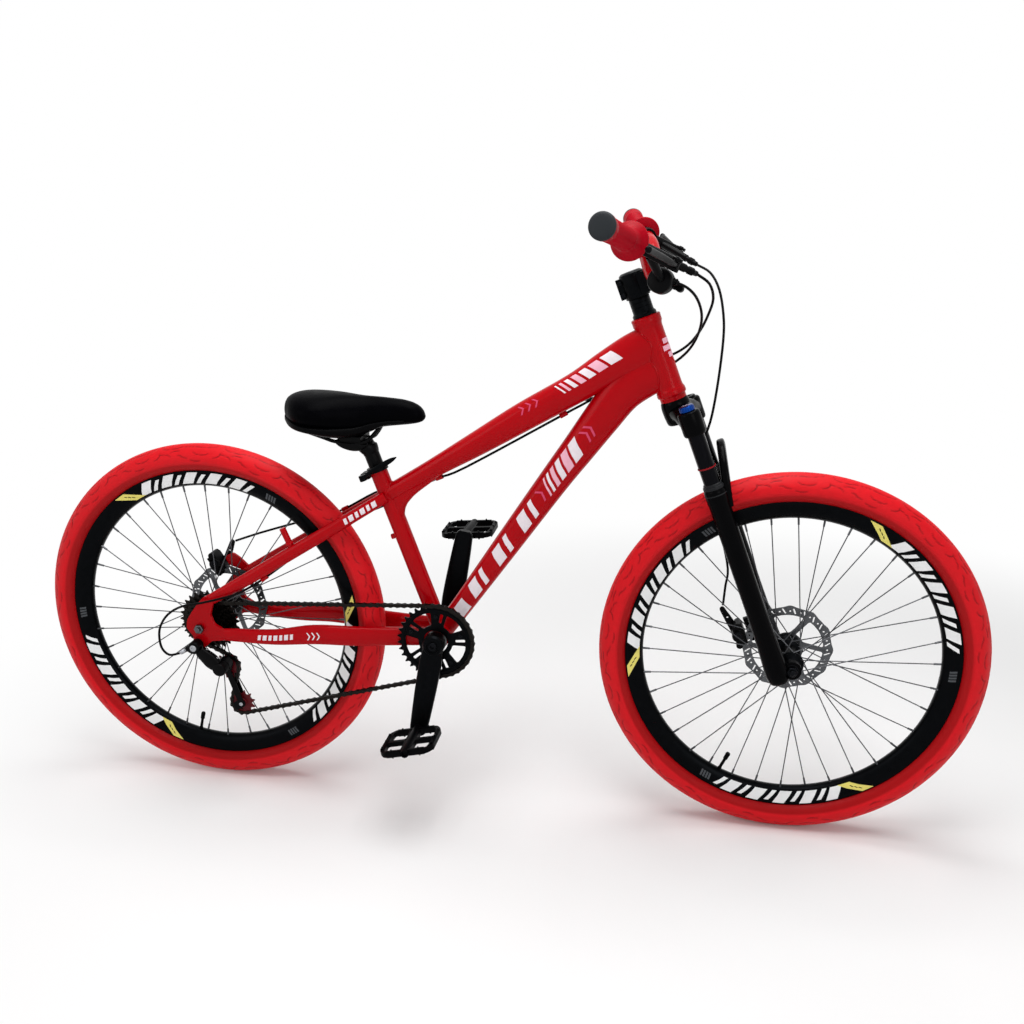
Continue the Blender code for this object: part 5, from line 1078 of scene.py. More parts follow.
# %% Stays and dropouts
def make_stays(word, side):
    """One side's chainstay with its dropout, and its seatstay with the rim-brake boss."""
    outline = round_corners([(x, z - WHEEL_RADIUS) for x, z in DROPOUT], 0.004, 3)
    plate = slab(outline, [circle(0.0053, 24)], 0.0066, REAR_AXLE + SIDE * side * 0.071)
    chain_rings = formed_rings(stations(rows_at(CHAINSTAY, side), 5), 24, squareness=2.4)
    seat_rings = formed_rings(stations(rows_at(SEATSTAY, side), 5), 24, squareness=2.2)
    shell_seam = seam(chain_rings[::-1][:14], BRACKET, SIDE, SHELL_RADIUS)
    print(word, "chainstay's seam has", len(shell_seam), "points")
    welds = [bead(shell_seam, 0.0018)] if len(shell_seam) > 20 else []
    piece(f"{word}_chainstay_and_dropout", [skin(chain_rings), plate, *welds], RED_PAINT, "frame",
        [f"chainstay_{word}"], edge=0.0004, sharp=45)
    low, high = at(0.181, side * 0.05, 0.489), at(0.163, side * 0.052, 0.533)
    boss = rod(low, high, 0.0058, 24, 0.0006)
    collar = rod(low.lerp(high, 0.3), low.lerp(high, 0.42), 0.0076, 24, 0.0006)
    parts = [skin(seat_rings), boss, collar]
    if side == LEFT:
        tab = mm((2.6, 412.5), (-6, 429), (11, 438), (25, 429), (43, 412), (40, 401))
        outline = round_corners([(x, z - WHEEL_RADIUS) for x, z in tab], 0.004, 3)
        parts.append(slab(outline, [], 0.0056, REAR_AXLE + SIDE * 0.0645))
    piece(f"{word}_seatstay_with_boss", parts, RED_PAINT, "frame", [f"seatstay_{word}"], sharp=45)


for word, side in SIDES:
    make_stays(word, side)
nuts = []
for side in (-1, 1):
    outward = SIDE * side
    nuts += [hex_nut(REAR_AXLE + outward * 0.0752, outward, 0.0092, 0.0074),
        rod(REAR_AXLE + outward * 0.07, REAR_AXLE + outward * 0.0876, 0.0047, 20, 0.0008)]
piece("rear_axle_and_nuts", nuts + [pin(REAR_AXLE, SIDE, 0.07, 0.0047, 20)], ROTOR_STEEL, "frame",
    ["rear_axle"], edge=0.0003)

# %% [markdown]
# ## Prints on the tubes
# The tubes carry plain decoration: slanted bars, some in rows that grow longer, and small chevrons,
# in white, pale pink and rose. Each print is a thin patch that follows the tube's own section a
# third of a millimetre off it, so it lies flush at any angle of view.

# %% Prints that follow a tube
def tube_runs(table):
    """The distance along a formed tube to each of its rows, and its direction there."""
    centres = [Vector(row[:3]) for row in table]
    reach = np.cumsum([0.0] + [(b - a).length for a, b in zip(centres, centres[1:])])
    last = len(centres) - 1
    ways = [(centres[min(i + 1, last)] - centres[max(i - 1, 0)]).normalized() for i in range(last + 1)]
    return reach, ways


def flank_point(table, runs, squareness, side, along, round_, grow=0.0003):
    """A point on the tube: metres along it, and metres round it from the middle of its flank."""
    reach, ways = runs
    index = int(np.clip(np.searchsorted(reach, along, side="right") - 1, 0, len(table) - 2))
    share = (along - reach[index]) / (reach[index + 1] - reach[index])
    row = table[index] * (1 - share) + table[index + 1] * share
    way = ways[index].lerp(ways[index + 1], share).normalized()
    across = (SIDE - way * SIDE.dot(way)).normalized()
    up = way.cross(across)
    angle = round_ / ((row[3] + row[4]) / 2)
    return (Vector(row[:3]) + across * squared(cos(angle) * side, 2 / squareness) * (row[4] + grow)
        + up * squared(sin(angle), 2 / squareness) * (row[3] + grow))


def print_sheet(table, squareness, side, corners):
    """A four-cornered print, divided finely enough to bend with the tube."""
    runs = tube_runs(table)
    spans = [max(c[k] for c in corners) - min(c[k] for c in corners) for k in (0, 1)]
    steps = (max(1, ceil(spans[0] / 0.006)), max(1, ceil(spans[1] / 0.0025)))
    (x0, y0), (x1, y1), (x2, y2), (x3, y3) = corners
    bm = bmesh.new()
    grid = []
    for i in range(steps[0] + 1):
        u = i / steps[0]
        row = []
        for j in range(steps[1] + 1):
            v = j / steps[1]
            x = (x0 * (1 - u) + x1 * u) * (1 - v) + (x3 * (1 - u) + x2 * u) * v
            y = (y0 * (1 - u) + y1 * u) * (1 - v) + (y3 * (1 - u) + y2 * u) * v
            row.append(bm.verts.new(flank_point(table, runs, squareness, side, x, y)))
        grid.append(row)
    for i in range(steps[0]):
        for j in range(steps[1]):
            face = (grid[i][j], grid[i + 1][j], grid[i + 1][j + 1], grid[i][j + 1])
            bm.faces.new(face if side < 0 else face[::-1])
    return bm


# %% Motifs, in metres along the tube and round it
def bar(x, y, length, height, slant=0.0):
    half, tall = length / 2, height / 2
    return [(x - half - slant / 2, y - tall), (x + half - slant / 2, y - tall),
        (x + half + slant / 2, y + tall), (x - half + slant / 2, y + tall)]


def chevron(x, y, length, tall, line):
    """An arrow head that points to +x, as its two arms."""
    return [[(x - length, y - tall), (x - length + line, y - tall), (x + line, y), (x, y)],
        [(x, y), (x + line, y), (x - length + line, y + tall), (x - length, y + tall)]]


def graded_bars(start, y, lengths, gap, height, slant):
    """A row of slanted bars, each with its own length."""
    shapes, x = [], start
    for length in lengths:
        shapes.append(bar(x + length / 2, y, length, height, slant))
        x += length + gap
    return shapes


TOP_TABLE, DOWN_TABLE = stations(TOP_TUBE, 6), stations(DOWN_TUBE, 6)


def print_on(name, look, table, shapes, squareness=2.3):
    """One print, on both flanks of a tube."""
    piece(name, [print_sheet(table, squareness, side, shape) for side in (-1, 1) for shape in shapes],
        look, "frame")


blocks = [bar(start + middle, 0.001, length, 0.025, 0.013) for start in (0.104, 0.183, 0.262) for middle,
    length in ((0.016, 0.023), (0.044, 0.011))]
fading = graded_bars(0.352, 0.004, [0.004, 0.006, 0.009, 0.012, 0.016, 0.02], 0.0055, 0.026, 0.016)
print_on("white_prints_down_tube", WHITE_PRINT, DOWN_TABLE, [*blocks,
    bar(0.073, -0.003, 0.026, 0.024, 0.004), *fading[1::2]])
print_on("pink_prints_down_tube", PINK_PRINT, DOWN_TABLE, fading[::2])
print_on("rose_chevrons_down_tube", ROSE_PRINT, DOWN_TABLE, [arm for x in (0.338, 0.47, 0.482)
    for arm in chevron(x, 0.004, 0.008, 0.01, 0.0042)])
fading = graded_bars(0.372, 0.012, [0.003, 0.005, 0.008, 0.011, 0.014, 0.018, 0.022], 0.0055, 0.02, -0.012)
print_on("white_prints_top_tube", WHITE_PRINT, TOP_TABLE, fading[::2])
print_on("pink_prints_top_tube", PINK_PRINT, TOP_TABLE, fading[1::2])
print_on("rose_chevrons_top_tube", ROSE_PRINT, TOP_TABLE, [arm for x in (0.3, 0.314, 0.328)
    for arm in chevron(x, 0.012, 0.007, 0.008, 0.0036)])

# Three pale bars stacked on the front of the head tube.
parts = []
for low, spread in ((0.572, 0.7), (0.584, 1.0), (0.596, 0.85)):
    bm = bmesh.new()
    rows = [[bm.verts.new(on_fork(level) + (STEER_FORWARD * cos(a) + SIDE * sin(a)) * (HEAD_RADIUS
        + 0.0003)) for a in np.linspace(-spread, spread, 17)] for level in (low, low + 0.0085)]
    for k in range(16):
        bm.faces.new((rows[0][k], rows[0][k + 1], rows[1][k + 1], rows[1][k]))
    parts.append(bm)
piece("head_tube_bars", parts, PINK_PRINT, "frame")


# %% Small prints on the stays, and the cable guides
for word, side in SIDES:
    chain_table = stations(rows_at(CHAINSTAY, side), 5)
    seat_table = stations(rows_at(SEATSTAY, side), 5)
    shapes = [bar(0.088 + 0.0102 * k, 0.001, 0.0074 if k % 2 else 0.0056, 0.0064, 0.002) for k in range(7)]
    shapes += [arm for x in (0.182, 0.191, 0.2) for arm in chevron(x, 0.0, 0.0045, 0.0045, 0.0026)]
    piece(f"chainstay_print_{word}", [print_sheet(chain_table, 2.4, side, shape) for shape in shapes],
        WHITE_PRINT, "frame")
    shapes = [bar(0.315 + 0.0118 * k, 0.0, 0.009 if k % 2 else 0.006, 0.0088, 0.002) for k in range(6)]
    piece(f"seatstay_print_{word}", [print_sheet(seat_table, 2.2, side, shape) for shape in shapes],
        WHITE_PRINT, "frame")


def cable_guide(path, place, toward):
    """A small sleeve round a cable, with the post that carries it on the tube."""
    index = min(range(1, len(path) - 1), key=lambda near: (path[near] - at(*place)).length)
    way = (path[index + 1] - path[index - 1]).normalized()
    centre = path[index]
    sleeve = hoop(mm((2.4, -7), (4.2, -7), (4.2, 7), (2.4, 7)), centre, way, 20)
    return [sleeve, rod(centre + toward * (CABLE_RADIUS + 0.0006), centre + toward * 0.011, 0.0024, 12)]


guides = []
for path, place, toward in ((REAR_PATH, (0.661, 0.006, 0.75), (-0.35, -0.1, 0.93)),
        (REAR_PATH, (0.44, 0.0085, 0.626), (-0.35, -0.1, 0.93)), (SHIFT_PATH, (0.661, 0.0228, 0.761),
        (-0.2, -0.6, 0.78)), (SHIFT_PATH, (0.444, 0.0205, 0.639), (-0.2, -0.6, 0.78)),
        (REAR_PATH, (0.25, 0.045, 0.547), (0.1, -0.2, -0.97)), (SHIFT_PATH, (0.25, -0.032, 0.5225),
        (0.1, -0.95, 0.3)), (SHIFT_PATH, (0.125, -0.056, 0.436), (-0.2, -0.25, 0.95))):
    guides += cable_guide(path, place, Vector(toward).normalized())
piece("cable_guides", guides, RED_PAINT, "frame", edge=0.0003)

# %% [markdown]
# ## Seat post clamp
# A split collar with a quick-release lever squeezes the top of the seat tube. The lever is forged,
# so it is thickest in the middle and thin at its tip.

# %% Collar and lever
spot = 0.3215
collar = hoop(mm((14.1, 332.5), (18.4, 332.5), (19.2, 331.7), (19.2, 322.8), (18.4, 322), (16, 322)),
    on_seat_tube(0), SEAT_UP, 44)
ears = [brick((0.014, 0.011, 0.013), on_seat_tube(spot, -0.0235, y), SEAT_UP) for y in (-0.0068, 0.0068)]
nut = rod(on_seat_tube(spot, -0.025, 0.012), on_seat_tube(spot, -0.025, 0.0208), 0.0055, 24, 0.0008)
bolt = rod(on_seat_tube(spot, -0.025, -0.012), on_seat_tube(spot, -0.025, 0.013), 0.0025, 14)
piece("seat_clamp_collar_turned", [collar, *ears, nut, bolt], BLACK_ALLOY, "frame", ["seat_clamp_collar"],
    edge=0.0006)
pivot = on_seat_tube(spot, -0.025, -0.0205)
tip = at(0.372, -0.03, 0.669)
middle = on_seat_tube(0.329, -0.004, -0.027)
blade = formed([(pivot + Vector((0.002, -0.0015, 0.0)), 0.0036, 0.0022), (middle, 0.0034, 0.002),
    (middle.lerp(tip, 0.5), 0.0048, 0.0018), (middle.lerp(tip, 0.8), 0.004, 0.0016), (tip, 0.001, 0.0012)],
    16)
knob = pin(pivot, SEAT_UP, 0.0055, 0.0068, 28, 0.0009)
piece("quick_release_lever", [knob, blade], BLACK_ALLOY, "seat_clamp_lever", ["seat_clamp_lever"])


# %% [markdown]
# ## The fork
# The crown, the lower legs and their arch are cast, so their edges are round and their walls swell
# where bolts go. The upper tubes are drawn, ground and anodised. Where a leg makes room for the hub
# or the caliper for its rotor, the piece is carved with a round cutter, as a mill does it.

# %% Carved parts
def carved(name, parts, cutters, look, body, nodes=(), edge=0.0, sharp=38):
    """A piece whose parts are joined and then cut by other parts."""
    obj = loose(name, parts, sharp)
    tool = loose(name + "_cutter", cutters)
    cut = obj.modifiers.new("cut", "BOOLEAN")
    cut.object = tool
    cut.operation = "DIFFERENCE"
    cut.solver = "EXACT"
    cut.use_self = True
    mesh = baked(obj)
    obj.modifiers.remove(cut)
    bpy.data.objects.remove(tool)
    mesh.shade_smooth()
    mesh.set_sharp_from_angle(angle=radians(sharp))
    obj.data = mesh
    if edge:
        round_edges(obj, edge)
    return settle(obj, look, body, nodes)


# %% Crown and upper tubes
def leg_foot(side):
    return on_fork(0, LEG_FORWARD, side * LEG_Y)


profile = mm((0, 716), (14.3, 716), (14.3, 500.8), (22.2, 500.8), (23.6, 498), (24.6, 493), (25, 487),
    (24.6, 476), (23.6, 466), (22.6, 462), (20.5, 460.2), (0, 460))
parts = [revolve(profile, on_fork(0), STEER_UP, 48)]
bridge = mm((465, 19.5, -62, 12.5, 18), (476, 12, -33, 13.5, 20), (480, 4, 0, 14, 22),
    (476, 12, 33, 13.5, 20), (465, 19.5, 62, 12.5, 18))
parts.append(formed(laid(bridge, STEER_FOOT, STEER_UP, STEER_FORWARD, SIDE), 28, STEER_FORWARD, 2.6, 6))
cutters = []
for side in (RIGHT, LEFT):
    boss = mm((0, 485), (14, 485), (16.8, 484.2), (18.4, 482.2), (19, 479.5), (19, 449), (18.4, 446.2),
        (17.2, 444.5), (0, 444))
    parts.append(revolve(boss, leg_foot(side), STEER_UP, 44))
    cutters.append(rod(leg_foot(side) + STEER_UP * 0.42, leg_foot(side) + STEER_UP * 0.479, 0.0143, 32))
carved("cast_fork_crown", parts, cutters, FORK_BLACK, "steering", ["fork_crown"])
cap = mm((0, 485), (12.8, 485), (12.8, 487.2), (11.8, 488.4), (6, 488.6), (5.5, 487.2), (0, 487.2))
piece("left_leg_top_cap", [revolve(cap, leg_foot(LEFT), STEER_UP, 36)], BLACK_ALLOY, "steering")

tube_wall = mm((0, 160), (13.5, 160), (14, 160.6), (14, 478.7), (0, 478.7))
for word, side in SIDES:
    piece(f"{word}_upper_tube", [revolve(tube_wall, leg_foot(side), STEER_UP, 44)], STANCHION, "steering",
        [f"stanchion_{word}"])
ring = mm((14, -1), (15, -1.3), (15.6, 0), (15, 1.3), (14, 1))
piece("sag_o_ring", [hoop(ring, leg_foot(RIGHT) + STEER_UP * 0.387, STEER_UP, 40)], RING_RED, "steering")

# The blue knob on the right leg, with a knurled rim and a pointer slot.
foot = leg_foot(RIGHT)
outline = []
for step in range(48):
    angle = tau * step / 48
    radius = 0.0125 - (0.0006 if step % 2 else 0)
    outline.append(polar(radius, angle))
turn = facing(STEER_UP) @ Matrix.Rotation(radians(90), 3, "X")
body = slab(outline, [], 0.007, foot + STEER_UP * 0.4892, turn)
dome = revolve(mm((0, 492.5), (11.9, 492.5), (11.5, 494), (10, 494.9), (0, 495)), foot, STEER_UP, 36)
piece("blue_preload_knob", [body, dome], BLUE_KNOB, "preload_knob", ["preload_knob"], edge=0.0002)
slot = brick((0.012, 0.0016, 0.0006), foot + STEER_UP * 0.49505, STEER_UP)
piece("preload_knob_mark", [slot], WHITE_PRINT, "preload_knob")


# %% Lower legs
LEG_SHAPE = mm((0, 349), (16.5, 349), (17.2, 348.4), (18.4, 345.2), (18.7, 343), (18.7, 327), (18.4, 324),
    (17.9, 319), (17.7, 300), (17.3, 200), (17, 130), (17.3, 90), (18.1, 55), (19.4, 28), (20.3, 13),
    (20.2, 4), (19.2, -6), (16.5, -12.2), (11, -15.2), (0, -16))


def axle_plate(side):
    outline = []
    for step in range(17):
        angle = radians(-110 + 220 * step / 16)
        outline.append(on_fork(0.0165 * sin(angle), FORK_OFFSET + 0.0165 * cos(angle)))
    outline += [on_fork(0.046, 0.016), on_fork(-0.004, 0.014)]
    flat = [(point.x - FRONT_AXLE.x, point.z - FRONT_AXLE.z) for point in outline]
    return slab(flat, [], 0.0113, FRONT_AXLE + SIDE * side * 0.05575)


def bow(foot, rise, ahead, half, high, wide):
    """Rows of an arch from leg to leg, which leans forward as it rises."""
    spots = [(sin(pi * step / 12) ** 0.7, cos(pi * step / 12)) for step in range(13)]
    return [(on_fork(foot + rise * up, ahead + 0.016 * up, -half * out), high, wide) for up, out in spots]


# Two legs with their axle ends, joined over the wheel by the arch.
parts, cutters = [], []
for side in (RIGHT, LEFT):
    parts += [revolve(LEG_SHAPE, leg_foot(side), STEER_UP, 48), axle_plate(side)]
    outward = SIDE * side
    cutters += [rod(FRONT_AXLE + outward * 0.0617, FRONT_AXLE + outward * 0.1, 0.0115, 32),
        rod(leg_foot(side) + STEER_UP * 0.33, leg_foot(side) + STEER_UP * 0.36, 0.0144, 32)]
cutters += [pin(FRONT_AXLE, SIDE, 0.05, 0.018, 40)]
parts.append(formed(bow(0.312, 0.091, 0.034, 0.06, 0.008, 0.007), 20, STEER_FORWARD, 3.4, 3))
tab = brick((0.0206, 0.008, 0.046), on_fork(0.048, -0.0044, 0.055), STEER_UP)
carved("cast_fork_lowers", parts + [tab], cutters, FORK_BLACK, "lowers", ["fork_lowers"], edge=0.0006,
    sharp=45)
rib = bow(0.32, 0.072, 0.0335, 0.049, 0.0016, 0.005)
piece("arch_inner_rib", [formed(rib, 10, STEER_FORWARD, 2.6, 3)], FORK_BLACK, "lowers")

for word, side in SIDES:
    foot = leg_foot(side)
    seal = mm((14.2, 346), (16.8, 349.2), (17.6, 349.4), (17.7, 353), (17, 354.5), (16, 355), (15.6, 358),
        (14.2, 359))
    ring = mm((18.6, 338.5), (19.1, 338.8), (19.1, 340.2), (18.6, 340.5))
    piece(f"{word}_wiper_seal", [hoop(seal, foot, STEER_UP, 44), hoop(ring, foot, STEER_UP, 44)],
        SEAL_GREY, "lowers")


parts = [pin(FRONT_AXLE, SIDE, 0.0728, 0.0047, 24, 0.0008)]
for side in (-1, 1):
    parts.append(hex_nut(FRONT_AXLE + SIDE * side * 0.062, SIDE * side, 0.0094, 0.0068))
    parts.append(hoop(mm((4.9, 0), (11.2, 0), (11.2, 1), (4.9, 1)), FRONT_AXLE + SIDE * side * 0.0612,
        SIDE * side, 32))
piece("front_axle_and_nuts", parts, BOLT_STEEL, "lowers", ["front_axle"], edge=0.0003)


# %% [markdown]
# ## Disc brakes
# A mechanical caliper straddles the rotor with a slot. Its arm turns on the outside, pulled by the
# cable, and two bolts hold the caliper to the frame or to the fork.

# %% Calipers
def make_caliper(word, body, centre, along, rotor_y, wheel_centre, pivot, tip):
    """The slotted body with its bolts and pad screw, and the cable arm on its own joint."""
    across = SIDE.cross(along).normalized()
    housing = brick((0.019, 0.027, 0.036), centre + across * 0.002, along)
    barrel = pin(centre, SIDE, 0.015, 0.012, 40, 0.0012)
    cutters = [rod(wheel_centre + SIDE * (rotor_y - 0.0022), wheel_centre + SIDE * (rotor_y + 0.0022),
        0.0815, 96)]
    cutters += [pin(spot, SIDE, 0.05, 0.0028, 20) for spot in (centre + along * 0.0095 - across * 0.0015,
        centre - along * 0.0095 + across * 0.005)]
    ears = [centre + along * 0.0178 * way + across * 0.004 * way for way in (-1, 1)]
    wings = [pin(ear, SIDE, 0.0149, 0.0062, 28, 0.0008) for ear in ears]
    carved(f"{word}_brake_caliper_body", [housing, barrel, *wings], cutters, CAST_BLACK, body,
        [f"{word}_caliper"], edge=0.0012)
    bolts = [socket_bolt(ear + SIDE * 0.0148, SIDE, 0.004, 0.0006) for ear in ears]
    bolts += [socket_bolt(centre - SIDE * 0.0149 + along * 0.002, -SIDE, 0.007, 0.0012)]
    piece(f"{word}_caliper_bolts", bolts, BOLT_STEEL, body)
    arm_y = centre.y + 0.0175
    base, end = Vector((pivot.x, arm_y, pivot.z)), Vector((tip.x, arm_y, tip.z))
    x, z = end.x - base.x, end.z - base.z
    arm = slab(capsule((0, 0), (x, z), 0.0083, 0.0048), [circle(0.0018, 16, (x * 0.62, z * 0.62))], 0.0036,
        base)
    hub = revolve(mm((0, 1), (6.8, 1), (6.8, 2), (5.6, 2.6), (0, 2.6)), base + SIDE * 0.0002, SIDE, 32)
    clamp = hex_nut(end + SIDE * 0.001, SIDE, 0.004, 0.0018)
    piece(f"{word}_brake_arm", [arm, hub, clamp], CAST_BLACK, f"{word}_caliper_arm",
        [f"{word}_caliper_arm"], edge=0.0004)


make_caliper("front", "lowers", on_fork(0.048, -0.03, 0.046), STEER_UP, 0.04, FRONT_AXLE,
    on_fork(0.048, -0.035), on_fork(0.095, -0.045))
make_caliper("rear", "frame", at(-0.02, 0.06, 0.417), Vector((-0.57, 0, 0.82)).normalized(), 0.054,
    REAR_AXLE, at(-0.012, 0, 0.41), at(0.005, 0, 0.455))

# %% [markdown]
# ## Stem and handlebar
# The stem is forged and milled, with flat cheeks and a split clamp that four bolts draw together.
# The bar is a butted tube: it is bent in two gentle steps and painted like the frame.

# %% Headset spacers and stem
BAR_CLAMP = on_fork(0.702, 0.038)

profile = mm((14.4, 648.2), (19.9, 648.2), (20.1, 649), (20, 652), (18, 654.5), (17.5, 656), (17.5, 663.7),
    (17.1, 664.1), (17.1, 664.5), (17.5, 664.9), (17.5, 671.7), (17.1, 672.1), (17.1, 672.5),
    (17.5, 672.9), (17.5, 679.4), (17.2, 679.8), (14.4, 679.8))
piece("stacked_headset_spacers", [hoop(profile, on_fork(0), STEER_UP, 48)], BLACK_ALLOY, "steering",
    ["headset_spacers"])

body = revolve(mm((0, 724), (15.8, 724), (17.2, 723.2), (20, 721.2), (20.5, 719.5), (20.5, 681.5),
    (20, 680.5), (14.4, 680.5), (14.4, 716.5), (0, 716.5)), on_fork(0), STEER_UP, 48)
neck = brick((0.026, 0.04, 0.034), on_fork(0.701, 0.021), STEER_UP)
pinch = brick((0.01, 0.02, 0.034), on_fork(0.701, -0.022), STEER_UP)
clamp = pin(BAR_CLAMP, SIDE, 0.0235, 0.0205, 48, 0.0008)
room = pin(BAR_CLAMP, SIDE, 0.05, 0.013, 40)
front = brick((0.04, 0.08, 0.08), BAR_CLAMP + STEER_FORWARD * 0.021, STEER_UP)
steerer_room = rod(on_fork(0.67), on_fork(0.7165), 0.0146, 40)
slit = brick((0.03, 0.0012, 0.04), on_fork(0.6995, -0.02), STEER_UP)
pocket = [brick((0.016, 0.002, 0.01), on_fork(0.702, 0.021, y), STEER_UP) for y in (-0.02, 0.02)]
carved("forged_stem", [body, neck, pinch, clamp], [room, front, steerer_room, slit, *pocket], BLACK_ALLOY,
    "steering", ["stem"], edge=0.001)
plate = pin(BAR_CLAMP, SIDE, 0.0235, 0.0205, 48, 0.0008)
rear = brick((0.04, 0.08, 0.08), BAR_CLAMP - STEER_FORWARD * 0.0185, STEER_UP)
window = brick((0.05, 0.018, 0.013), BAR_CLAMP + STEER_FORWARD * 0.02, STEER_UP)
room = pin(BAR_CLAMP, SIDE, 0.05, 0.013, 40)
carved("stem_faceplate_milled", [plate], [rear, window, room], BLACK_ALLOY, "steering", ["stem_faceplate"],
    edge=0.0006)
bolts = [socket_bolt(BAR_CLAMP + STEER_FORWARD * 0.0125 + STEER_UP * high * 0.0155 + SIDE * y,
    STEER_FORWARD, 0.0036, 0.0032) for high in (-1, 1) for y in (-0.0165, 0.0165)]
bolts += [socket_bolt(on_fork(0.701 + high * 0.01, -0.0215, -0.01), -SIDE, 0.0034, 0.0026)
    for high in (-1, 1)]
bolts += [socket_bolt(on_fork(0.7222), STEER_UP, 0.005, 0.0017)]
piece("stem_bolts", bolts, BOLT_STEEL, "steering")


# %% Handlebar
def bar_axis(side):
    """The outer end of the bar, the grip's flange, and the direction inward between them."""
    end, flange = at(0.7475, side * 0.345, 1.07), at(0.776, side * 0.215, 1.047)
    return end, flange, (flange - end).normalized()


def bar_route():
    end, flange, inward = bar_axis(RIGHT)
    inner = flange + inward * 0.06
    low = Vector((BAR_CLAMP.x - 0.001, -0.062, BAR_CLAMP.z + 0.003))
    return [end, end.lerp(flange, 0.5), flange, inner, inner.lerp(low, 0.3) + Vector((0.001, 0, 0.004)),
        inner.lerp(low, 0.72), low, Vector((BAR_CLAMP.x, -0.04, BAR_CLAMP.z)),
        Vector((BAR_CLAMP.x, -0.02, BAR_CLAMP.z)), BAR_CLAMP]


right_half = bar_route()
left_half = [Vector((p.x, -p.y, p.z)) for p in reversed(right_half[:-1])]
points = [Vector(p) for p in faired([tuple(p) for p in right_half + left_half], 6)]
radii = [0.0111 + 0.0016 * max(0.0, min(1.0, (0.16 - abs(p.y)) / 0.09)) for p in points]
piece("riser_handlebar", [tube(points, radii, 32)], RED_PAINT, "steering", ["handlebar"])


# %% [markdown]
# ## Grips
# A moulded rubber grip has a wide flange for the thumb and fine ribs round its middle. A grey
# plug is pressed into its outer end.

# %% Grips and end plugs
GRIP_LENGTH, GRIP_RIBS = 0.13, 44


def make_grip(word, side):
    end, _, inward = bar_axis(side)
    flange = mm((11.8, 3.6), (26.2, 3.6), (28, 2.2), (28.4, 0.8), (28, -0.8), (26.2, -2.8), (22.2, -5.8),
        (19, -10), (17.6, -15), (17, -20))
    profile = [(0.0118, -0.0006), *up_by(GRIP_LENGTH, flange)]
    for step in range(GRIP_RIBS + 1):
        share = step / GRIP_RIBS
        rib = 0.0005 if step % 2 else -0.0003
        profile.append((0.0168 - 0.0006 * sin(pi * share) + rib, GRIP_LENGTH - 0.022 - share * 0.09))
    profile += mm((17, 14), (18, 9), (18.8, 4), (19, 1), (18.6, -0.6))
    piece(f"{word}_moulded_grip", [hoop(profile, end, inward, 64)], GRIP_RED, "steering", [f"grip_{word}"])
    plug = mm((0, -1), (18.6, -1), (19.1, -1.6), (19.1, -4), (18.4, -5.8), (16.4, -7.2), (12, -8),
        (0, -8.4))
    piece(f"{word}_bar_end_plug", [revolve(plug, end, inward, 56)], GRIP_CAP, "steering")


for word, side in SIDES:
    make_grip(word, side)

# %% [markdown]
# ## Brake levers and shifter
# Each lever pivots in a slotted bracket that clamps the bar next to the grip. The barrel at its
# front end takes the cable. The shifter hangs below the right bracket, round like a small watch.

# %% Brackets and levers
LEVER_AXIS = Vector((0.403, 0, 0.915)).normalized()
LEVER_PULL = Vector((0.915, 0, -0.403)).normalized()
LEVER_ROUTE = mm((840, 190, 1015.5), (836, 206, 1018), (822, 245, 1028), (811, 282, 1036), (806, 305, 1040))


def lever_points(side):
    return [at(x, side * y, z) for x, y, z in LEVER_ROUTE]


def barrel_parts(side):
    """The threaded adjuster with its knurled ring, in line with the cable."""
    foot, tip = BARREL[side]
    way = (tip - foot).normalized()
    length = (tip - foot).length
    profile = [(0, 0), (0.0062, 0), (0.0062, length - 0.026), (0.0048, length - 0.025),
        (0.0048, length - 0.019)]
    for index in range(4):
        place = length - 0.018 + index * 0.0024
        profile += [(0.006, place), (0.006, place + 0.0012), (0.0055, place + 0.0018)]
    profile += [(0.0044, length - 0.007), (0.004, length - 0.0004), (0, length)]
    return [revolve(profile, foot, way, 28)]


def make_bracket(word, side):
    _, flange, inward = bar_axis(side)
    centre = flange + inward * 0.03
    ring = hoop(mm((11.7, 7.3), (15, 7.3), (15.8, 6.6), (15.8, -6.6), (15, -7.3), (11.7, -7.3)), centre,
        inward, 40)
    pivot = lever_points(side)[0]
    arm = formed([(at(0.796, side * 0.186, 1.036), 0.0095, 0.0075),
        (at(0.815, side * 0.188, 1.027), 0.0098, 0.008), (pivot, 0.0095, 0.0075)], 20, SIDE, 3.0, 4)
    ears = pin(pivot, LEVER_AXIS, 0.01, 0.0088, 32, 0.0008)
    bolt_ear = pin(centre - LEVER_PULL * 0.0175, LEVER_AXIS, 0.006, 0.0042, 20, 0.0006)
    parts = [ring, arm, ears, bolt_ear, *barrel_parts(side)]
    if side == RIGHT:
        parts += shifter_body()
    cutters = [pin(pivot, LEVER_AXIS, 0.0049, 0.0122, 32)]
    carved(f"{word}_lever_bracket_cast", parts, cutters, CAST_BLACK, "steering",
        [f"brake_lever_bracket_{word}"], edge=0.0004)
    bolt = socket_bolt(pivot + LEVER_AXIS * 0.0098, LEVER_AXIS, 0.0038, 0.0016)
    piece(f"{word}_lever_pivot_bolt", [bolt], BOLT_STEEL, "steering")


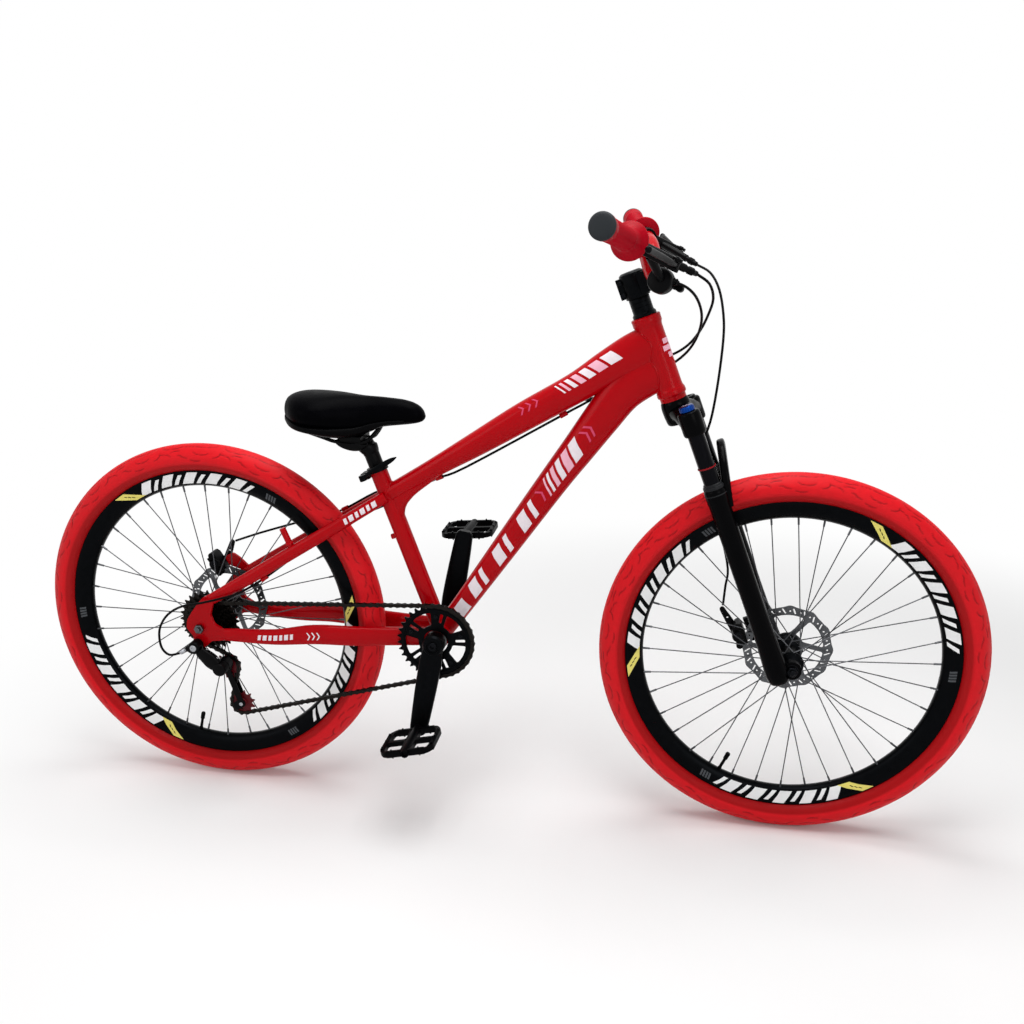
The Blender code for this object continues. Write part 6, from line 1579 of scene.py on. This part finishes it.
def make_lever(word, side):
    points = lever_points(side)
    pivot = points[0]
    knuckle = pin(pivot, LEVER_AXIS, 0.0043, 0.0072, 32, 0.0006)
    sizes = mm((4.2, 5), (4.5, 5), (5, 4.5), (5, 4.2), (4.4, 3.6))
    blade = formed([(point, *size) for point, size in zip(points, sizes)], 20, LEVER_PULL, 2.6, 6)
    ball = revolve(mm((0, -5), (3, -4.4), (4.6, -2.2), (5, 0), (4.6, 2.2), (3, 4.4), (0, 5)), points[-1],
        LEVER_AXIS, 24)
    piece(f"{word}_brake_lever_blade", [knuckle, blade, ball], CAST_BLACK, f"brake_lever_{word}",
        [f"brake_lever_{word}"])


# %% Shifter
SHIFTER_CENTRE = at(0.82, -0.14, 0.988)


def shifter_body():
    inward = bar_axis(RIGHT)[2]
    pod = revolve(mm((0, -12), (16, -12), (18.4, -10.8), (19.5, -8), (19.5, 1), (18.7, 1.8), (18.7, 3.4),
        (19.5, 4.2), (19.5, 9), (18.4, 11.2), (16.5, 12), (0, 12)), SHIFTER_CENTRE, inward, 48)
    strut = rod(at(0.803, -0.184, 1.026), SHIFTER_CENTRE + Vector((0, -0.009, 0.004)), 0.0065, 28)
    out = Vector((0.0178, 0.005, -0.0083)).normalized()
    nozzle = revolve(mm((0, -14), (5.8, -14), (5.8, -3), (4.5, -2.2), (4.5, -0.8), (5.6, 0), (5.6, 1.6),
        (4.2, 3), (3.6, 5.2), (0, 5.2)), at(0.8412, -0.14, 0.9868), out, 24)
    return [pod, strut, nozzle]


for word, side in SIDES:
    make_bracket(word, side)
    make_lever(word, side)
inward = bar_axis(RIGHT)[2]
near, far = SHIFTER_CENTRE + inward * 0.0125, SHIFTER_CENTRE + inward * 0.017
disc = rod(near, far, 0.013, 40, 0.0008)
knob = at(0.849, -0.124, 0.976)
arm = formed([(near.lerp(far, 0.5), 0.005, 0.002), (near.lerp(knob, 0.55), 0.005, 0.002),
    (knob, 0.0045, 0.002)], 16)
tip = revolve(mm((0, -9), (4.6, -8.8), (5.6, -7.8), (5.8, -4), (5.8, 2), (5.2, 4.5), (3, 5), (0, 5)), knob,
    inward, 28)
piece("thumb_shift_lever", [disc, arm, tip], NYLON, "shift_lever", ["shift_lever"])
piece("shift_lever_screw", [socket_bolt(far - inward * 0.0001, inward, 0.0044, 0.0012)], BOLT_STEEL,
    "shift_lever")

# %% [markdown]
# ## Drivetrain
# A sprocket's teeth have roots one chain pitch apart. The chain is laid first, as a closed line
# round the four toothed wheels, and its pins are set out along that line at half an inch. Each
# wheel's teeth are then turned to meet the pins that lie on it.

# %% The chain's line
CHAIN_PITCH = 0.0127
COG_TEETH = [28, 24, 22, 20, 18, 16, 14]
DRIVEN_COG = 3
COG_SPACING = 0.005
GUIDE_PULLEY, TENSION_PULLEY = (0.037, 0.25), (0.062, 0.176)
WHEELS = [((0.443, 0.333), 34, 1), ((0.0, WHEEL_RADIUS), COG_TEETH[DRIVEN_COG], 1), (GUIDE_PULLEY, 11, -1),
    (TENSION_PULLEY, 11, 1)]


def pitch_radius(teeth):
    return teeth * CHAIN_PITCH / tau


def chain_line():
    """Dense points (x, z, wheel) round each wheel in turn, which make the chain's closed line."""
    leaving, joining = [], []
    for index, (centre, teeth, sense) in enumerate(WHEELS):
        other, other_teeth, other_sense = WHEELS[(index + 1) % 4]
        dx, dz = other[0] - centre[0], other[1] - centre[1]
        offset = pitch_radius(teeth) * sense - pitch_radius(other_teeth) * other_sense
        heading = atan2(dz, dx) + asin(offset / hypot(dx, dz))
        normal = atan2(-cos(heading), sin(heading))
        leaving.append(normal if sense > 0 else normal + pi)
        joining.append(normal if other_sense > 0 else normal + pi)
    line = []
    for index, (centre, teeth, sense) in enumerate(WHEELS):
        start = joining[index - 1]
        sweep = (sense * (leaving[index] - start)) % tau
        for step in range(97):
            angle = start + sense * sweep * step / 96
            line.append((*polar(pitch_radius(teeth), angle, centre), index))
    return line


def lay_pins():
    """Chain pins set out evenly along the line, each with the wheel that it lies on."""
    line = chain_line()
    line.append(line[0])
    lengths = [0.0]
    for (x0, z0, _), (x1, z1, _) in zip(line, line[1:]):
        lengths.append(lengths[-1] + hypot(x1 - x0, z1 - z0))
    count = 2 * round(lengths[-1] / CHAIN_PITCH / 2)
    pins, index = [], 0
    for step in range(count):
        reach = lengths[-1] * step / count
        while lengths[index + 1] < reach:
            index += 1
        share = (reach - lengths[index]) / (lengths[index + 1] - lengths[index])
        (x0, z0, w0), (x1, z1, w1) = line[index], line[index + 1]
        pins.append((x0 + (x1 - x0) * share, z0 + (z1 - z0) * share, w0 if w0 == w1 else None))
    print("chain:", count, "links,", round(1000 * lengths[-1] / count, 2), "mm apart")
    return pins


PINS = lay_pins()


def tooth_phase(wheel):
    """The angle of the pin nearest the middle of a wheel's wrap."""
    centre = WHEELS[wheel][0]
    mine = [pin for pin in PINS if pin[2] == wheel]
    x, z, _ = mine[len(mine) // 2]
    return atan2(z - centre[1], x - centre[0])


# %% Toothed wheels
def tooth_outline(teeth, phase):
    """Rounded roots under the pins and blunt teeth between them."""
    pitch = pitch_radius(teeth)
    step = tau / teeth
    made = []
    for index in range(teeth):
        root = phase + step * index
        for share, rise in ((-0.22, -0.0026), (0.0, -0.004), (0.22, -0.0026), (0.41, 0.0022),
                (0.46, 0.0031), (0.54, 0.0031), (0.59, 0.0022)):
            angle = root + share * step
            made.append(polar(pitch + rise, angle))
    return made


# An outer ring on five forked arms, with its bolts.
phase = tooth_phase(0)
holes = [circle(0.0225, 40)]
for arm in range(5):
    start = tau * arm / 5 + 0.3
    window = arc(0.056, start, (10, 18, 26, 34, 42, 50)) + arc(0.032, start, (46, 30, 14))
    slot = arc(0.055, start, (57, 63)) + arc(0.037, start, (64, 56))
    holes += [round_corners(window, 0.0035, 3), round_corners(slot, 0.002, 3)]
plane = BRACKET - SIDE * CHAINLINE
ring = slab(tooth_outline(34, phase), holes, 0.0024, plane)
guard = hoop(mm((57.5, -1.2), (62.5, -1.2), (62.5, -2.4), (61.8, -2.8), (58.2, -2.8), (57.5, -2.4)), plane,
    SIDE, 96)
piece("chainring_with_guard_lip", [ring, guard], BLACK_ALLOY, "crankset", ["chainring"], edge=0.0003)
bolt = socket_bolt(plane + Vector((0.048 * cos(0.3), -0.0012, 0.048 * sin(0.3))), -SIDE, 0.0036, 0.0018)
ring_of("chainring_bolts", [bolt], 5, BRACKET, BOLT_STEEL, "crankset")

# Seven sprockets with their spacers on the freewheel's body.
first = -(CHAINLINE - COG_SPACING * DRIVEN_COG)
parts = []
phase = tooth_phase(1)
for index, teeth in enumerate(COG_TEETH):
    place = REAR_AXLE + SIDE * (first - COG_SPACING * index)
    turned = phase if index == DRIVEN_COG else phase + 0.21 * (index - DRIVEN_COG)
    holes = [circle(0.0165, 24)]
    if teeth >= 20:
        inner, outer = 0.0215, pitch_radius(teeth) - 0.0085
        for hole in range(8):
            angle = tau * hole / 8 + 0.2 * index
            holes.append(circle(min(0.004, (outer - inner) / 2), 14, polar((inner + outer) / 2, angle)))
    parts.append(slab(tooth_outline(teeth, turned), holes, 0.0018, place))
piece("seven_sprockets", parts, CHAIN_STEEL, "freewheel", ["freewheel"])
body = hoop([(0.0056, first + 0.0015), (0.0195, first + 0.0015), (0.0195, first - 0.032),
    (0.0165, first - 0.0328), (0.015, first - 0.033), (0.0056, first - 0.033)], REAR_AXLE, SIDE, 48)
piece("freewheel_body", [body], BOLT_STEEL, "freewheel")


# %% Chain links
def link_plate(y, thickness, radius):
    """A figure-of-eight side plate from one pin to the next."""
    half = CHAIN_PITCH / 2
    outline = []
    for centre, way in ((0.0, -1), (CHAIN_PITCH, 1)):
        for step in range(6):
            angle = radians(-75 + 150 * step / 5)
            outline.append((centre + way * radius * cos(angle), way * radius * sin(angle)))
        outline.append((half, way * radius * 0.62))
    return slab(outline, [], thickness, SIDE * y)


places = []
for (x0, z0, _), (x1, z1, _) in zip(PINS, PINS[1:] + PINS[:1]):
    turn = (0.0, -atan2(z1 - z0, x1 - x0), 0.0)
    places.append((at(x0, -CHAINLINE, z0), turn))
outer = [link_plate(y, 0.0009, 0.0041) for y in (-0.003, 0.003)] + [pin(Vector((x, 0, 0)), SIDE, 0.0038,
    0.0017, 8) for x in (0.0, CHAIN_PITCH)]
inner = [link_plate(y, 0.0009, 0.0041) for y in (-0.0019, 0.0019)] + [pin(Vector((x, 0, 0)), SIDE, 0.0014,
    0.0034, 10) for x in (0.0, CHAIN_PITCH)]
copies_at("chain_outer_links", outer, places[::2], CHAIN_STEEL, "frame", ["chain"])
copies_at("chain_inner_links", inner, places[1::2], CHAIN_STEEL, "frame", ["chain"])


# %% [markdown]
# ## Cranks and pedals
# The crank arms are forged bars, broad at the axle and slimmer at the pedal. The platform pedals are
# moulded in one piece with four windows, and studs stand on their rims to hold the shoe.

# %% Crank arms
CRANK_LENGTH = 0.162
CRANK_BACK = radians(9.5)


def crank_way(side):
    return Vector((-sin(CRANK_BACK), 0, -cos(CRANK_BACK))) * (-side)


def make_crank(word, side):
    way, outward = crank_way(side), SIDE * side
    foot = BRACKET + way * CRANK_LENGTH
    radius = 0.0185 if side == LEFT else 0.02
    boss = hoop([(0.0088, 0.045), (radius - 0.0015, 0.045), (radius, 0.0465), (radius, 0.069),
        (radius - 0.003, 0.0732), (0.0125, 0.074), (0.0125, 0.0715), (0.0088, 0.0715)], BRACKET, outward,
        48)
    rows = mm((64, 4, 17.5, 8), (65, 40, 20.5, 8), (70, 100, 19.5, 7), (75, 162, 16.5, 6.5),
        (75.5, 172, 14, 6.3), (75.5, 177, 9.5, 6))
    shank = formed(laid(rows, BRACKET, outward, way), 28, SIDE, 3.6, 6)
    spindle = revolve(mm((0, 70), (7.2, 70), (7.2, 85), (6.2, 88), (5, 89.5), (5, 173.5), (4, 174),
        (0, 174)), foot, outward, 28)
    piece(f"{word}_forged_crank", [boss, shank, spindle], BLACK_ALLOY, "crankset", [f"crank_arm_{word}"],
        sharp=34)
    bolt = revolve(mm((0, 64), (7.8, 64), (7.8, 72.2), (7, 73.2), (4.8, 73.2), (4.4, 70), (0, 70)),
        BRACKET, outward, 28)
    washer = revolve(mm((0, 81.3), (6, 81.3), (6, 82.2), (3, 82.2), (3, 80.8), (0, 80.8)), foot, outward,
        24)
    piece(f"{word}_crank_bolt", [bolt, washer], BOLT_STEEL, "crankset")


for word, side in SIDES:
    make_crank(word, side)
piece("bracket_axle", [pin(BRACKET, SIDE, 0.0662, 0.0084, 28)], BOLT_STEEL, "crankset",
    ["bottom_bracket_axle"])


# %% Platform pedals
def make_pedal(word, side, tilt):
    foot = BRACKET + crank_way(side) * CRANK_LENGTH
    middle = foot + SIDE * side * 0.132
    outline = mm((-50, -30), (-40, -43), (40, -43), (50, -30), (50, 30), (40, 43), (-40, 43), (-50, 30))
    windows = []
    for way in (-1, 1):
        for half in (-1, 1):
            near, far = 0.01 * way, 0.0425 * way
            low, high = 0.0038 * half, 0.0358 * half
            windows.append(round_corners([(near, low), (far, low), (far - 0.003 * way, high),
                (near, high)], 0.005))
    flat = Matrix.Rotation(tilt, 3, "Y") @ Matrix.Rotation(radians(-90), 3, "X")
    body = slab(round_corners(outline, 0.006), windows, 0.009, middle, flat)
    turn = Matrix.Rotation(tilt, 3, "Y")
    sleeve = hoop(mm((5.5, -50), (8, -50), (8.4, -47), (7.8, 43), (6.8, 47), (5.5, 47)), middle,
        SIDE * side, 36)
    rails = [brick((0.07, 0.005, 0.012), middle + turn @ Vector((0, y, 0)), turn @ UP, SIDE)
        for y in (-0.0395, 0.0395)]
    rails += [brick((0.005, 0.056, 0.012), middle + turn @ Vector((x, 0, 0)), turn @ UP, SIDE)
        for x in (-0.0462, 0.0462)]
    piece(f"{word}_moulded_pedal", [body, sleeve, *rails], NYLON, f"pedal_{word}", [f"pedal_{word}"],
        edge=0.0008)
    studs = []
    ends = [(x, y) for x in (-0.0462, 0.0462) for y in (-0.024, 0.0, 0.024)]
    for x, y in ends + [(x, y) for y in (-0.0395, 0.0395) for x in (-0.025, 0.025)]:
        spot = middle + turn @ Vector((x, y, 0))
        studs.append(pin(spot, turn @ UP, 0.0085, 0.0016, 10, 0.0005))
    piece(f"{word}_pedal_studs", studs, BOLT_STEEL, f"pedal_{word}")


make_pedal("right", RIGHT, radians(-13))
make_pedal("left", LEFT, radians(-4.7))

# %% [markdown]
# ## Rear derailleur
# Four links make a parallelogram that swings the cage sideways under the cogs. The knuckle at the
# top bolts to the frame, the lower one holds the spring that turns the cage, and two red toothed
# pulleys lead the chain.

# %% Derailleur
HANGER_BOLT, CAGE_PIVOT = at(-0.006, 0, 0.303), at(0.04, 0, 0.262)

run = (CAGE_PIVOT - HANGER_BOLT).normalized()
swing = Vector((-run.z, 0, run.x))
knuckle = revolve(mm((0, 75), (10.5, 75), (11.5, 76), (11.5, 93), (10.2, 95.2), (7, 96), (0, 96)),
    HANGER_BOLT, -SIDE, 40)
barrel_end = at(-0.037, -0.087, 0.2875)
barrel_foot = HANGER_BOLT + Vector((-0.006, -0.087, 0.0))
shell = rod(barrel_foot, barrel_foot.lerp(barrel_end, 0.45), 0.0056, 24, 0.0006)
rows = mm((4, -85, -6, 9, 7.5), (-6, -86, -8, 7.5, 7), (-14, -87, -6, 5, 5))
flange = formed(laid(rows, HANGER_BOLT, AHEAD, SIDE, UP), 20)
piece("derailleur_top_knuckle", [knuckle, shell, flange], CAST_BLACK, "frame", ["derailleur_body"],
    edge=0.0004)
way = (barrel_end - barrel_foot).normalized()
length = (barrel_end - barrel_foot).length
profile = [(0, length * 0.45), (0.003, length * 0.45), (0.003, length * 0.55)]
for step in range(5):
    place = length * 0.56 + step * 0.0021
    profile += [(0.0042, place), (0.0042, place + 0.0011), (0.0037, place + 0.0016)]
profile += [(0.0034, length - 0.0006), (0, length)]
parts = [revolve(profile, barrel_foot, way, 24), revolve(mm((0, 95.8), (6.2, 95.8), (6.2, 97.2), (5, 97.6),
    (3, 97.6), (3, 96.2), (0, 96.2)), HANGER_BOLT, -SIDE, 28)]
piece("derailleur_barrel_adjuster", parts, SILVER_CAST, "frame", edge=0.0002)
middle = HANGER_BOLT + run * 0.032 - SIDE * 0.087
rows = mm((-20.5, 10.5, 7), (-8, 12.5, 8), (8, 14.5, 8), (20.5, 12.5, 7.2))
block = formed(laid(rows, middle, run), 24, SIDE, 3.0)
pins = [pin(middle + run * reach, swing, 0.0145, 0.0022, 18, 0.0004) for reach in (-0.0125, 0.0125)]
piece("derailleur_parallelogram", [block], CAST_BLACK, "derailleur_link", ["derailleur_link"])
piece("parallelogram_pins", pins, SILVER_CAST, "derailleur_link", edge=0.0003)
lower = revolve(mm((0, 57.5), (11.8, 57.5), (12.8, 58.3), (12.8, 93), (11.2, 95.2), (7, 96), (0, 96)),
    CAGE_PIVOT, -SIDE, 40)
spring_cap = hoop(mm((7, 60), (13.8, 60), (13.8, 76), (7, 68)), CAGE_PIVOT, -SIDE, 40)
piece("derailleur_lower_knuckle", [lower, spring_cap], CAST_BLACK, "derailleur_knuckle",
    ["derailleur_knuckle"], edge=0.0004)

guide, tension = at(GUIDE_PULLEY[0], -CHAINLINE, GUIDE_PULLEY[1]), at(TENSION_PULLEY[0], -CHAINLINE,
    TENSION_PULLEY[1])
low = (tension.x - guide.x, tension.z - guide.z)
plates = []
for y, thick in ((-0.0068, 0.0017), (0.0066, 0.0015)):
    plates += [slab(capsule((0, 0), low, 0.0056, 0.0056), [], thick, guide + SIDE * y),
        slab(circle(0.011, 32), [], thick * 0.9, guide + SIDE * y),
        slab(capsule((low[0] - 0.008, low[1] - 0.004), low, 0.0085, 0.0078), [], thick * 0.9,
        guide + SIDE * y)]
piece("derailleur_cage_plates", plates, CAST_BLACK, "derailleur_cage", ["derailleur_cage"], edge=0.0003)
bolts = []
for centre in (guide, tension):
    bolts += [rod(centre - SIDE * 0.0068, centre + SIDE * 0.0066, 0.0034, 20),
        socket_bolt(centre - SIDE * 0.0088, -SIDE, 0.0036, 0.0012)]
piece("pulley_bolts", bolts, SILVER_CAST, "derailleur_cage")
for word, centre, wheel in (("guide", guide, 2), ("tension", tension, 3)):
    disc = slab(tooth_outline(11, tooth_phase(wheel)), [circle(0.0038, 20)], 0.0024, centre)
    hub = hoop(mm((3.8, -4.2), (8.5, -4.2), (9.5, -3), (9.5, 3), (8.5, 4.2), (3.8, 4.2)), centre, SIDE, 32)
    piece(f"{word}_toothed_pulley", [disc, hub], PULLEY_RED, f"{word}_pulley", [f"{word}_pulley"],
        edge=0.0002)


# %% [markdown]
# ## Seat post and rails
# The post is a drawn tube with a cast head, whose two jaws grip the saddle's rails. The rails are
# one steel wire bent into a fork: its ends go into the saddle's base at the back and at the nose.

# %% Seat post, head and rails
RAIL_HEIGHT = 0.6905

post = revolve(mm((0, 150), (13.6, 150), (13.6, 360), (15, 362.5), (15.8, 365), (15.8, 370.5),
    (14.5, 372.2), (0, 372.2)), on_seat_tube(0), SEAT_UP, 40)
head = at(0.288, 0, RAIL_HEIGHT)
lower = formed(rows_at(mm((259, 0, 690.5, 3.5, 25), (270, 0, 686.5, 7.5, 27.5), (286, 0, 683.5, 10, 28),
    (302, 0, 684, 10, 27), (316, 0, 687.5, 5, 20))), 24, SIDE, 3.6)
upper = brick((0.038, 0.054, 0.008), head + UP * 0.006, UP)
swell = formed([(on_seat_tube(0.356), 0.0136, 0.0136), (on_seat_tube(0.366, -0.001), 0.015, 0.017),
    (at(0.3, 0, 0.685), 0.012, 0.022)], 28, SIDE, 2.4)
carved("seatpost_and_head", [post, lower, upper, swell], [rod(at(0.25, side * 0.022, RAIL_HEIGHT),
    at(0.36, side * 0.022, RAIL_HEIGHT), 0.004, 24) for side in (-1, 1)], CAST_BLACK, "seat", ["seatpost"],
    edge=0.0008)
bolts = [socket_bolt(head + Vector((x, 0, -0.0098)), -UP, 0.0042, 0.0004) for x in (-0.015, 0.015)]
piece("seatpost_head_bolts", bolts, BOLT_STEEL, "seat")

half = [(0.188, 0.04, 0.7172), (0.209, 0.0325, 0.7088), (0.238, 0.0245, 0.6972),
    (0.258, 0.022, RAIL_HEIGHT), (0.28, 0.022, RAIL_HEIGHT), (0.306, 0.022, RAIL_HEIGHT),
    (0.318, 0.02, 0.6945), (0.327, 0.0145, 0.704), (0.334, 0.007, 0.713), (0.336, 0.0, 0.715)]
route = [(x, -y, z) for x, y, z in half] + [(x, y, z) for x, y, z in reversed(half[:-1])]
points = [at(*p) for p in faired(route, 5)]
piece("saddle_rail_wire", [tube(points, 0.0034, 16)], CAST_BLACK, "seat", ["saddle_rails"])


# %% [markdown]
# ## Saddle
# The saddle is a foam pad under a vinyl cover, stretched over a plastic base. The pad's form is
# skinned from cross sections, and a short cloth simulation with a little air pressure then pulls
# the cover tight, so that it is crowned between its edges as a real one is.

# %% Saddle sections
SADDLE_REAR = 0.1645
COVER_ROOM = 0.0022
SADDLE_STATIONS = mm((0, 14, 757, 730), (4, 29, 766.5, 724.5), (13, 43, 772.5, 719.5),
    (24, 57, 775.5, 716.5), (38, 68, 776.5, 714), (56, 73.5, 776, 712), (74, 72, 775, 710.5),
    (92, 65.5, 773.7, 709), (112, 54, 771.8, 708), (136, 40.5, 769.7, 708.5), (160, 32, 768.9, 714.5),
    (190, 28, 768.6, 719.8), (220, 25, 766.8, 721.8), (240, 21.2, 760, 723.5), (250, 15, 751, 727),
    (254, 9, 743, 731))


def saddle_ring(row):
    """One cross section: a soft crown over sides that draw in towards the base."""
    x, half_width, top, bottom = row
    half_width, top, bottom = half_width - COVER_ROOM, top - COVER_ROOM, bottom + COVER_ROOM
    waist = bottom + 0.42 * (top - bottom)
    ring = []
    for step in range(56):
        angle = tau * (step + 0.5) / 56
        rise = sin(angle)
        across = squared(cos(angle), 0.85) * half_width
        if rise > 0:
            height = waist + (top - waist) * rise ** 0.8
        else:
            height = waist - (waist - bottom) * abs(rise) ** 0.62
            across *= 0.86 + 0.14 * (1 - abs(rise))
        ring.append(at(SADDLE_REAR + x, across, height))
    return ring


def make_saddle_base():
    """The deep moulded base under the pad, with the rim that the cover is drawn over."""
    rings = []
    for x, half_width, _, bottom in faired(SADDLE_STATIONS[1:-3], 3):
        fade = min(1.0, 0.1 + (0.196 - x) / 0.04)
        keel = 0.009 * exp(-((x - 0.105) / 0.045) ** 2)
        section = []
        for step in range(40):
            angle = tau * (step + 0.5) / 40
            rise = sin(angle)
            across = squared(cos(angle), 0.6) * (half_width * 0.93 - 0.001)
            deep = (0.0085 + keel * abs(rise)) * fade if rise < 0 else 0.0075
            section.append(at(SADDLE_REAR + x, across, bottom + 0.006 + squared(rise, 0.55) * deep))
        rings.append(section)
    piece("saddle_base_shell", [skin(rings)], NYLON, "seat")


# %% The pad's cover, pulled tight by a cloth simulation
def vinyl():
    """Embossed vinyl: black, with pebbled grain about a millimetre across and a soft sheen."""
    look = finish("embossed_black_vinyl", "saddle_cover", "#040406", "#010102", 14, (0.34, 0.42), IOR=1.06)
    tree = look.node_tree
    shader = tree.nodes["Principled BSDF"]
    where = add(tree, "ShaderNodeTexCoord").outputs["Object"]
    pebble = add(tree, "ShaderNodeTexVoronoi", {"Vector": where, "Scale": 700.0}, feature="SMOOTH_F1")
    relief = add(tree, "ShaderNodeBump", {"Height": pebble.outputs["Distance"], "Strength": 0.5,
        "Distance": 0.00012})
    tree.links.new(relief.outputs[0], shader.inputs["Normal"])
    return look


VINYL = vinyl()


def pull_tight(obj, pressure, most):
    """Runs cloth on a closed mesh with pressure, and caps how far each point may move."""
    before = [v.co.copy() for v in obj.data.vertices]
    cloth = obj.modifiers.new("cover", "CLOTH")
    cloth.settings.use_pressure = True
    cloth.settings.uniform_pressure_force = pressure
    cloth.settings.effector_weights.gravity = 0.0
    cloth.settings.quality = 5
    cloth.settings.tension_stiffness = 40
    cloth.settings.compression_stiffness = 40
    cloth.settings.bending_stiffness = 2.0
    cloth.point_cache.frame_start, cloth.point_cache.frame_end = 1, 12
    for number in range(1, 13):
        bpy.context.scene.frame_set(number)
    mesh = baked(obj)
    obj.modifiers.remove(cloth)
    bpy.context.scene.frame_set(1)
    moved = 0.0
    for vertex, start in zip(mesh.vertices, before):
        step = vertex.co - start
        if step.length > most:
            vertex.co = start + step * (most / step.length)
        moved = max(moved, (vertex.co - start).length)
    obj.data = mesh
    print(f"{obj.name}: cover moved up to {1000 * moved:.1f} mm")


def make_saddle():
    obj = loose("vinyl_saddle_pad", [skin([saddle_ring(row) for row in faired(SADDLE_STATIONS, 3)])], 180)
    remesh = obj.modifiers.new("even", "REMESH")
    remesh.mode = "VOXEL"
    remesh.voxel_size = 0.0045
    mesh = baked(obj)
    obj.modifiers.remove(remesh)
    obj.data = mesh
    pull_tight(obj, pressure=3.0, most=0.0035)
    obj.data.shade_smooth()
    smooth = obj.modifiers.new("even_out", "SMOOTH")
    smooth.factor, smooth.iterations = 0.5, 4
    fine = obj.modifiers.new("fine", "SUBSURF")
    fine.levels = fine.render_levels = 1
    settle(obj, VINYL, "seat", ["saddle_pad"])


make_saddle_base()
make_saddle()
